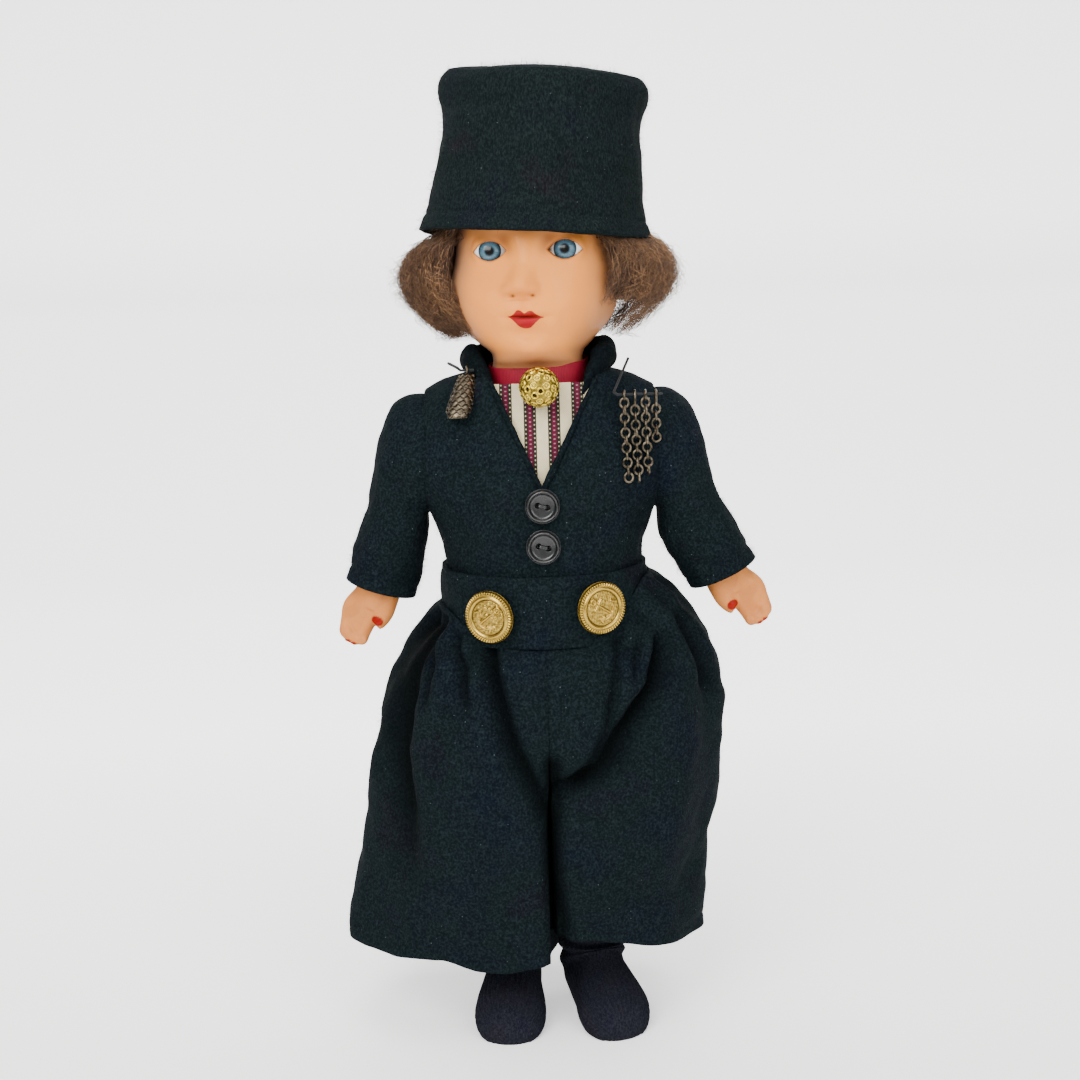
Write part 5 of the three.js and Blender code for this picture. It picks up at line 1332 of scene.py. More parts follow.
@dataclass
class Hat:
    """Tall felt cap with a flared edge, two blunt corners and a soft top."""

    form: HeadForm
    rise: float = 40.8
    roll: float = math.radians(4.0)
    rows: Array = table(
        [0.0, 35.9, 33.4], [3.0, 34.7, 32.2], [6.0, 33.5, 31.2], [10.0, 32.5, 30.2], [16.0, 31.7, 29.5],
        [24.0, 30.9, 28.8], [31.0, 30.2, 28.3], [36.0, 29.9, 28.0], [40.0, 30.0, 28.0],
        [43.0, 29.6, 27.6], [45.0, 28.2, 26.4],
    )
    top: float = 48.3
    lean: float = 1.3
    nap: int = 4800
    wall: float = 1.5

    def place(self, points: Array) -> Array:
        """Points of the cap's frame in the doll's frame."""
        return self.form.place(points @ rotation("Y", self.roll) + np.array([0.0, 0.0, self.rise]))

    def build(self, shop: Shop) -> None:
        """Make the cap and its nap of stray fibres.

        Args:
            shop: Makes and fits the pieces.
        """
        points = self._points()
        patch = Patch.grid(self.place(points), wrap=True, caps=(-1,))
        nodes = ["hat_side", "hat_crown"]
        shop.piece("cap", patch, shop.finishes.felt, "hat", nodes, wall=self.wall)
        fuzz = Fuzz(SEED + 60, self.nap, (0.8, 2.4), 0.028)
        fuzz.build(shop, "cap_nap", self.place(points), shop.finishes.felt, "hat", "felt")

    def _points(self) -> Array:
        """Side rows of the cap, then rings that close its top; ear-like corners swell at the sides.

        Returns:
            Rows of points in the cap's own frame.
        """
        turn = circle(180)
        level = np.concatenate([np.linspace(0.0, 34.0, 56), np.linspace(34.6, 45.0, 30)])
        wide, deep = columns(self.rows, level)
        inward = np.linspace(0.97, 0.02, 26)
        width, depth = (np.concatenate([half, half[-1] * inward])[:, None] for half in (wide, deep))
        height = np.concatenate([level, self.top - (self.top - 45.0) * inward**3])[:, None]
        side = np.abs(np.sin(turn))
        out = np.minimum(width / 28.0, 1.0) ** 2
        corner = bell(side - 1.0, 0.16) * out
        lobe = corner * bell(height - 41.0, 5.6)
        pinch = bell(side - 1.0, 0.12) * bell(height - 31.0, 4.0)
        x = (width + 1.7 * lobe - 0.3 * pinch) * np.sin(turn) + self.lean * (height / 46.0) ** 2
        y = -depth * np.cos(turn)
        z = height + (1.6 - 0.7 * np.sin(turn)) * corner * smoothstep(39.0, 45.0, height)
        points = xyz(x, y, z)
        ripple = 0.45 * waves(points, 24.0, 61) + 0.16 * waves(points, 7.0, 62)
        hem = -0.4 * bell(height - 4.8, 0.6)
        reach = np.linalg.norm(points[..., :2], axis=-1)
        push = (ripple * smoothstep(2.0, 18.0, reach) + hem)[..., None]
        return points + push * xyz(np.sin(turn), -np.cos(turn), 0.0)


@dataclass
class Fuzz:
    """Short stray fibres that stand off a cloth, with a few of pale lint among them."""

    seed: int
    count: int
    length: tuple[float, float] = (0.7, 2.2)
    radius: float = 0.026
    rng: np.random.Generator = field(init=False)

    def __post_init__(self) -> None:
        """Start the random draws."""
        self.rng = np.random.default_rng(self.seed)

    def build(self, shop: Shop, name: str, grid: Array, cloth: Material, body: str | None,
              slot: str) -> bpy.types.Object:
        """Make a piece of dark fibres, and a sixth as many pale ones.

        Args:
            shop: Makes and fits the pieces.
            name: The piece's name.
            grid: The cloth's points, rows by columns by three.
            cloth: The cloth's material.
            body: The CAD body it rides on; None for a piece that rides on no body.
            slot: Not used.

        Returns:
            The object.
        """
        pale = self._scattered(grid, self.count // 6, self.radius * 0.8).painted(1)
        patch = Patch.merged([self._scattered(grid, self.count, self.radius).painted(0), pale])
        return shop.piece(name, patch, [cloth, shop.finishes.plain["lint"]], body, tidy=False)

    def _scattered(self, grid: Array, count: int, radius: float) -> Patch:
        """Scatter curled fibres over a grid of points: each leans from the normal and bends as it goes.

        Args:
            grid: Rows by columns by three.
            count: Number of fibres.
            radius: Fibre radius.

        Returns:
            The fibres as thin tubes.
        """
        rng = self.rng
        rows, cols = grid.shape[:2]
        i = rng.integers(0, rows - 1, count)
        j = rng.integers(0, cols - 1, count)
        base, right, up = grid[i, j], grid[i, j + 1] - grid[i, j], grid[i + 1, j] - grid[i, j]
        spot = base + rng.uniform(0, 1, (count, 1)) * right + rng.uniform(0, 1, (count, 1)) * up
        normal = unit(np.cross(right, up))
        centre = grid.reshape(-1, 3).mean(axis=0)
        outward = np.sign(np.sum(normal * (spot - centre), axis=-1, keepdims=True))
        normal = normal * np.where(outward == 0, 1.0, outward)
        lean = unit(rng.normal(size=(count, 3)))
        way = unit(normal * rng.uniform(0.25, 1.0, (count, 1)) + lean * 0.9)
        bend = unit(np.cross(way, rng.normal(size=(count, 3))))
        share = ramp(3)[None, :, None]
        reach = rng.uniform(*self.length, (count, 1))[:, :, None]
        path = spot[:, None] + reach * (share * way[:, None] + 0.35 * share**2 * bend[:, None])
        path = path - 0.15 * normal[:, None]
        return Patch.tubes(path, radius, 3)


@dataclass
class JacketForm:
    """The jacket's outer surface: oval rows that widen to meet the round armholes."""

    rows: Array = table(
        [132.5, 30.5, 27.5], [148.0, 30.5, 27.8], [160.0, 32.0, 28.0], [170.0, 35.7, 27.5],
        [176.1, 41.2, 27.1], [188.0, 49.5, 26.0], [199.9, 44.2, 22.9], [208.5, 35.7, 20.9],
        [211.6, 29.8, 20.2], [213.7, 23.0, 18.8], [215.2, 16.8, 16.8],
    )
    neck_low: float = 178.5
    neck_slope: dict[Side, float] = by_side(0.52, 0.45)

    def size(self, z: Array) -> tuple[Array, Array]:
        """Half width and half depth at a height, joined straight between the rows."""
        return np.interp(z, self.rows[:, 0], self.rows[:, 1]), np.interp(z, self.rows[:, 0], self.rows[:, 2])

    def front(self, x: Array | float, z: Array | float) -> Array:
        """The y of the jacket's front at a place."""
        width, depth = self.size(np.asarray(z, float))
        return -depth * np.sqrt(np.maximum(1.0 - (x / width) ** 2, 0.0))

    def edge(self, z: Array, side: Side) -> Array:
        """How far the open neck's edge stands from the middle on one side."""
        return self.neck_slope[side] * np.maximum(z - self.neck_low, 0.0)


@dataclass
class Jacket:
    """Jacket body, rolled collar and neck edges."""

    form: JacketForm
    nap: int = 3800
    nap_rows: tuple[int, int] = (12, 92)
    wall: float = 1.4
    blend: tuple[float, float] = (212.0, 217.0)

    def build(self, shop: Shop) -> None:
        """Make the body with its collar, and its stray fibres.

        Args:
            shop: Makes and fits the pieces.
        """
        wool = shop.finishes.wool
        body = self._body()
        nodes = ["jacket_front_left", "jacket_front_right", "jacket_back"]
        shop.piece("jacket", Patch.grid(body), wool, "torso", nodes, wall=self.wall)
        collar = Patch.merged([self._collar(), *self._edges()])
        roll = shop.piece("collar", collar, wool, None, ["jacket_collar"])
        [shop.point(0, 0, z) for z in self.blend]
        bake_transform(roll)
        covered = body[slice(*self.nap_rows)]
        Fuzz(SEED + 70, self.nap).build(shop, "jacket_nap", covered, wool, "torso", "wool")

    def _body(self) -> Array:
        """Rows from the waist to the neck, each from one neck edge round the back to the other.

        Returns:
            Points in the doll's own frame.
        """
        z = np.concatenate([np.linspace(133.0, 205.5, 92), np.linspace(206.0, 215.2, 22)])[:, None]
        width, depth = self.form.size(z)
        begin, end = (np.arcsin(np.clip(self.form.edge(z, side) / width, 0.0, 1.0)) for side in Side)
        share = ramp(181)
        angle = begin + share * (TAU - begin - end)
        x, y = width * np.sin(angle), -depth * np.cos(angle)
        points = xyz(x, y, z)
        heading = xyz(np.sin(angle), -np.cos(angle), 0.0)
        folds = 0.5 * waves(points, 26.0, 71) + 0.25 * waves(points, 9.0, 72)
        calm = smoothstep(133.0, 150.0, z) * smoothstep(38.0, 30.0, np.abs(x))
        points = points + (folds * calm)[..., None] * heading
        points[..., 0] = np.clip(points[..., 0], -ARMHOLE_X, ARMHOLE_X)
        return points

    def _collar(self) -> Patch:
        """A soft roll from one lapel up beside the jaw, round the back of the neck and down again.

        Returns:
            The patch.
        """
        keys = np.array([
            [0.0, -13.2, -17.2, 206.5, 0.5, 0.8], [0.08, -15.4, -14.8, 210.5, 1.7, 2.0],
            [0.16, -18.2, -10.6, 214.2, 2.8, 3.2], [0.25, -20.0, -4.5, 217.2, 3.4, 4.2],
            [0.35, -20.4, 6.0, 217.4, 3.2, 4.4], [0.5, 0.0, 20.8, 217.0, 3.0, 4.4],
        ])
        other = keys[-2::-1] * np.array([1.0, -1.0, 1.0, 1.0, 1.1, 1.1])
        other[:, 0] = 1.0 - other[:, 0]
        other[:, 3] += 1.2 * smoothstep(209.0, 215.0, other[:, 3])
        keys = np.concatenate([keys, other])
        path = along(keys[:, 0], keys[:, 1:], ramp(150))
        heading = unit(np.gradient(path[:, :3], axis=0))
        out = unit(xyz(path[:, 0], path[:, 1], 0.0))
        out = unit(out - np.sum(out * heading, axis=-1, keepdims=True) * heading)
        up = np.cross(heading, out)
        turn = circle(40)
        thick, tall = path[:, 3, None], path[:, 4, None]
        places = path[:, None, :3] + 4.0 * xyz(np.cos(turn), np.sin(turn), 0.0)
        lumps = 1.0 + 0.13 * waves(places, 9.0, 73)
        points = (
            path[:, None, :3]
            + (lumps * thick * np.cos(turn))[..., None] * out[:, None]
            + (lumps * tall * np.sin(turn))[..., None] * up[:, None]
        )
        # Painted shade: the whole roll is darkened through the shade attribute.
        dark = {"shade": np.full(points.shape[:2], 0.45)}
        return Patch.grid(points, wrap=True, caps=(0, -1), tags=dark)

    def _edges(self) -> list[Patch]:
        """A narrow turned edge down each side of the open neck.

        Returns:
            One patch of both edges.
        """
        z = np.linspace(self.form.neck_low - 0.6, 211.0, 60)
        across = np.stack([side.value * self.form.edge(z, side) for side in Side])
        paths = xyz(across, self.form.front(across, z) - 0.1, np.broadcast_to(z, across.shape))
        radius = 0.85 + 0.12 * waves(paths, 6.0, 74)
        # Painted shade: both edges are a little darker through the shade attribute.
        return [Patch.tubes(paths, radius, 12, tags={"shade": np.full(len(paths), 0.2)})]


@dataclass
class Sleeve:
    """One wide sleeve, sewn into the armhole, with a turned hem."""

    side: Side
    spread: dict[Side, float] = by_side(25.0, 17.5)
    length: float = 40.0
    hem_width: float = 23.0
    hole: float = 18.0
    nap: int = 1500
    nap_from: int = 46
    wall: float = 1.3

    @property
    def angle(self) -> float:
        """Angle of the sleeve out from straight down."""
        return math.radians(self.spread[self.side])

    @property
    def hem(self) -> Array:
        """Middle of the hem, out from the armhole and up from the shoulder."""
        return np.array([4.5 + self.length * math.sin(self.angle),
                         -4.0 - self.length * math.cos(self.angle)])

    def build(self, shop: Shop) -> None:
        """Make the sleeve and its stray fibres.

        Args:
            shop: Makes and fits the pieces.
        """
        points = self._points()
        body = self.side.node("arm")
        wool, nodes = shop.finishes.wool, [self.side.node("sleeve")]
        patch = Patch.grid(points, wrap=True)
        shop.piece(self.side.node("jacket_sleeve"), patch, wool, body, nodes, wall=self.wall)
        fuzz = Fuzz(SEED + 80 + self.side.value, self.nap, (0.7, 2.0))
        fuzz.build(shop, self.side.node("sleeve_nap"), points[self.nap_from:], wool, body, "wool")

    def _points(self) -> Array:
        """Oval rings between an inner and an outer line, from the armhole to the hem.

        Returns:
            Points in the doll's own frame.
        """
        hole, hem = self.hole, self.hem
        half = self.hem_width / 2 * np.array([math.cos(self.angle), math.sin(self.angle)])
        low = np.array([0.9, -hole - 9.0, 18.0, -hole * 0.5, 13.5])
        end = np.array([*(hem - half), *(hem + half), 11.5])
        rows = np.array([
            [-1.2, -hole + 0.5, -1.0, hole + 1.3, hole - 0.5],
            [0.2, -hole - 0.8, 5.2, hole + 0.7, hole - 0.6],
            [0.3, -hole - 2.2, 11.4, hole - 4.8, hole - 1.8],
            [0.4, -hole - 4.6, 15.2, hole - 13.5, hole - 3.4],
            low, (low + end) / 2, end,
        ])
        keys = np.array([0.0, 0.12, 0.24, 0.36, 0.52, 0.76, 1.0])
        share = ramp(84)
        inner_x, inner_z, outer_x, outer_z, depth = np.moveaxis(along(keys, rows, share)[:, None, :], -1, 0)
        turn = circle(96)
        x = ARMHOLE_X + CLOTH_GAP + (inner_x + outer_x) / 2 + np.cos(turn) * (outer_x - inner_x) / 2
        z = SHOULDER_Z + (inner_z + outer_z) / 2 + np.cos(turn) * (outer_z - inner_z) / 2
        y = depth * np.sin(turn)
        points = xyz(self.side.value * x, y, z)
        middle = points.mean(axis=1, keepdims=True)
        heading = unit(points - middle)
        down = share[:, None] + 0 * turn
        folds = 0.6 * waves(points, 19.0, 81) + 0.22 * waves(points, 7.0, 82)
        push = folds * smoothstep(0.0, 0.2, down) * smoothstep(1.02, 0.9, down)
        push = push - 0.4 * bell(down - 0.93, 0.012) - 0.35 * bell(down, 0.02)
        return points + push[..., None] * heading


@dataclass
class Trousers:
    """One wide trouser leg from the waistband to its hem, gathered at the side."""

    side: Side
    outline: dict[Side, Array] = by_side(
        np.array([
            [26.0, 48.6], [42.0, 49.4], [51.0, 49.4], [77.0, 53.8], [98.0, 55.0], [110.0, 55.2],
            [123.0, 54.0], [133.0, 49.4], [141.5, 42.8], [149.5, 33.6],
        ]),
        np.array([
            [26.0, 68.0], [30.0, 67.7], [58.0, 62.0], [89.5, 57.0], [110.0, 53.2], [120.0, 50.1],
            [128.0, 45.5], [135.0, 39.4], [141.0, 33.6],
        ]),
    )
    hem: dict[Side, tuple[Any, ...]] = by_side(
        ((-1.57, -1.38, -1.07, -0.6, 0.0, 1.57), (11.0, 11.0, 8.0, 5.0, 4.0, 3.0)),
        ((-1.57, -1.42, -1.28, -1.1, -0.8, 0.0, 1.57), (3.0, 1.0, 1.5, 4.5, 4.5, 4.0, 3.0)),
    )
    creases: dict[Side, tuple[Any, ...]] = by_side(
        (
            (((23.0, 135.0), (21.3, 124.0), (18.2, 107.0), (13.8, 96.7), (7.0, 89.5), (0.5, 86.0)), 2.0,
             1.5, 1.6),
            (((36.5, 133.0), (33.7, 119.7), (28.1, 112.5), (22.5, 105.4), (16.7, 95.2), (7.0, 88.5),
              (0.5, 85.0)),
             5.5, 2.4, 4.2),
            (((42.0, 140.0), (45.5, 131.0), (49.0, 123.0), (52.0, 112.0)), 3.4, 2.2, 2.0),
            (((28.5, 134.0), (28.0, 126.0), (26.5, 119.0)), 2.0, 1.4, 1.4),
            (((0.8, 98.0), (1.6, 84.0), (0.3, 71.0), (0.9, 56.0), (2.6, 41.0), (1.0, 24.0)), 5.0, 2.6, 2.6),
        ),
        (
            (((-17.6, 135.0), (-16.9, 125.0), (-15.0, 117.0), (-12.7, 108.0), (-10.1, 99.6), (-6.5, 92.0),
              (-2.8, 85.0), (-0.5, 76.0)), 4.6, 3.4, 2.2),
            (((-36.0, 139.0), (-41.0, 131.0), (-45.0, 121.0), (-47.5, 110.0), (-48.5, 99.0), (-46.5, 84.0),
              (-44.5, 66.0), (-43.0, 48.0)), 6.0, 6.0, 4.6, 46.0),
            (((-29.0, 135.0), (-26.8, 125.0), (-25.5, 112.0)), 2.8, 1.4, 2.0),
            (((-37.5, 134.0), (-37.0, 124.0), (-38.0, 112.0)), 2.4, 1.6, 1.6),
            (((0.8, 98.0), (1.0, 84.0), (-0.3, 71.0), (0.5, 56.0), (1.6, 41.0), (1.0, 24.0)), 5.0, 2.6, 2.6),
        ),
    )
    bulge: dict[Side, tuple[Any, ...]] = by_side((30.0, 88.0, 2.2), (-21.0, 84.0, 1.6))
    top: float = 133.0
    low: float = 26.0
    nap: int = 3000
    wall: float = 1.5
    bend_x: float = 25.0
    bend: tuple[float, float] = (122.0, 77.0)

    def build(self, shop: Shop) -> None:
        """Make the leg and its stray fibres.

        Args:
            shop: Makes and fits the pieces.
        """
        points, shade = self._points()
        torso, leg = "torso", self.side.node("leg")
        nodes = [self.side.node("trouser_hip"), self.side.node("trouser_leg")]
        patch = Patch.grid(points, wrap=True, tags={"shade": shade})
        wool = shop.finishes.wool
        cloth = shop.piece(self.side.node("trousers"), patch, wool, None, nodes, wall=self.wall)
        start, end = (shop.point(self.side.value * self.bend_x, 0, z) for z in self.bend)
        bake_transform(cloth)
        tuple(start)
        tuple(end)
        fuzz = Fuzz(SEED + 90 + self.side.value, self.nap)
        nap = fuzz.build(shop, self.side.node("trouser_nap"), points, wool, None, "wool")
        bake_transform(nap)
        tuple(start)
        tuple(end)

    def _valley(self, x: Array, z: Array, path: Sequence[tuple[float, float]], inner: float, outer: float,
                fade: float = 6.0) -> Array:
        """A valley along a line on the front, with its own width on each side.

        Args:
            x: Places across.
            z: Heights.
            path: The line as x and z, from its top down.
            inner: Width on the side of smaller x.
            outer: Width on the side of larger x.
            fade: Height above the lower end where the valley has its full depth.

        Returns:
            One along the line, falling to nothing beside it and past its ends.
        """
        line = np.array(path)[::-1]
        where = np.interp(z, line[:, 1], line[:, 0])
        slope = np.interp(z, line[:, 1], np.gradient(line[:, 0], line[:, 1]))
        off = (x - where) / np.sqrt(1.0 + slope**2)
        ends = smoothstep(line[0, 1] - 4.0, line[0, 1] + fade, z)
        ends = ends * smoothstep(line[-1, 1] + 3.0, line[-1, 1] - 5.0, z)
        return bell(off, np.where(off < 0, inner, outer)) * ends

    def _folds(self, x: Array, y: Array, z: Array, turn: Array, drop: Array) -> tuple[Array, Array]:
        """Outward push of the cloth from gathers, long folds, creases and a bulge, and the painted shade in
        its gathers and creases.

        Args:
            x: Places across.
            y: Places from front to back.
            z: Heights.
            turn: Angles round the leg from its side.
            drop: Distances below the waist.

        Returns:
            The push and the shade, one value a place.
        """
        front = smoothstep(4.0, -5.0, y)
        side = smoothstep(1.35, 1.0, np.abs(turn))
        wander = 0.5 * np.sin(0.07 * z + 3.0 * turn)
        pleat = np.cos(21.0 * turn + wander)
        fade = np.exp(-drop / 15.0) * smoothstep(0.0, 4.0, drop)
        push = 1.3 * side * pleat * fade
        push = push + 1.2 * side * np.cos(8.0 * turn + 0.8 + wander) * smoothstep(8.0, 34.0, drop)
        across, up, swell = self.bulge[self.side]
        push = push + swell * front * bell(x - across, 17.0) * bell(z - up, 34.0)
        # Painted shade in the hollows of the gathers.
        shade = 0.4 * side * fade * smoothstep(0.2, -1.0, pleat)
        # Each crease sinks the cloth and darkens it with painted shade.
        for path, depth, inner, outer, *fade in self.creases[self.side]:
            valley = front * self._valley(x, z, path, inner, outer, *fade)
            push = push - depth * valley
            shade = np.maximum(shade, min(0.9, 0.4 + 0.09 * depth) * valley)
        return push, shade

    def _points(self) -> tuple[Array, Array]:
        """Rings from waist to hem: a squarish arc from the front seam to the back, then the inner seam.

        Returns:
            Points in the doll's own frame, and their shade.
        """
        sign, outline = self.side.value, self.outline[self.side]
        peak = outline[-1, 0]
        turn = np.linspace(-math.pi / 2, math.pi / 2, 160)
        share = np.concatenate([np.linspace(0.0, 0.36, 64), np.linspace(0.368, 1.0, 66)])[:, None]
        top = self.top + (peak - self.top) * smoothstep(1.2, 0.3, np.abs(turn))
        z = top + share * (self.low + np.interp(turn, *self.hem[self.side]) - top)
        drop = top - z
        level = z + (peak - top) * np.exp(-drop / 12.0)
        (outer,) = columns(outline, level)
        tuck = 2.2 * smoothstep(1.0, 1.3, np.abs(turn)) * smoothstep(5.0, 1.5, drop)
        depth = 30.4 - tuck + 2.7 * smoothstep(0.0, 16.0, drop) - 1.8 * smoothstep(60.0, 105.0, drop)
        power = 2.0 / (2.0 + 0.4 * smoothstep(0.0, 14.0, drop))
        groove = smoothstep(92.0, 70.0, z)
        begin = CLOTH_GAP * smoothstep(98.0, 88.0, z) + groove
        x = begin + (outer - begin) * signed_power(np.cos(turn), power)
        y = depth * signed_power(np.sin(turn), power)
        base = xyz(sign * x, y, z)
        push, shade = self._folds(sign * x, y, z, turn, drop)
        push = push + 0.5 * waves(base, 24.0, 91) + 0.2 * waves(base, 8.0, 92)
        hem = bell((1.0 - share) * 100.0 - 3.2, 0.5)
        push = push * smoothstep(0.0, 3.0, drop) - 0.35 * hem
        heading = xyz(sign * np.cos(turn), np.sin(turn), 0.0)
        arc = base + push[..., None] * heading
        arc[..., 0] = sign * np.maximum(sign * arc[..., 0], CLOTH_GAP * smoothstep(98.0, 88.0, z))
        back = np.linspace(1.0, -1.0, 36)[1:-1]
        run = ((1.0 - back) / 2.0)[None, :, None]
        seam = arc[:, -1:] + run * (arc[:, :1] - arc[:, -1:])
        split = smoothstep(96.0, 80.0, seam[..., 2])
        weave = sign * 2.2 * np.sin(9.0 * back) * (1.0 - back**2) * split
        seam[..., 0] = sign * (CLOTH_GAP * split + weave + groove[:, :1] * np.abs(back) ** 5)
        # Painted shade: the inner seam between the legs is darkened evenly.
        shade = np.concatenate([shade, np.full(seam.shape[:2], 0.6)], axis=1)
        return np.concatenate([arc, seam], axis=1), shade


@dataclass
class Waistband:
    """Stiff band round the waist with a groove near each edge and the two gilt buttons."""

    low: float = 131.0
    high: float = 153.0
    button: dict[Side, tuple[Any, ...]] = by_side((15.4, 143.3, -1.0), (15.4, 141.4, 0.9))
    width: float = 32.6
    depth: float = 29.7
    wall: float = 1.6
    nap: int = 500

    def build(self, shop: Shop) -> None:
        """Make the band, its nap and the buttons.

        Args:
            shop: Makes and fits the pieces.
        """
        z = np.linspace(self.low, self.high, 40)[:, None]
        turn = circle(220)
        swell = 0.5 * bell(z - 142.0, 8.0)
        x, y = (self.width + swell) * np.sin(turn), -(self.depth + swell) * np.cos(turn)
        points = xyz(x, y, z)
        push = 0.35 * waves(points, 15.0, 95) + 0.15 * waves(points, 5.0, 96)
        push = push - 0.3 * bell(z - self.low - 2.0, 0.5) - 0.25 * bell(z - self.high + 1.6, 0.5)
        points = points + push[..., None] * xyz(np.sin(turn), -np.cos(turn), 0.0)
        wool = shop.finishes.wool
        shop.piece("waistband", Patch.grid(points, wrap=True), wool, "torso", ["trouser_waistband"],
                   wall=self.wall)
        fuzz = Fuzz(SEED + 95, self.nap, (0.7, 2.0))
        fuzz.build(shop, "waistband_nap", points, wool, "torso", "wool")
        for side in Side:
            self._button(shop, side)

    def _button(self, shop: Shop, side: Side) -> None:
        """One button, turned on its shank as it was sewn, square to the band.

        Args:
            shop: Makes and fits the pieces.
            side: The doll's own side.
        """
        across, z, spin = self.button[side]
        x = side.value * across
        y = -self.depth * math.sqrt(1.0 - (x / self.width) ** 2)
        facing = math.atan2(x / self.width**2, -y / self.depth**2)
        patch = GiltButton().patch()
        patch.moved(rotation("Y", spin) @ rotation("Z", facing), (x, y, z))
        shop.piece(side.node("gilt_button"), patch, shop.finishes.gilt, "torso",
                   [side.node("waist_button")])


@dataclass
class GiltButton:
    """A gilt button with a reeded rim and a plain anchor, looking along -Y from its shank's foot."""

    radius: float = 8.0
    reeds: int = 56
    face: float = 4.6

    def patch(self) -> Patch:
        """Front as a polar height field, then the rim, the back and the shank.

        Returns:
            The patch.
        """
        radius = ramp(96) ** 0.9 * self.radius
        turn = circle(336)
        turns, radii = np.meshgrid(turn, radius)
        height, high = self._relief(radii, turns)
        profile = np.array([[8.0, 3.6], [7.9, 3.0], [7.0, 2.3], [5.0, 2.0], [1.6, 1.9], [1.6, 0.3],
                            [0.02, 0.3]])
        reach = np.concatenate([radii, np.repeat(profile[:, :1], len(turn), axis=1)])
        lift = np.concatenate([height, np.repeat(profile[:, 1:], len(turn), axis=1)])
        bright = np.concatenate([high, np.full((len(profile), len(turn)), 0.35)])
        spin = np.concatenate([turns, np.repeat(turn[None], len(profile), axis=0)])
        points = xyz(reach * np.cos(spin), -lift, reach * np.sin(spin))
        return Patch.grid(points, wrap=True, tags={"high": bright})

    def _relief(self, radius: Array, turn: Array) -> tuple[Array, Array]:
        """Height of the front and how much it is rubbed bright.

        Args:
            radius: Distances from the middle.
            turn: Angles round.

        Returns:
            The height and the brightness, one value a place.
        """
        x, z = radius * np.cos(turn), radius * np.sin(turn)
        rim = smoothstep(6.7, 7.0, radius) * smoothstep(8.05, 7.7, radius)
        reeds = 0.5 + 0.5 * np.cos(self.reeds * turn + 1.5 * radius)
        moulding = bell(radius - 6.1, 0.55)
        step = bell(radius - 5.35, 0.2)
        anchor = smoothstep(0.5, 0.15, self._anchor(x / 1.12, z / 1.12))
        places = xyz(x, z, 0.0)
        stipple = waves(places, 0.7, 97) * smoothstep(5.3, 5.0, radius) * (1.0 - anchor)
        dome = self.face - 0.55 + 0.5 * (1.0 - (radius / self.radius) ** 2)
        height = dome + rim * (0.2 + 0.3 * reeds) + 0.45 * moulding - 0.15 * step
        height = height + 0.5 * anchor + 0.06 * stipple - 0.9 * smoothstep(7.6, 8.0, radius)
        high = 0.45 + 0.5 * anchor + 0.3 * moulding + rim * (0.9 * reeds - 0.4) - 0.4 * step + 0.12 * stipple
        return height, np.clip(high, 0.0, 1.0)

    def _anchor(self, x: Array, z: Array) -> Array:
        """Distance from a plain anchor: ring, shank, stock, curved arms and two flukes.

        Args:
            x: Places across.
            z: Heights.

        Returns:
            Distances.
        """
        def line(ax: float, az: float, bx: float, bz: float) -> Array:
            """Distance from a straight bar.

            Args:
                ax: Across, at its start.
                az: Up, at its start.
                bx: Across, at its end.
                bz: Up, at its end.

            Returns:
                One value a place.
            """
            run = ((x - ax) * (bx - ax) + (z - az) * (bz - az)) / ((bx - ax) ** 2 + (bz - az) ** 2)
            run = np.clip(run, 0.0, 1.0)
            return np.hypot(x - ax - run * (bx - ax), z - az - run * (bz - az))

        ring = np.abs(np.hypot(x, z - 3.55) - 0.7)
        arms = np.where(z < -1.0, np.abs(np.hypot(x, z + 0.2) - 2.9), 9.0)
        parts = [ring, line(0, 2.8, 0, -3.2), line(-1.7, 1.9, 1.7, 1.9), arms]
        for sign in (1, -1):
            parts += [line(sign * 2.85, -0.9, sign * 3.3, -2.0), line(sign * 2.85, -0.9, sign * 1.9, -1.6)]
        return np.minimum.reduce(parts)


@dataclass
class JacketButton:
    """A two-hole jacket button with its thread, looking along -Y."""

    radius: float = 5.2

    def build(self, shop: Shop, name: str, node: str) -> None:
        """Make the button where the CAD node is.

        Args:
            shop: Makes and fits the pieces.
            name: The piece's name.
            node: The CAD node it stands for.
        """
        low, high = shop.box(node)
        centre = (low + high) / 2
        radius = ramp(64) * self.radius
        turn = circle(160)
        turns, radii = np.meshgrid(turn, radius)
        x, z = radii * np.cos(turns), radii * np.sin(turns)
        height = 1.45 + 0.95 * bell(radii - 4.35, 0.6) - 0.35 * bell(radii, 3.0)
        height = height - 1.3 * smoothstep(4.7, 5.2, radii)
        for sign in (1, -1):
            height = height - 1.3 * smoothstep(0.95, 0.6, np.hypot(x - sign * 1.5, z))
        profile = np.array([[5.2, 1.1], [4.7, 0.1], [0.02, 0.0]])
        reach = np.repeat(profile[:, :1], len(turn), axis=1)
        back = xyz(reach * np.cos(turn), -np.repeat(profile[:, 1:], len(turn), 1), reach * np.sin(turn))
        points = np.concatenate([xyz(x, -height, z), back])
        place = (centre[0], high[1], centre[2])
        disc = Patch.grid(points, wrap=True).painted(0).moved(rotation("Y", 0.25), place)
        share = np.linspace(-1.0, 1.0, 15)
        bars = np.stack([
            xyz(1.55 * share, -0.35 - 1.15 * np.sqrt(1.0 - share**4), off)
            for off in (-0.28, 0.0, 0.28)
        ])
        thread = Patch.tubes(bars, 0.2, 6).painted(1).moved(rotation("Y", 0.25), place)
        materials = [shop.finishes.plain["horn"], shop.finishes.plain["thread"]]
        shop.piece(name, Patch.merged([disc, thread]), materials, "torso", [node])


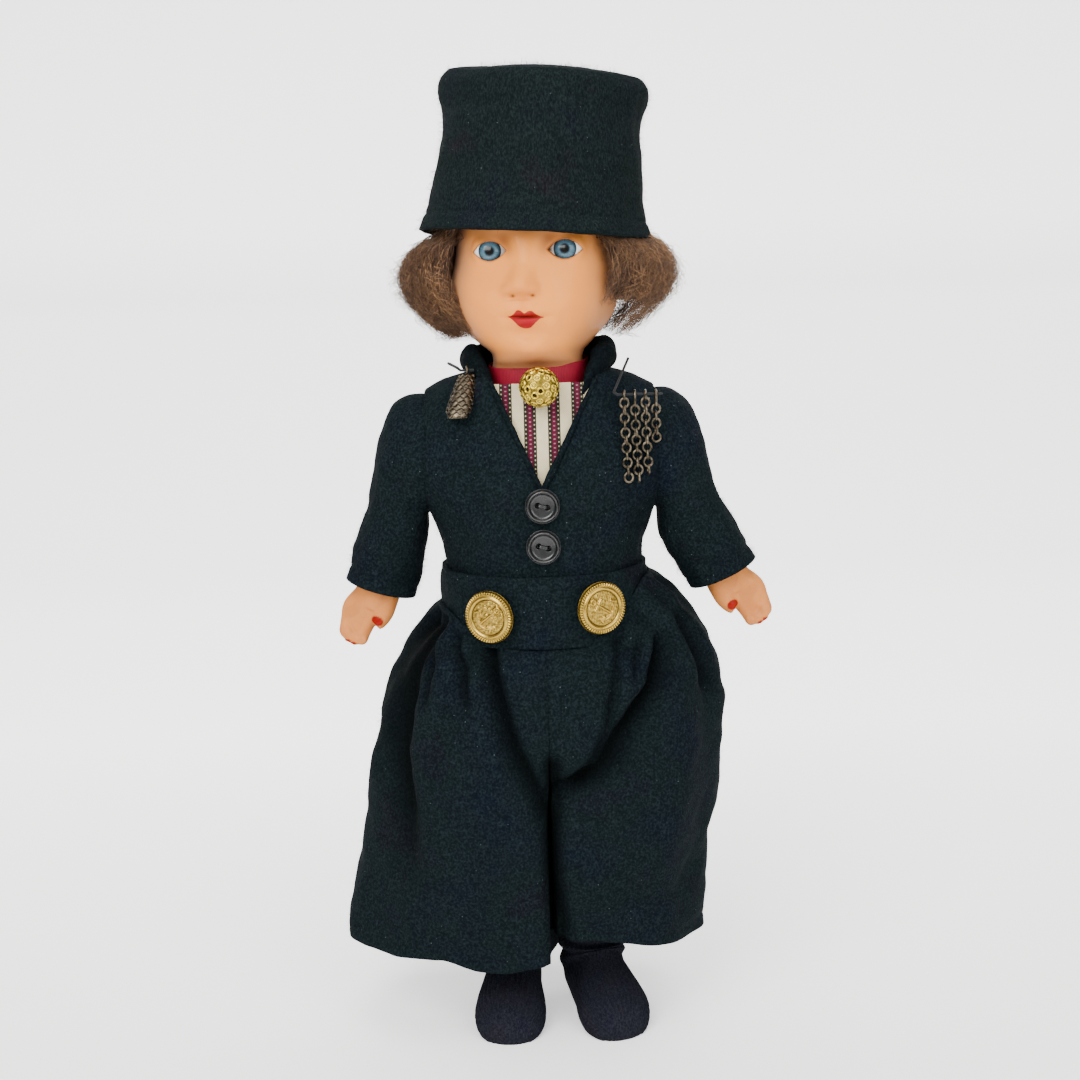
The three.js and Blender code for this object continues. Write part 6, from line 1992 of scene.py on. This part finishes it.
@dataclass
class Neckwear:
    """Striped shirt front, grosgrain ribbon and pierced gilt bead."""

    form: JacketForm

    def build(self, shop: Shop) -> None:
        """Make the three pieces.

        Args:
            shop: Makes and fits the pieces.
        """
        self._shirt(shop)
        self._ribbon(shop)
        self._bead(shop)

    def _shirt(self, shop: Shop) -> None:
        """A panel that follows the jacket from inside, with faint folds.

        Args:
            shop: Makes and fits the pieces.
        """
        z = np.linspace(171.5, 210.3, 84)[:, None]
        x = np.linspace(-18.8, 18.8, 120)
        width, depth = self.form.size(z)
        y = -(depth - 2.1) * np.sqrt(np.maximum(1.0 - (x / (width - 2.1)) ** 2, 0.0))
        points = xyz(x, y, z)
        points[..., 1] += 0.35 * waves(points, 14.0, 101) + 0.3
        patch = Patch.grid(points, size=(37.6, 38.8))
        cloth = shop.piece("shirt", patch, shop.finishes.shirting, "torso", ["shirt_front"],
                           tidy=False)

    def _ribbon(self, shop: Shop) -> None:
        """A band round the neck, leaning a little, with a slight curl along its edges.

        Args:
            shop: Makes and fits the pieces.
        """
        low, _ = shop.box("neck_ribbon")
        share = ramp(16)[:, None]
        turn = circle(200)
        reach = 15.75 - 0.2 * (2.0 * share - 1.0) ** 2 + 0.1 * np.cos(7.0 * turn) - 0.25 * np.cos(turn)
        z = low[2] + 1.0 + share * 6.4 + 0.055 * reach * np.sin(turn) + 1.3 * (1.0 - np.cos(turn))
        points = xyz(reach * np.sin(turn), -reach * np.cos(turn), z)
        patch = Patch.grid(points, wrap=True, size=(TAU * 15.4, 6.1))
        shop.piece("ribbon", patch, shop.finishes.ribbon, "torso", ["neck_ribbon"], wall=0.5)

    def _bead(self, shop: Shop) -> None:
        """A ball of scrolled wire: raised rings round granules, with piercings between them painted dark as
        painted shade.

        Args:
            shop: Makes and fits the pieces.
        """
        low, high = shop.box("neck_bead")
        centre, half = (low + high) / 2, (high - low) / 2
        polar = np.linspace(0.01, math.pi - 0.01, 110)
        turn = circle(200)
        turns, polars = np.meshgrid(turn, polar)
        way = ball(polars, turns)
        count = 60
        index = np.arange(count) + 0.5
        tilt, spin = np.arccos(1.0 - 2.0 * index / count), math.pi * (1.0 + 5.0**0.5) * index
        spots = ball(tilt, spin)
        gap = np.arccos(np.clip(way @ spots.T, -1.0, 1.0)) * 7.3
        near, nearest = gap.min(axis=-1), gap.argmin(axis=-1)
        ring = bell(near - 1.15, 0.24)
        seed = np.where(nearest % 3 > 0, bell(near, 0.45), 0.0)
        # Painted shade: every third spot is a piercing, sunk a little and painted dark.
        hole = np.where(nearest % 3 == 0, smoothstep(0.75, 0.5, near), 0.0)
        lift = 1.0 + 0.06 * ring + 0.05 * seed - 0.12 * hole
        high_tag = np.clip(0.2 + 0.7 * ring + 0.5 * seed - 1.2 * hole, 0.0, 1.0)
        points = centre + np.array([0.0, 0.0, 0.9]) + way * (half * 1.02) * lift[..., None]
        patch = Patch.grid(points, wrap=True, caps=(0, -1), tags={"high": high_tag})
        shop.piece("bead", patch, shop.finishes.bead, "torso", ["neck_bead"])


@dataclass
class Sock:
    """A ribbed knitted sock over the foot and ankle."""

    side: Side
    ankle_x: float = 14.0
    ankle_z: float = 24.0
    ankle_r: float = 5.6
    grow: float = 1.7
    toe_out: dict[Side, float] = by_side(16.0, 3.0)
    rolls: dict[Side, float] = by_side(2.0, 0.8)
    loose: dict[Side, float] = by_side(3.0, 0.8)
    ribs: int = 40
    square: float = 2.0 / 2.2

    def build(self, shop: Shop) -> None:
        """Make the sock.

        Args:
            shop: Makes and fits the pieces.
        """
        name, body = self.side.node("ribbed_sock"), self.side.node("leg")
        patch = Patch.grid(self._points(), wrap=True, caps=(-1,))
        shop.piece(name, patch, shop.finishes.knit, body, [self.side.node("sock")])

    def _sections(self) -> Array:
        """Front and back of each ring as y and z, and its half width, from the rim to the toe.

        Returns:
            One row a ring.
        """
        radius, grow = self.ankle_r, self.grow
        step, top = -radius - 1.0, self.ankle_z - 4.0
        heel, toe, wide = 13.0, -28.0, 9.6
        rows = np.array([
            [-8.0, 44.0, 8.6, 44.0, 7.3], [-7.0, 37.0, 8.0, 37.0, 6.6], [-6.2, 30.0, 7.9, 30.0, 5.9],
            [-radius, 24.0, radius + 3.0, 24.0, radius + 0.4],
            [step + 0.6, top + 1.0, heel - 1.0, 13.2, radius + 1.0], [step, top, heel, 2.4, radius + 1.6],
            [step - 0.6, top - 1.0, heel * 0.3, -2.5, wide - 2.0],
            [step - 3.0, top - 3.5, step - 2.0, -2.5, wide - 1.0],
            [step - 8.0, top - 6.0, step - 8.0, -2.5, wide],
            [toe + 8.0, top - 8.0, toe + 7.0, -2.0, wide],
            [toe + 3.0, top - 11.0, toe + 2.6, -1.0, wide - 2.2],
            [toe + 0.6, top - 14.0, toe + 0.4, 1.0, wide - 5.5],
            [toe - 0.4, top - 15.0, toe - 0.5, 2.5, 1.2],
        ])
        rows[:, 4] += grow
        rows[:6, 4] += self.loose[self.side] * np.array([1.0, 1.0, 1.0, 0.9, 0.6, 0.2])
        return rows

    def _points(self) -> Array:
        """Ribbed ovals that fan from the level rim round the instep to the upright toe, flat at the floor.

        Returns:
            Points in the doll's own frame.
        """
        rows = self._sections()
        keys = np.linspace(0.0, 1.0, len(rows))
        share = ramp(110)
        front_y, front_z, back_y, back_z, half = np.moveaxis(along(keys, rows, share)[:, None, :], -1, 0)
        turn = circle(200)
        run = np.hypot(back_y - front_y, back_z - front_z) / 2
        stretch = 1.0 + self.grow / np.maximum(run, 2.0)
        ribs = 0.2 * np.cos(self.ribs * turn) * smoothstep(0.97, 0.85, share[:, None])
        level = share[:, None] + 0 * turn
        swell = 0.5 + 0.5 * np.sin(72.0 * level + 1.6 * np.sin(turn))
        rolls = self.rolls[self.side] * swell * bell(level - 0.28, 0.1)
        x = (half + ribs + rolls) * signed_power(np.cos(turn), self.square)
        thick = 1.0 + (ribs + rolls) / np.maximum(run, 4.0)
        lean = signed_power(np.sin(turn), self.square) * stretch * thick
        y = (front_y + back_y) / 2 + (back_y - front_y) / 2 * lean
        z = (front_z + back_z) / 2 + (back_z - front_z) / 2 * lean
        sign = self.side.value
        angle = math.radians(sign * self.toe_out[self.side])
        points = xyz(x, y, z) @ rotation("Z", angle)
        drift = np.interp(z, [20.0, 44.0], [0.0, 0.8])
        points[..., 0] += sign * (self.ankle_x + drift)
        points[..., 1] += 1.5
        points[..., 2] = np.maximum(points[..., 2], 0.0)
        return points


@dataclass
class Arm:
    """Arm and hand: a drum and limb in the sleeve, a chubby palm, four curled fingers and a thumb."""

    side: Side
    sleeve: Sleeve
    fingers: tuple[tuple[float, float, float], ...] = (
        (-0.2, -0.6, 15.4), (2.0, 1.4, 16.2), (4.1, 3.4, 16.0), (5.6, 5.2, 15.0),
    )
    flesh: str = "#b9753e"
    rosy: str = "#9a5b30"
    nail: str = "#7d0208"
    voxel: float = 0.42
    smoothing: int = 5
    bend: float = math.radians(6.0)

    def build(self, shop: Shop) -> None:
        """Make the arm in one skin and paint its nails.

        Args:
            shop: Makes and fits the pieces.
        """
        patch, nails = self._forms()
        name = self.side.node("painted_arm")
        mesh = shop.remeshed(name, patch, self.voxel, self.smoothing)
        points = shop.coordinates(mesh)
        tint = self._tint(points, nails)
        paint = mesh.attributes.new("tint", "FLOAT_COLOR", "POINT")
        paint.data.foreach_set("color", tint.astype(np.float32).ravel())
        shop.piece(name, mesh, shop.finishes.hand, self.side.node("arm"),
                   [self.side.node("arm")])

    def _axes(self) -> tuple[Array, Array]:
        """Directions down the hand and out across it, as on the left side.

        Returns:
            Two unit vectors.
        """
        turn = self.sleeve.angle + self.bend
        sine, cosine = math.sin(turn), math.cos(turn)
        return np.array([sine, 0.0, -cosine]), np.array([cosine, 0.0, sine])

    def _forms(self) -> tuple[Patch, list[tuple[Array, float, float]]]:
        """Overlapping tubes, and the nails as a place, a half width and a half length each.

        Returns:
            The tubes and the nails.
        """
        sign = self.side.value
        hem = self.sleeve.hem
        start = ARMHOLE_X + CLOTH_GAP
        down, out = self._axes()
        ahead = np.array([0.0, -1.0, 0.0])
        wrist = np.array([start + hem[0], -1.0, hem[1]]) + 2.0 * down

        def spot(along_hand: float, across: float, forward: float) -> Array:
            """A place measured from the wrist, along, across and in front of the hand."""
            return wrist + along_hand * down + across * out + forward * ahead

        def limb(stations: Sequence[tuple[Array, float]]) -> Patch:
            """A tube through places, each with its own radius.

            Args:
                stations: The places and radii.

            Returns:
                The patch.
            """
            keys = np.linspace(0.0, 1.0, len(stations))
            table = np.array([[*place, radius] for place, radius in stations])
            path = along(keys, table, ramp(24))
            return Patch.tubes(path[None, :, :3], path[None, :, 3], 18, lead=np.array([[0.0, 1.0, 0.06]]))

        elbow = np.array([start + 11.5, 0.0, -18.0])
        forms = [
            limb([
                (np.array([start - 9.4, 0.0, 0.0]), 11.6), (np.array([start - 3.0, 0.0, 0.0]), 11.4),
                (np.array([start + 2.0, 0.0, -1.5]), 10.4), (np.array([start + 7.5, 0.0, -7.0]), 8.4),
                (elbow, 7.2), (elbow + 0.6 * (wrist - elbow), 6.6), (wrist, 6.0),
                (spot(5.0, 0.2, 0.0), 5.0),
            ]),
            limb([(spot(-3.0, -1.8, 0.4), 4.8), (spot(1.5, -3.0, 1.0), 4.2), (spot(5.0, -3.9, 2.2), 3.3),
                  (spot(8.0, -3.5, 3.3), 2.7), (spot(9.3, -2.9, 3.8), 2.1)]),
        ]
        nails = [(spot(7.6, -3.1, 0.0), 1.9, 1.5)]
        for knuckle, tip, reach in self.fingers:
            root = 0.62 * knuckle - 0.8
            forms.append(limb([
                (spot(-3.0, root, 0.0), 4.8), (spot(2.0, root + 0.2, 0.0), 4.6),
                (spot(7.0, knuckle, 0.4), 3.7), (spot(11.0, knuckle + 0.1, 0.9), 2.75),
                (spot(reach - 1.4, tip + 0.3, 1.9), 2.25), (spot(reach, tip, 3.6), 2.0),
                (spot(reach - 0.4, tip - 0.2, 5.0), 1.5),
            ]))
            if knuckle in (2.0, 4.1):
                nails.append((spot(reach + 1.3, tip - 0.1, 0.0), 1.0, 0.8))
        flip, lift = np.array([sign, 1.0, 1.0]), np.array([0.0, 0.0, SHOULDER_Z])
        patch = Patch.merged(forms)
        patch.points = patch.points * flip + lift
        return patch, [(place * flip + lift, wide, long) for place, wide, long in nails]

    def _tint(self, points: Array, nails: list[tuple[Array, float, float]]) -> Array:
        """Flesh with rosier patches, and red ovals on the front of thumb and fingertips.

        Args:
            points: Places on the surface.
            nails: A place, a half width and a half length each.

        Returns:
            A linear colour for each place.
        """
        down, out = (axis * np.array([self.side.value, 1.0, 1.0]) for axis in self._axes())
        skin, rosy, red = (np.array(linear(code)) for code in (self.flesh, self.rosy, self.nail))
        tint = np.broadcast_to(skin, (len(points), 4)).copy()
        tint = tint + (0.35 * smoothstep(-0.2, 0.8, waves(points, 7.0, 111)))[:, None] * (rosy - tint)
        for place, wide, long in nails:
            off = points - place
            span = np.hypot(off @ out / wide, off @ down / long)
            share = smoothstep(1.1, 0.95, span) * smoothstep(1.5, 2.2, -off[:, 1])
            tint = tint + share[:, None] * (red - tint)
        return tint


@dataclass
class Chains:
    """Chain tassel and woven-wire pouch with its eye."""

    form: JacketForm
    counts: tuple[int, ...] = (12, 11, 11, 6)
    link: float = 1.4
    wire: float = 0.36
    bar: tuple[float, ...] = (25.2, -22.2, 206.5)
    pitch: float = 3.15
    pouch_top: tuple[float, ...] = (-21.6, -14.4, 214.6)
    pouch_length: float = 12.6

    def build(self, shop: Shop) -> None:
        """Make four strands and the pouch.

        Args:
            shop: Makes and fits the pieces.
        """
        silver = shop.finishes.plain["silver"]
        for index in range(len(self.counts)):
            node = f"chain_strand_{index + 1}"
            shop.piece(f"chain_{index + 1}", self._strand(index), silver, "tassel", [node])
        metals = [silver, shop.finishes.plain["thread"]]
        shop.piece("pouch", self._pouch(), metals, "pendant", ["mesh_pendant"])

    def _strand(self, index: int) -> Patch:
        """Round links down a line to the jacket, each square to the last; odd strands start with a long one.

        Args:
            index: The strand's number from the middle outwards.

        Returns:
            The patch.
        """
        x, y, z = self.bar[0] + index * self.pitch, self.bar[1], self.bar[2]
        reach = self.link - 0.34
        pitch = 2.0 * reach + 0.1
        count = self.counts[index]
        drop = pitch if index % 2 else 0.0
        length = pitch * (count - 1) + drop
        foot = np.array([x, float(self.form.front(x, z - length)) - 2.34, z - length])
        top = np.array([x, y, z])
        heading = unit(foot - top)
        first = top + heading * (reach - 0.45 - CLOTH_GAP)
        across = np.array([1.0, 0.0, 0.0])
        out = unit(np.cross(across, heading))
        rng = np.random.default_rng(SEED + 120 + index)
        turn = circle(24)[:, None]
        paths, leads = [], []
        for link in range(count):
            side, lead = (out, across) if link % 2 == 0 else (across, out)
            twist = rng.uniform(-0.2, 0.2) * min(link, 1)
            sine, cosine = math.sin(twist), math.cos(twist)
            side, lead = cosine * side + sine * lead, cosine * lead - sine * side
            long = drop / 2.0 if link == 0 else 0.0
            run = link * pitch + (drop / 2.0 if link == 0 else drop)
            middle = first + heading * run + across * 0.0015 * run**2
            ring = self.link * (np.cos(turn) * heading + 0.9 * np.sin(turn) * side)
            paths.append(middle + ring + long * np.sign(np.cos(turn)) * heading)
            leads.append(lead)
        return Patch.tubes(np.array(paths), self.wire, 8, closed=True, lead=np.array(leads))

    def _pouch(self) -> Patch:
        """Zigzag wires row by row round a tapering pouch, over a near-black inner sheet of painted shade,
        and an eye.

        Returns:
            The patch.
        """
        top = np.array(self.pouch_top) - np.array([0.0, 0.0, 1.1])
        low_x = self.pouch_top[0] - 3.0
        low_z = top[2] - self.pouch_length
        low = np.array([low_x, float(self.form.front(low_x + 4.8, low_z)) - 3.3, low_z])
        share = ramp(24)[:, None]
        turn = circle(40)

        def ring(shares: Array, angles: Array, grow: float) -> Array:
            """Ovals down the pouch.

            Args:
                shares: Shares of the pouch's length.
                angles: Angles round it.
                grow: Distance that they stand out.

            Returns:
                Points in the doll's own frame.
            """
            taper = 0.45 + 0.55 * np.sqrt(shares) - 0.3 * smoothstep(0.8, 1.0, shares)
            middle = top + shares[..., None] * (low - top)
            x = (3.9 * taper + grow) * np.cos(angles)
            y = (2.3 * taper + grow) * np.sin(angles)
            return middle + xyz(x, y, 0.0)

        # Painted shade: a near-black sheet inside the wires, in the thread material.
        inner_shade_sheet = Patch.grid(ring(share + 0 * turn, turn + 0 * share, -0.35), wrap=True,
                            caps=(0, -1)).painted(1)
        rows, waves_round = 11, 9
        row = np.arange(rows)
        loop = circle(108)
        zigzag = np.abs((loop * waves_round / math.pi) % 2.0 - 1.0) - 0.5
        shares = (row[:, None] + 0.5) / rows + 0.72 / rows * zigzag * np.where(row % 2, 1.0, -1.0)[:, None]
        rings = ring(np.clip(shares, 0.0, 1.0), loop + 0 * shares, 0.1)
        wires = Patch.tubes(rings, 0.2, 6, closed=True, lead=np.tile([0.0, 0.0, 1.0], (rows, 1)))
        eye_turn = circle(20)
        eye = np.array(self.pouch_top) + xyz(0.0, 1.1 * np.cos(eye_turn), 1.1 * np.sin(eye_turn))
        hook = Patch.tubes(eye[None], 0.34, 8, closed=True, lead=np.array([[1.0, 0.0, 0.0]]))
        return Patch.merged([inner_shade_sheet, wires, hook])


@dataclass
class Stage:
    """Pale floor, soft studio light and the camera."""

    camera: tuple[float, ...] = (-1.0, -420.0, 232.0)
    tilt: float = math.radians(9.8)
    roll: float = math.radians(1.6)
    lens: float = 44.4

    def build(self, shop: Shop) -> None:
        """Make the stage round the doll.

        Args:
            shop: Makes and fits the pieces.
        """
        self._floor(shop)
        self._light("key", (-260, -520, 520), 420, 7.2)
        self._light("fill", (330, -480, 380), 420, 3.1)
        self._light("top", (0, -60, 760), 600, 5.6)
        world = bpy.data.worlds.new("studio")
        world.use_nodes = True
        back = world.node_tree.nodes["Background"]
        back.inputs["Color"].default_value = (1.0, 1.0, 1.0, 1.0)
        back.inputs["Strength"].default_value = 0.5
        bpy.context.scene.world = world
        self._camera(shop)

    def _floor(self, shop: Shop) -> None:
        """A floor that curves up into a backdrop.

        Args:
            shop: Makes and fits the pieces.
        """
        run = ramp(60)
        y = np.interp(run, [0.0, 0.55, 0.75, 1.0], [-1500.0, 700.0, 1100.0, 1150.0])
        z = np.interp(run, [0.0, 0.55, 0.75, 1.0], [0.0, 0.0, 260.0, 1600.0])
        x = np.linspace(-1600.0, 1600.0, 30)
        points = xyz(x, y[:, None], z[:, None])
        points[..., 2] -= 0.05
        mesh = shop.mesh("floor", Patch.grid(points))
        mesh.materials.append(shop.finishes.floor)
        floor = bpy.data.objects.new("floor", mesh)
        bpy.context.scene.collection.objects.link(floor)

    def _light(self, name: str, place: tuple[float, float, float], size: float, power: float) -> None:
        """A square soft box that looks at the doll's chest.

        Args:
            name: The light's name.
            place: Where it stands.
            size: Its width.
            power: Its power in watts.
        """
        data = bpy.data.lights.new(name, "AREA")
        data.size = size * MM
        data.energy = power
        lamp = bpy.data.objects.new(name, data)
        bpy.context.scene.collection.objects.link(lamp)
        lamp.location = [v * MM for v in place]
        aim = np.array([0.0, 0.0, 170.0]) - np.array(place)
        lamp.rotation_euler = Vector(aim).to_track_quat("-Z", "Y").to_euler()

    def _camera(self, shop: Shop) -> None:
        """The photograph's camera, with its slight lean.

        Args:
            shop: Makes and fits the pieces.
        """
        data = bpy.data.cameras.new("camera")
        data.lens = self.lens
        data.sensor_width = 36.0
        data.clip_start = 0.01
        data.clip_end = 20.0
        camera = bpy.data.objects.new("camera", data)
        bpy.context.scene.collection.objects.link(camera)
        turn = Matrix.Rotation(math.pi / 2 - self.tilt, 4, "X") @ Matrix.Rotation(-self.roll, 4, "Z")
        camera.matrix_world = Matrix.Translation(shop.point(*self.camera)) @ turn
        bpy.context.scene.camera = camera


@dataclass
class Doll:
    """The whole doll, piece by piece."""

    shop: Shop
    node_finish: dict[str, str] = field(default_factory=lambda: {
        "torso_front": "composition", "torso_back": "composition", "leg_left": "composition",
        "leg_right": "composition", "arm_hook_left": "steel", "arm_hook_right": "steel",
        "leg_hook_left": "steel",
        "leg_hook_right": "steel", "neck_hook": "steel", "arm_elastic": "elastic", "body_elastic": "elastic",
        "neck_plug": "wood", "eye_rocker": "steel", "eye_weight": "lead", "tassel_bar": "thread",
        "pendant_bar": "thread",
    })

    def build(self) -> None:
        """Finish the CAD nodes that stay and make every new piece."""
        for node, finish in self.node_finish.items():
            mesh = self.shop.nodes[node].data
            mesh.materials.clear()
            mesh.materials.append(self.shop.finishes.plain[finish])
        head, jacket = HeadForm(), JacketForm()
        Head(head).build(self.shop)
        Wig(head).build(self.shop)
        Hat(head).build(self.shop)
        Jacket(jacket).build(self.shop)
        Neckwear(jacket).build(self.shop)
        for name in ("upper", "lower"):
            JacketButton().build(self.shop, f"horn_button_{name}", f"jacket_button_{name}")
        Waistband().build(self.shop)
        Chains(jacket).build(self.shop)
        for side in Side:
            sleeve = Sleeve(side)
            sleeve.build(self.shop)
            Arm(side, sleeve).build(self.shop)
            Trousers(side).build(self.shop)
            Sock(side).build(self.shop)


def main() -> None:
    """Build the scene."""
    logging.basicConfig(level=logging.INFO, format="%(name)s %(message)s")
    bpy.ops.wm.read_factory_settings(use_empty=True)
    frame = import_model()
    shop = Shop(frame)
    Stage().build(shop)
    Doll(shop).build()


if __name__ == "__main__":
    main()
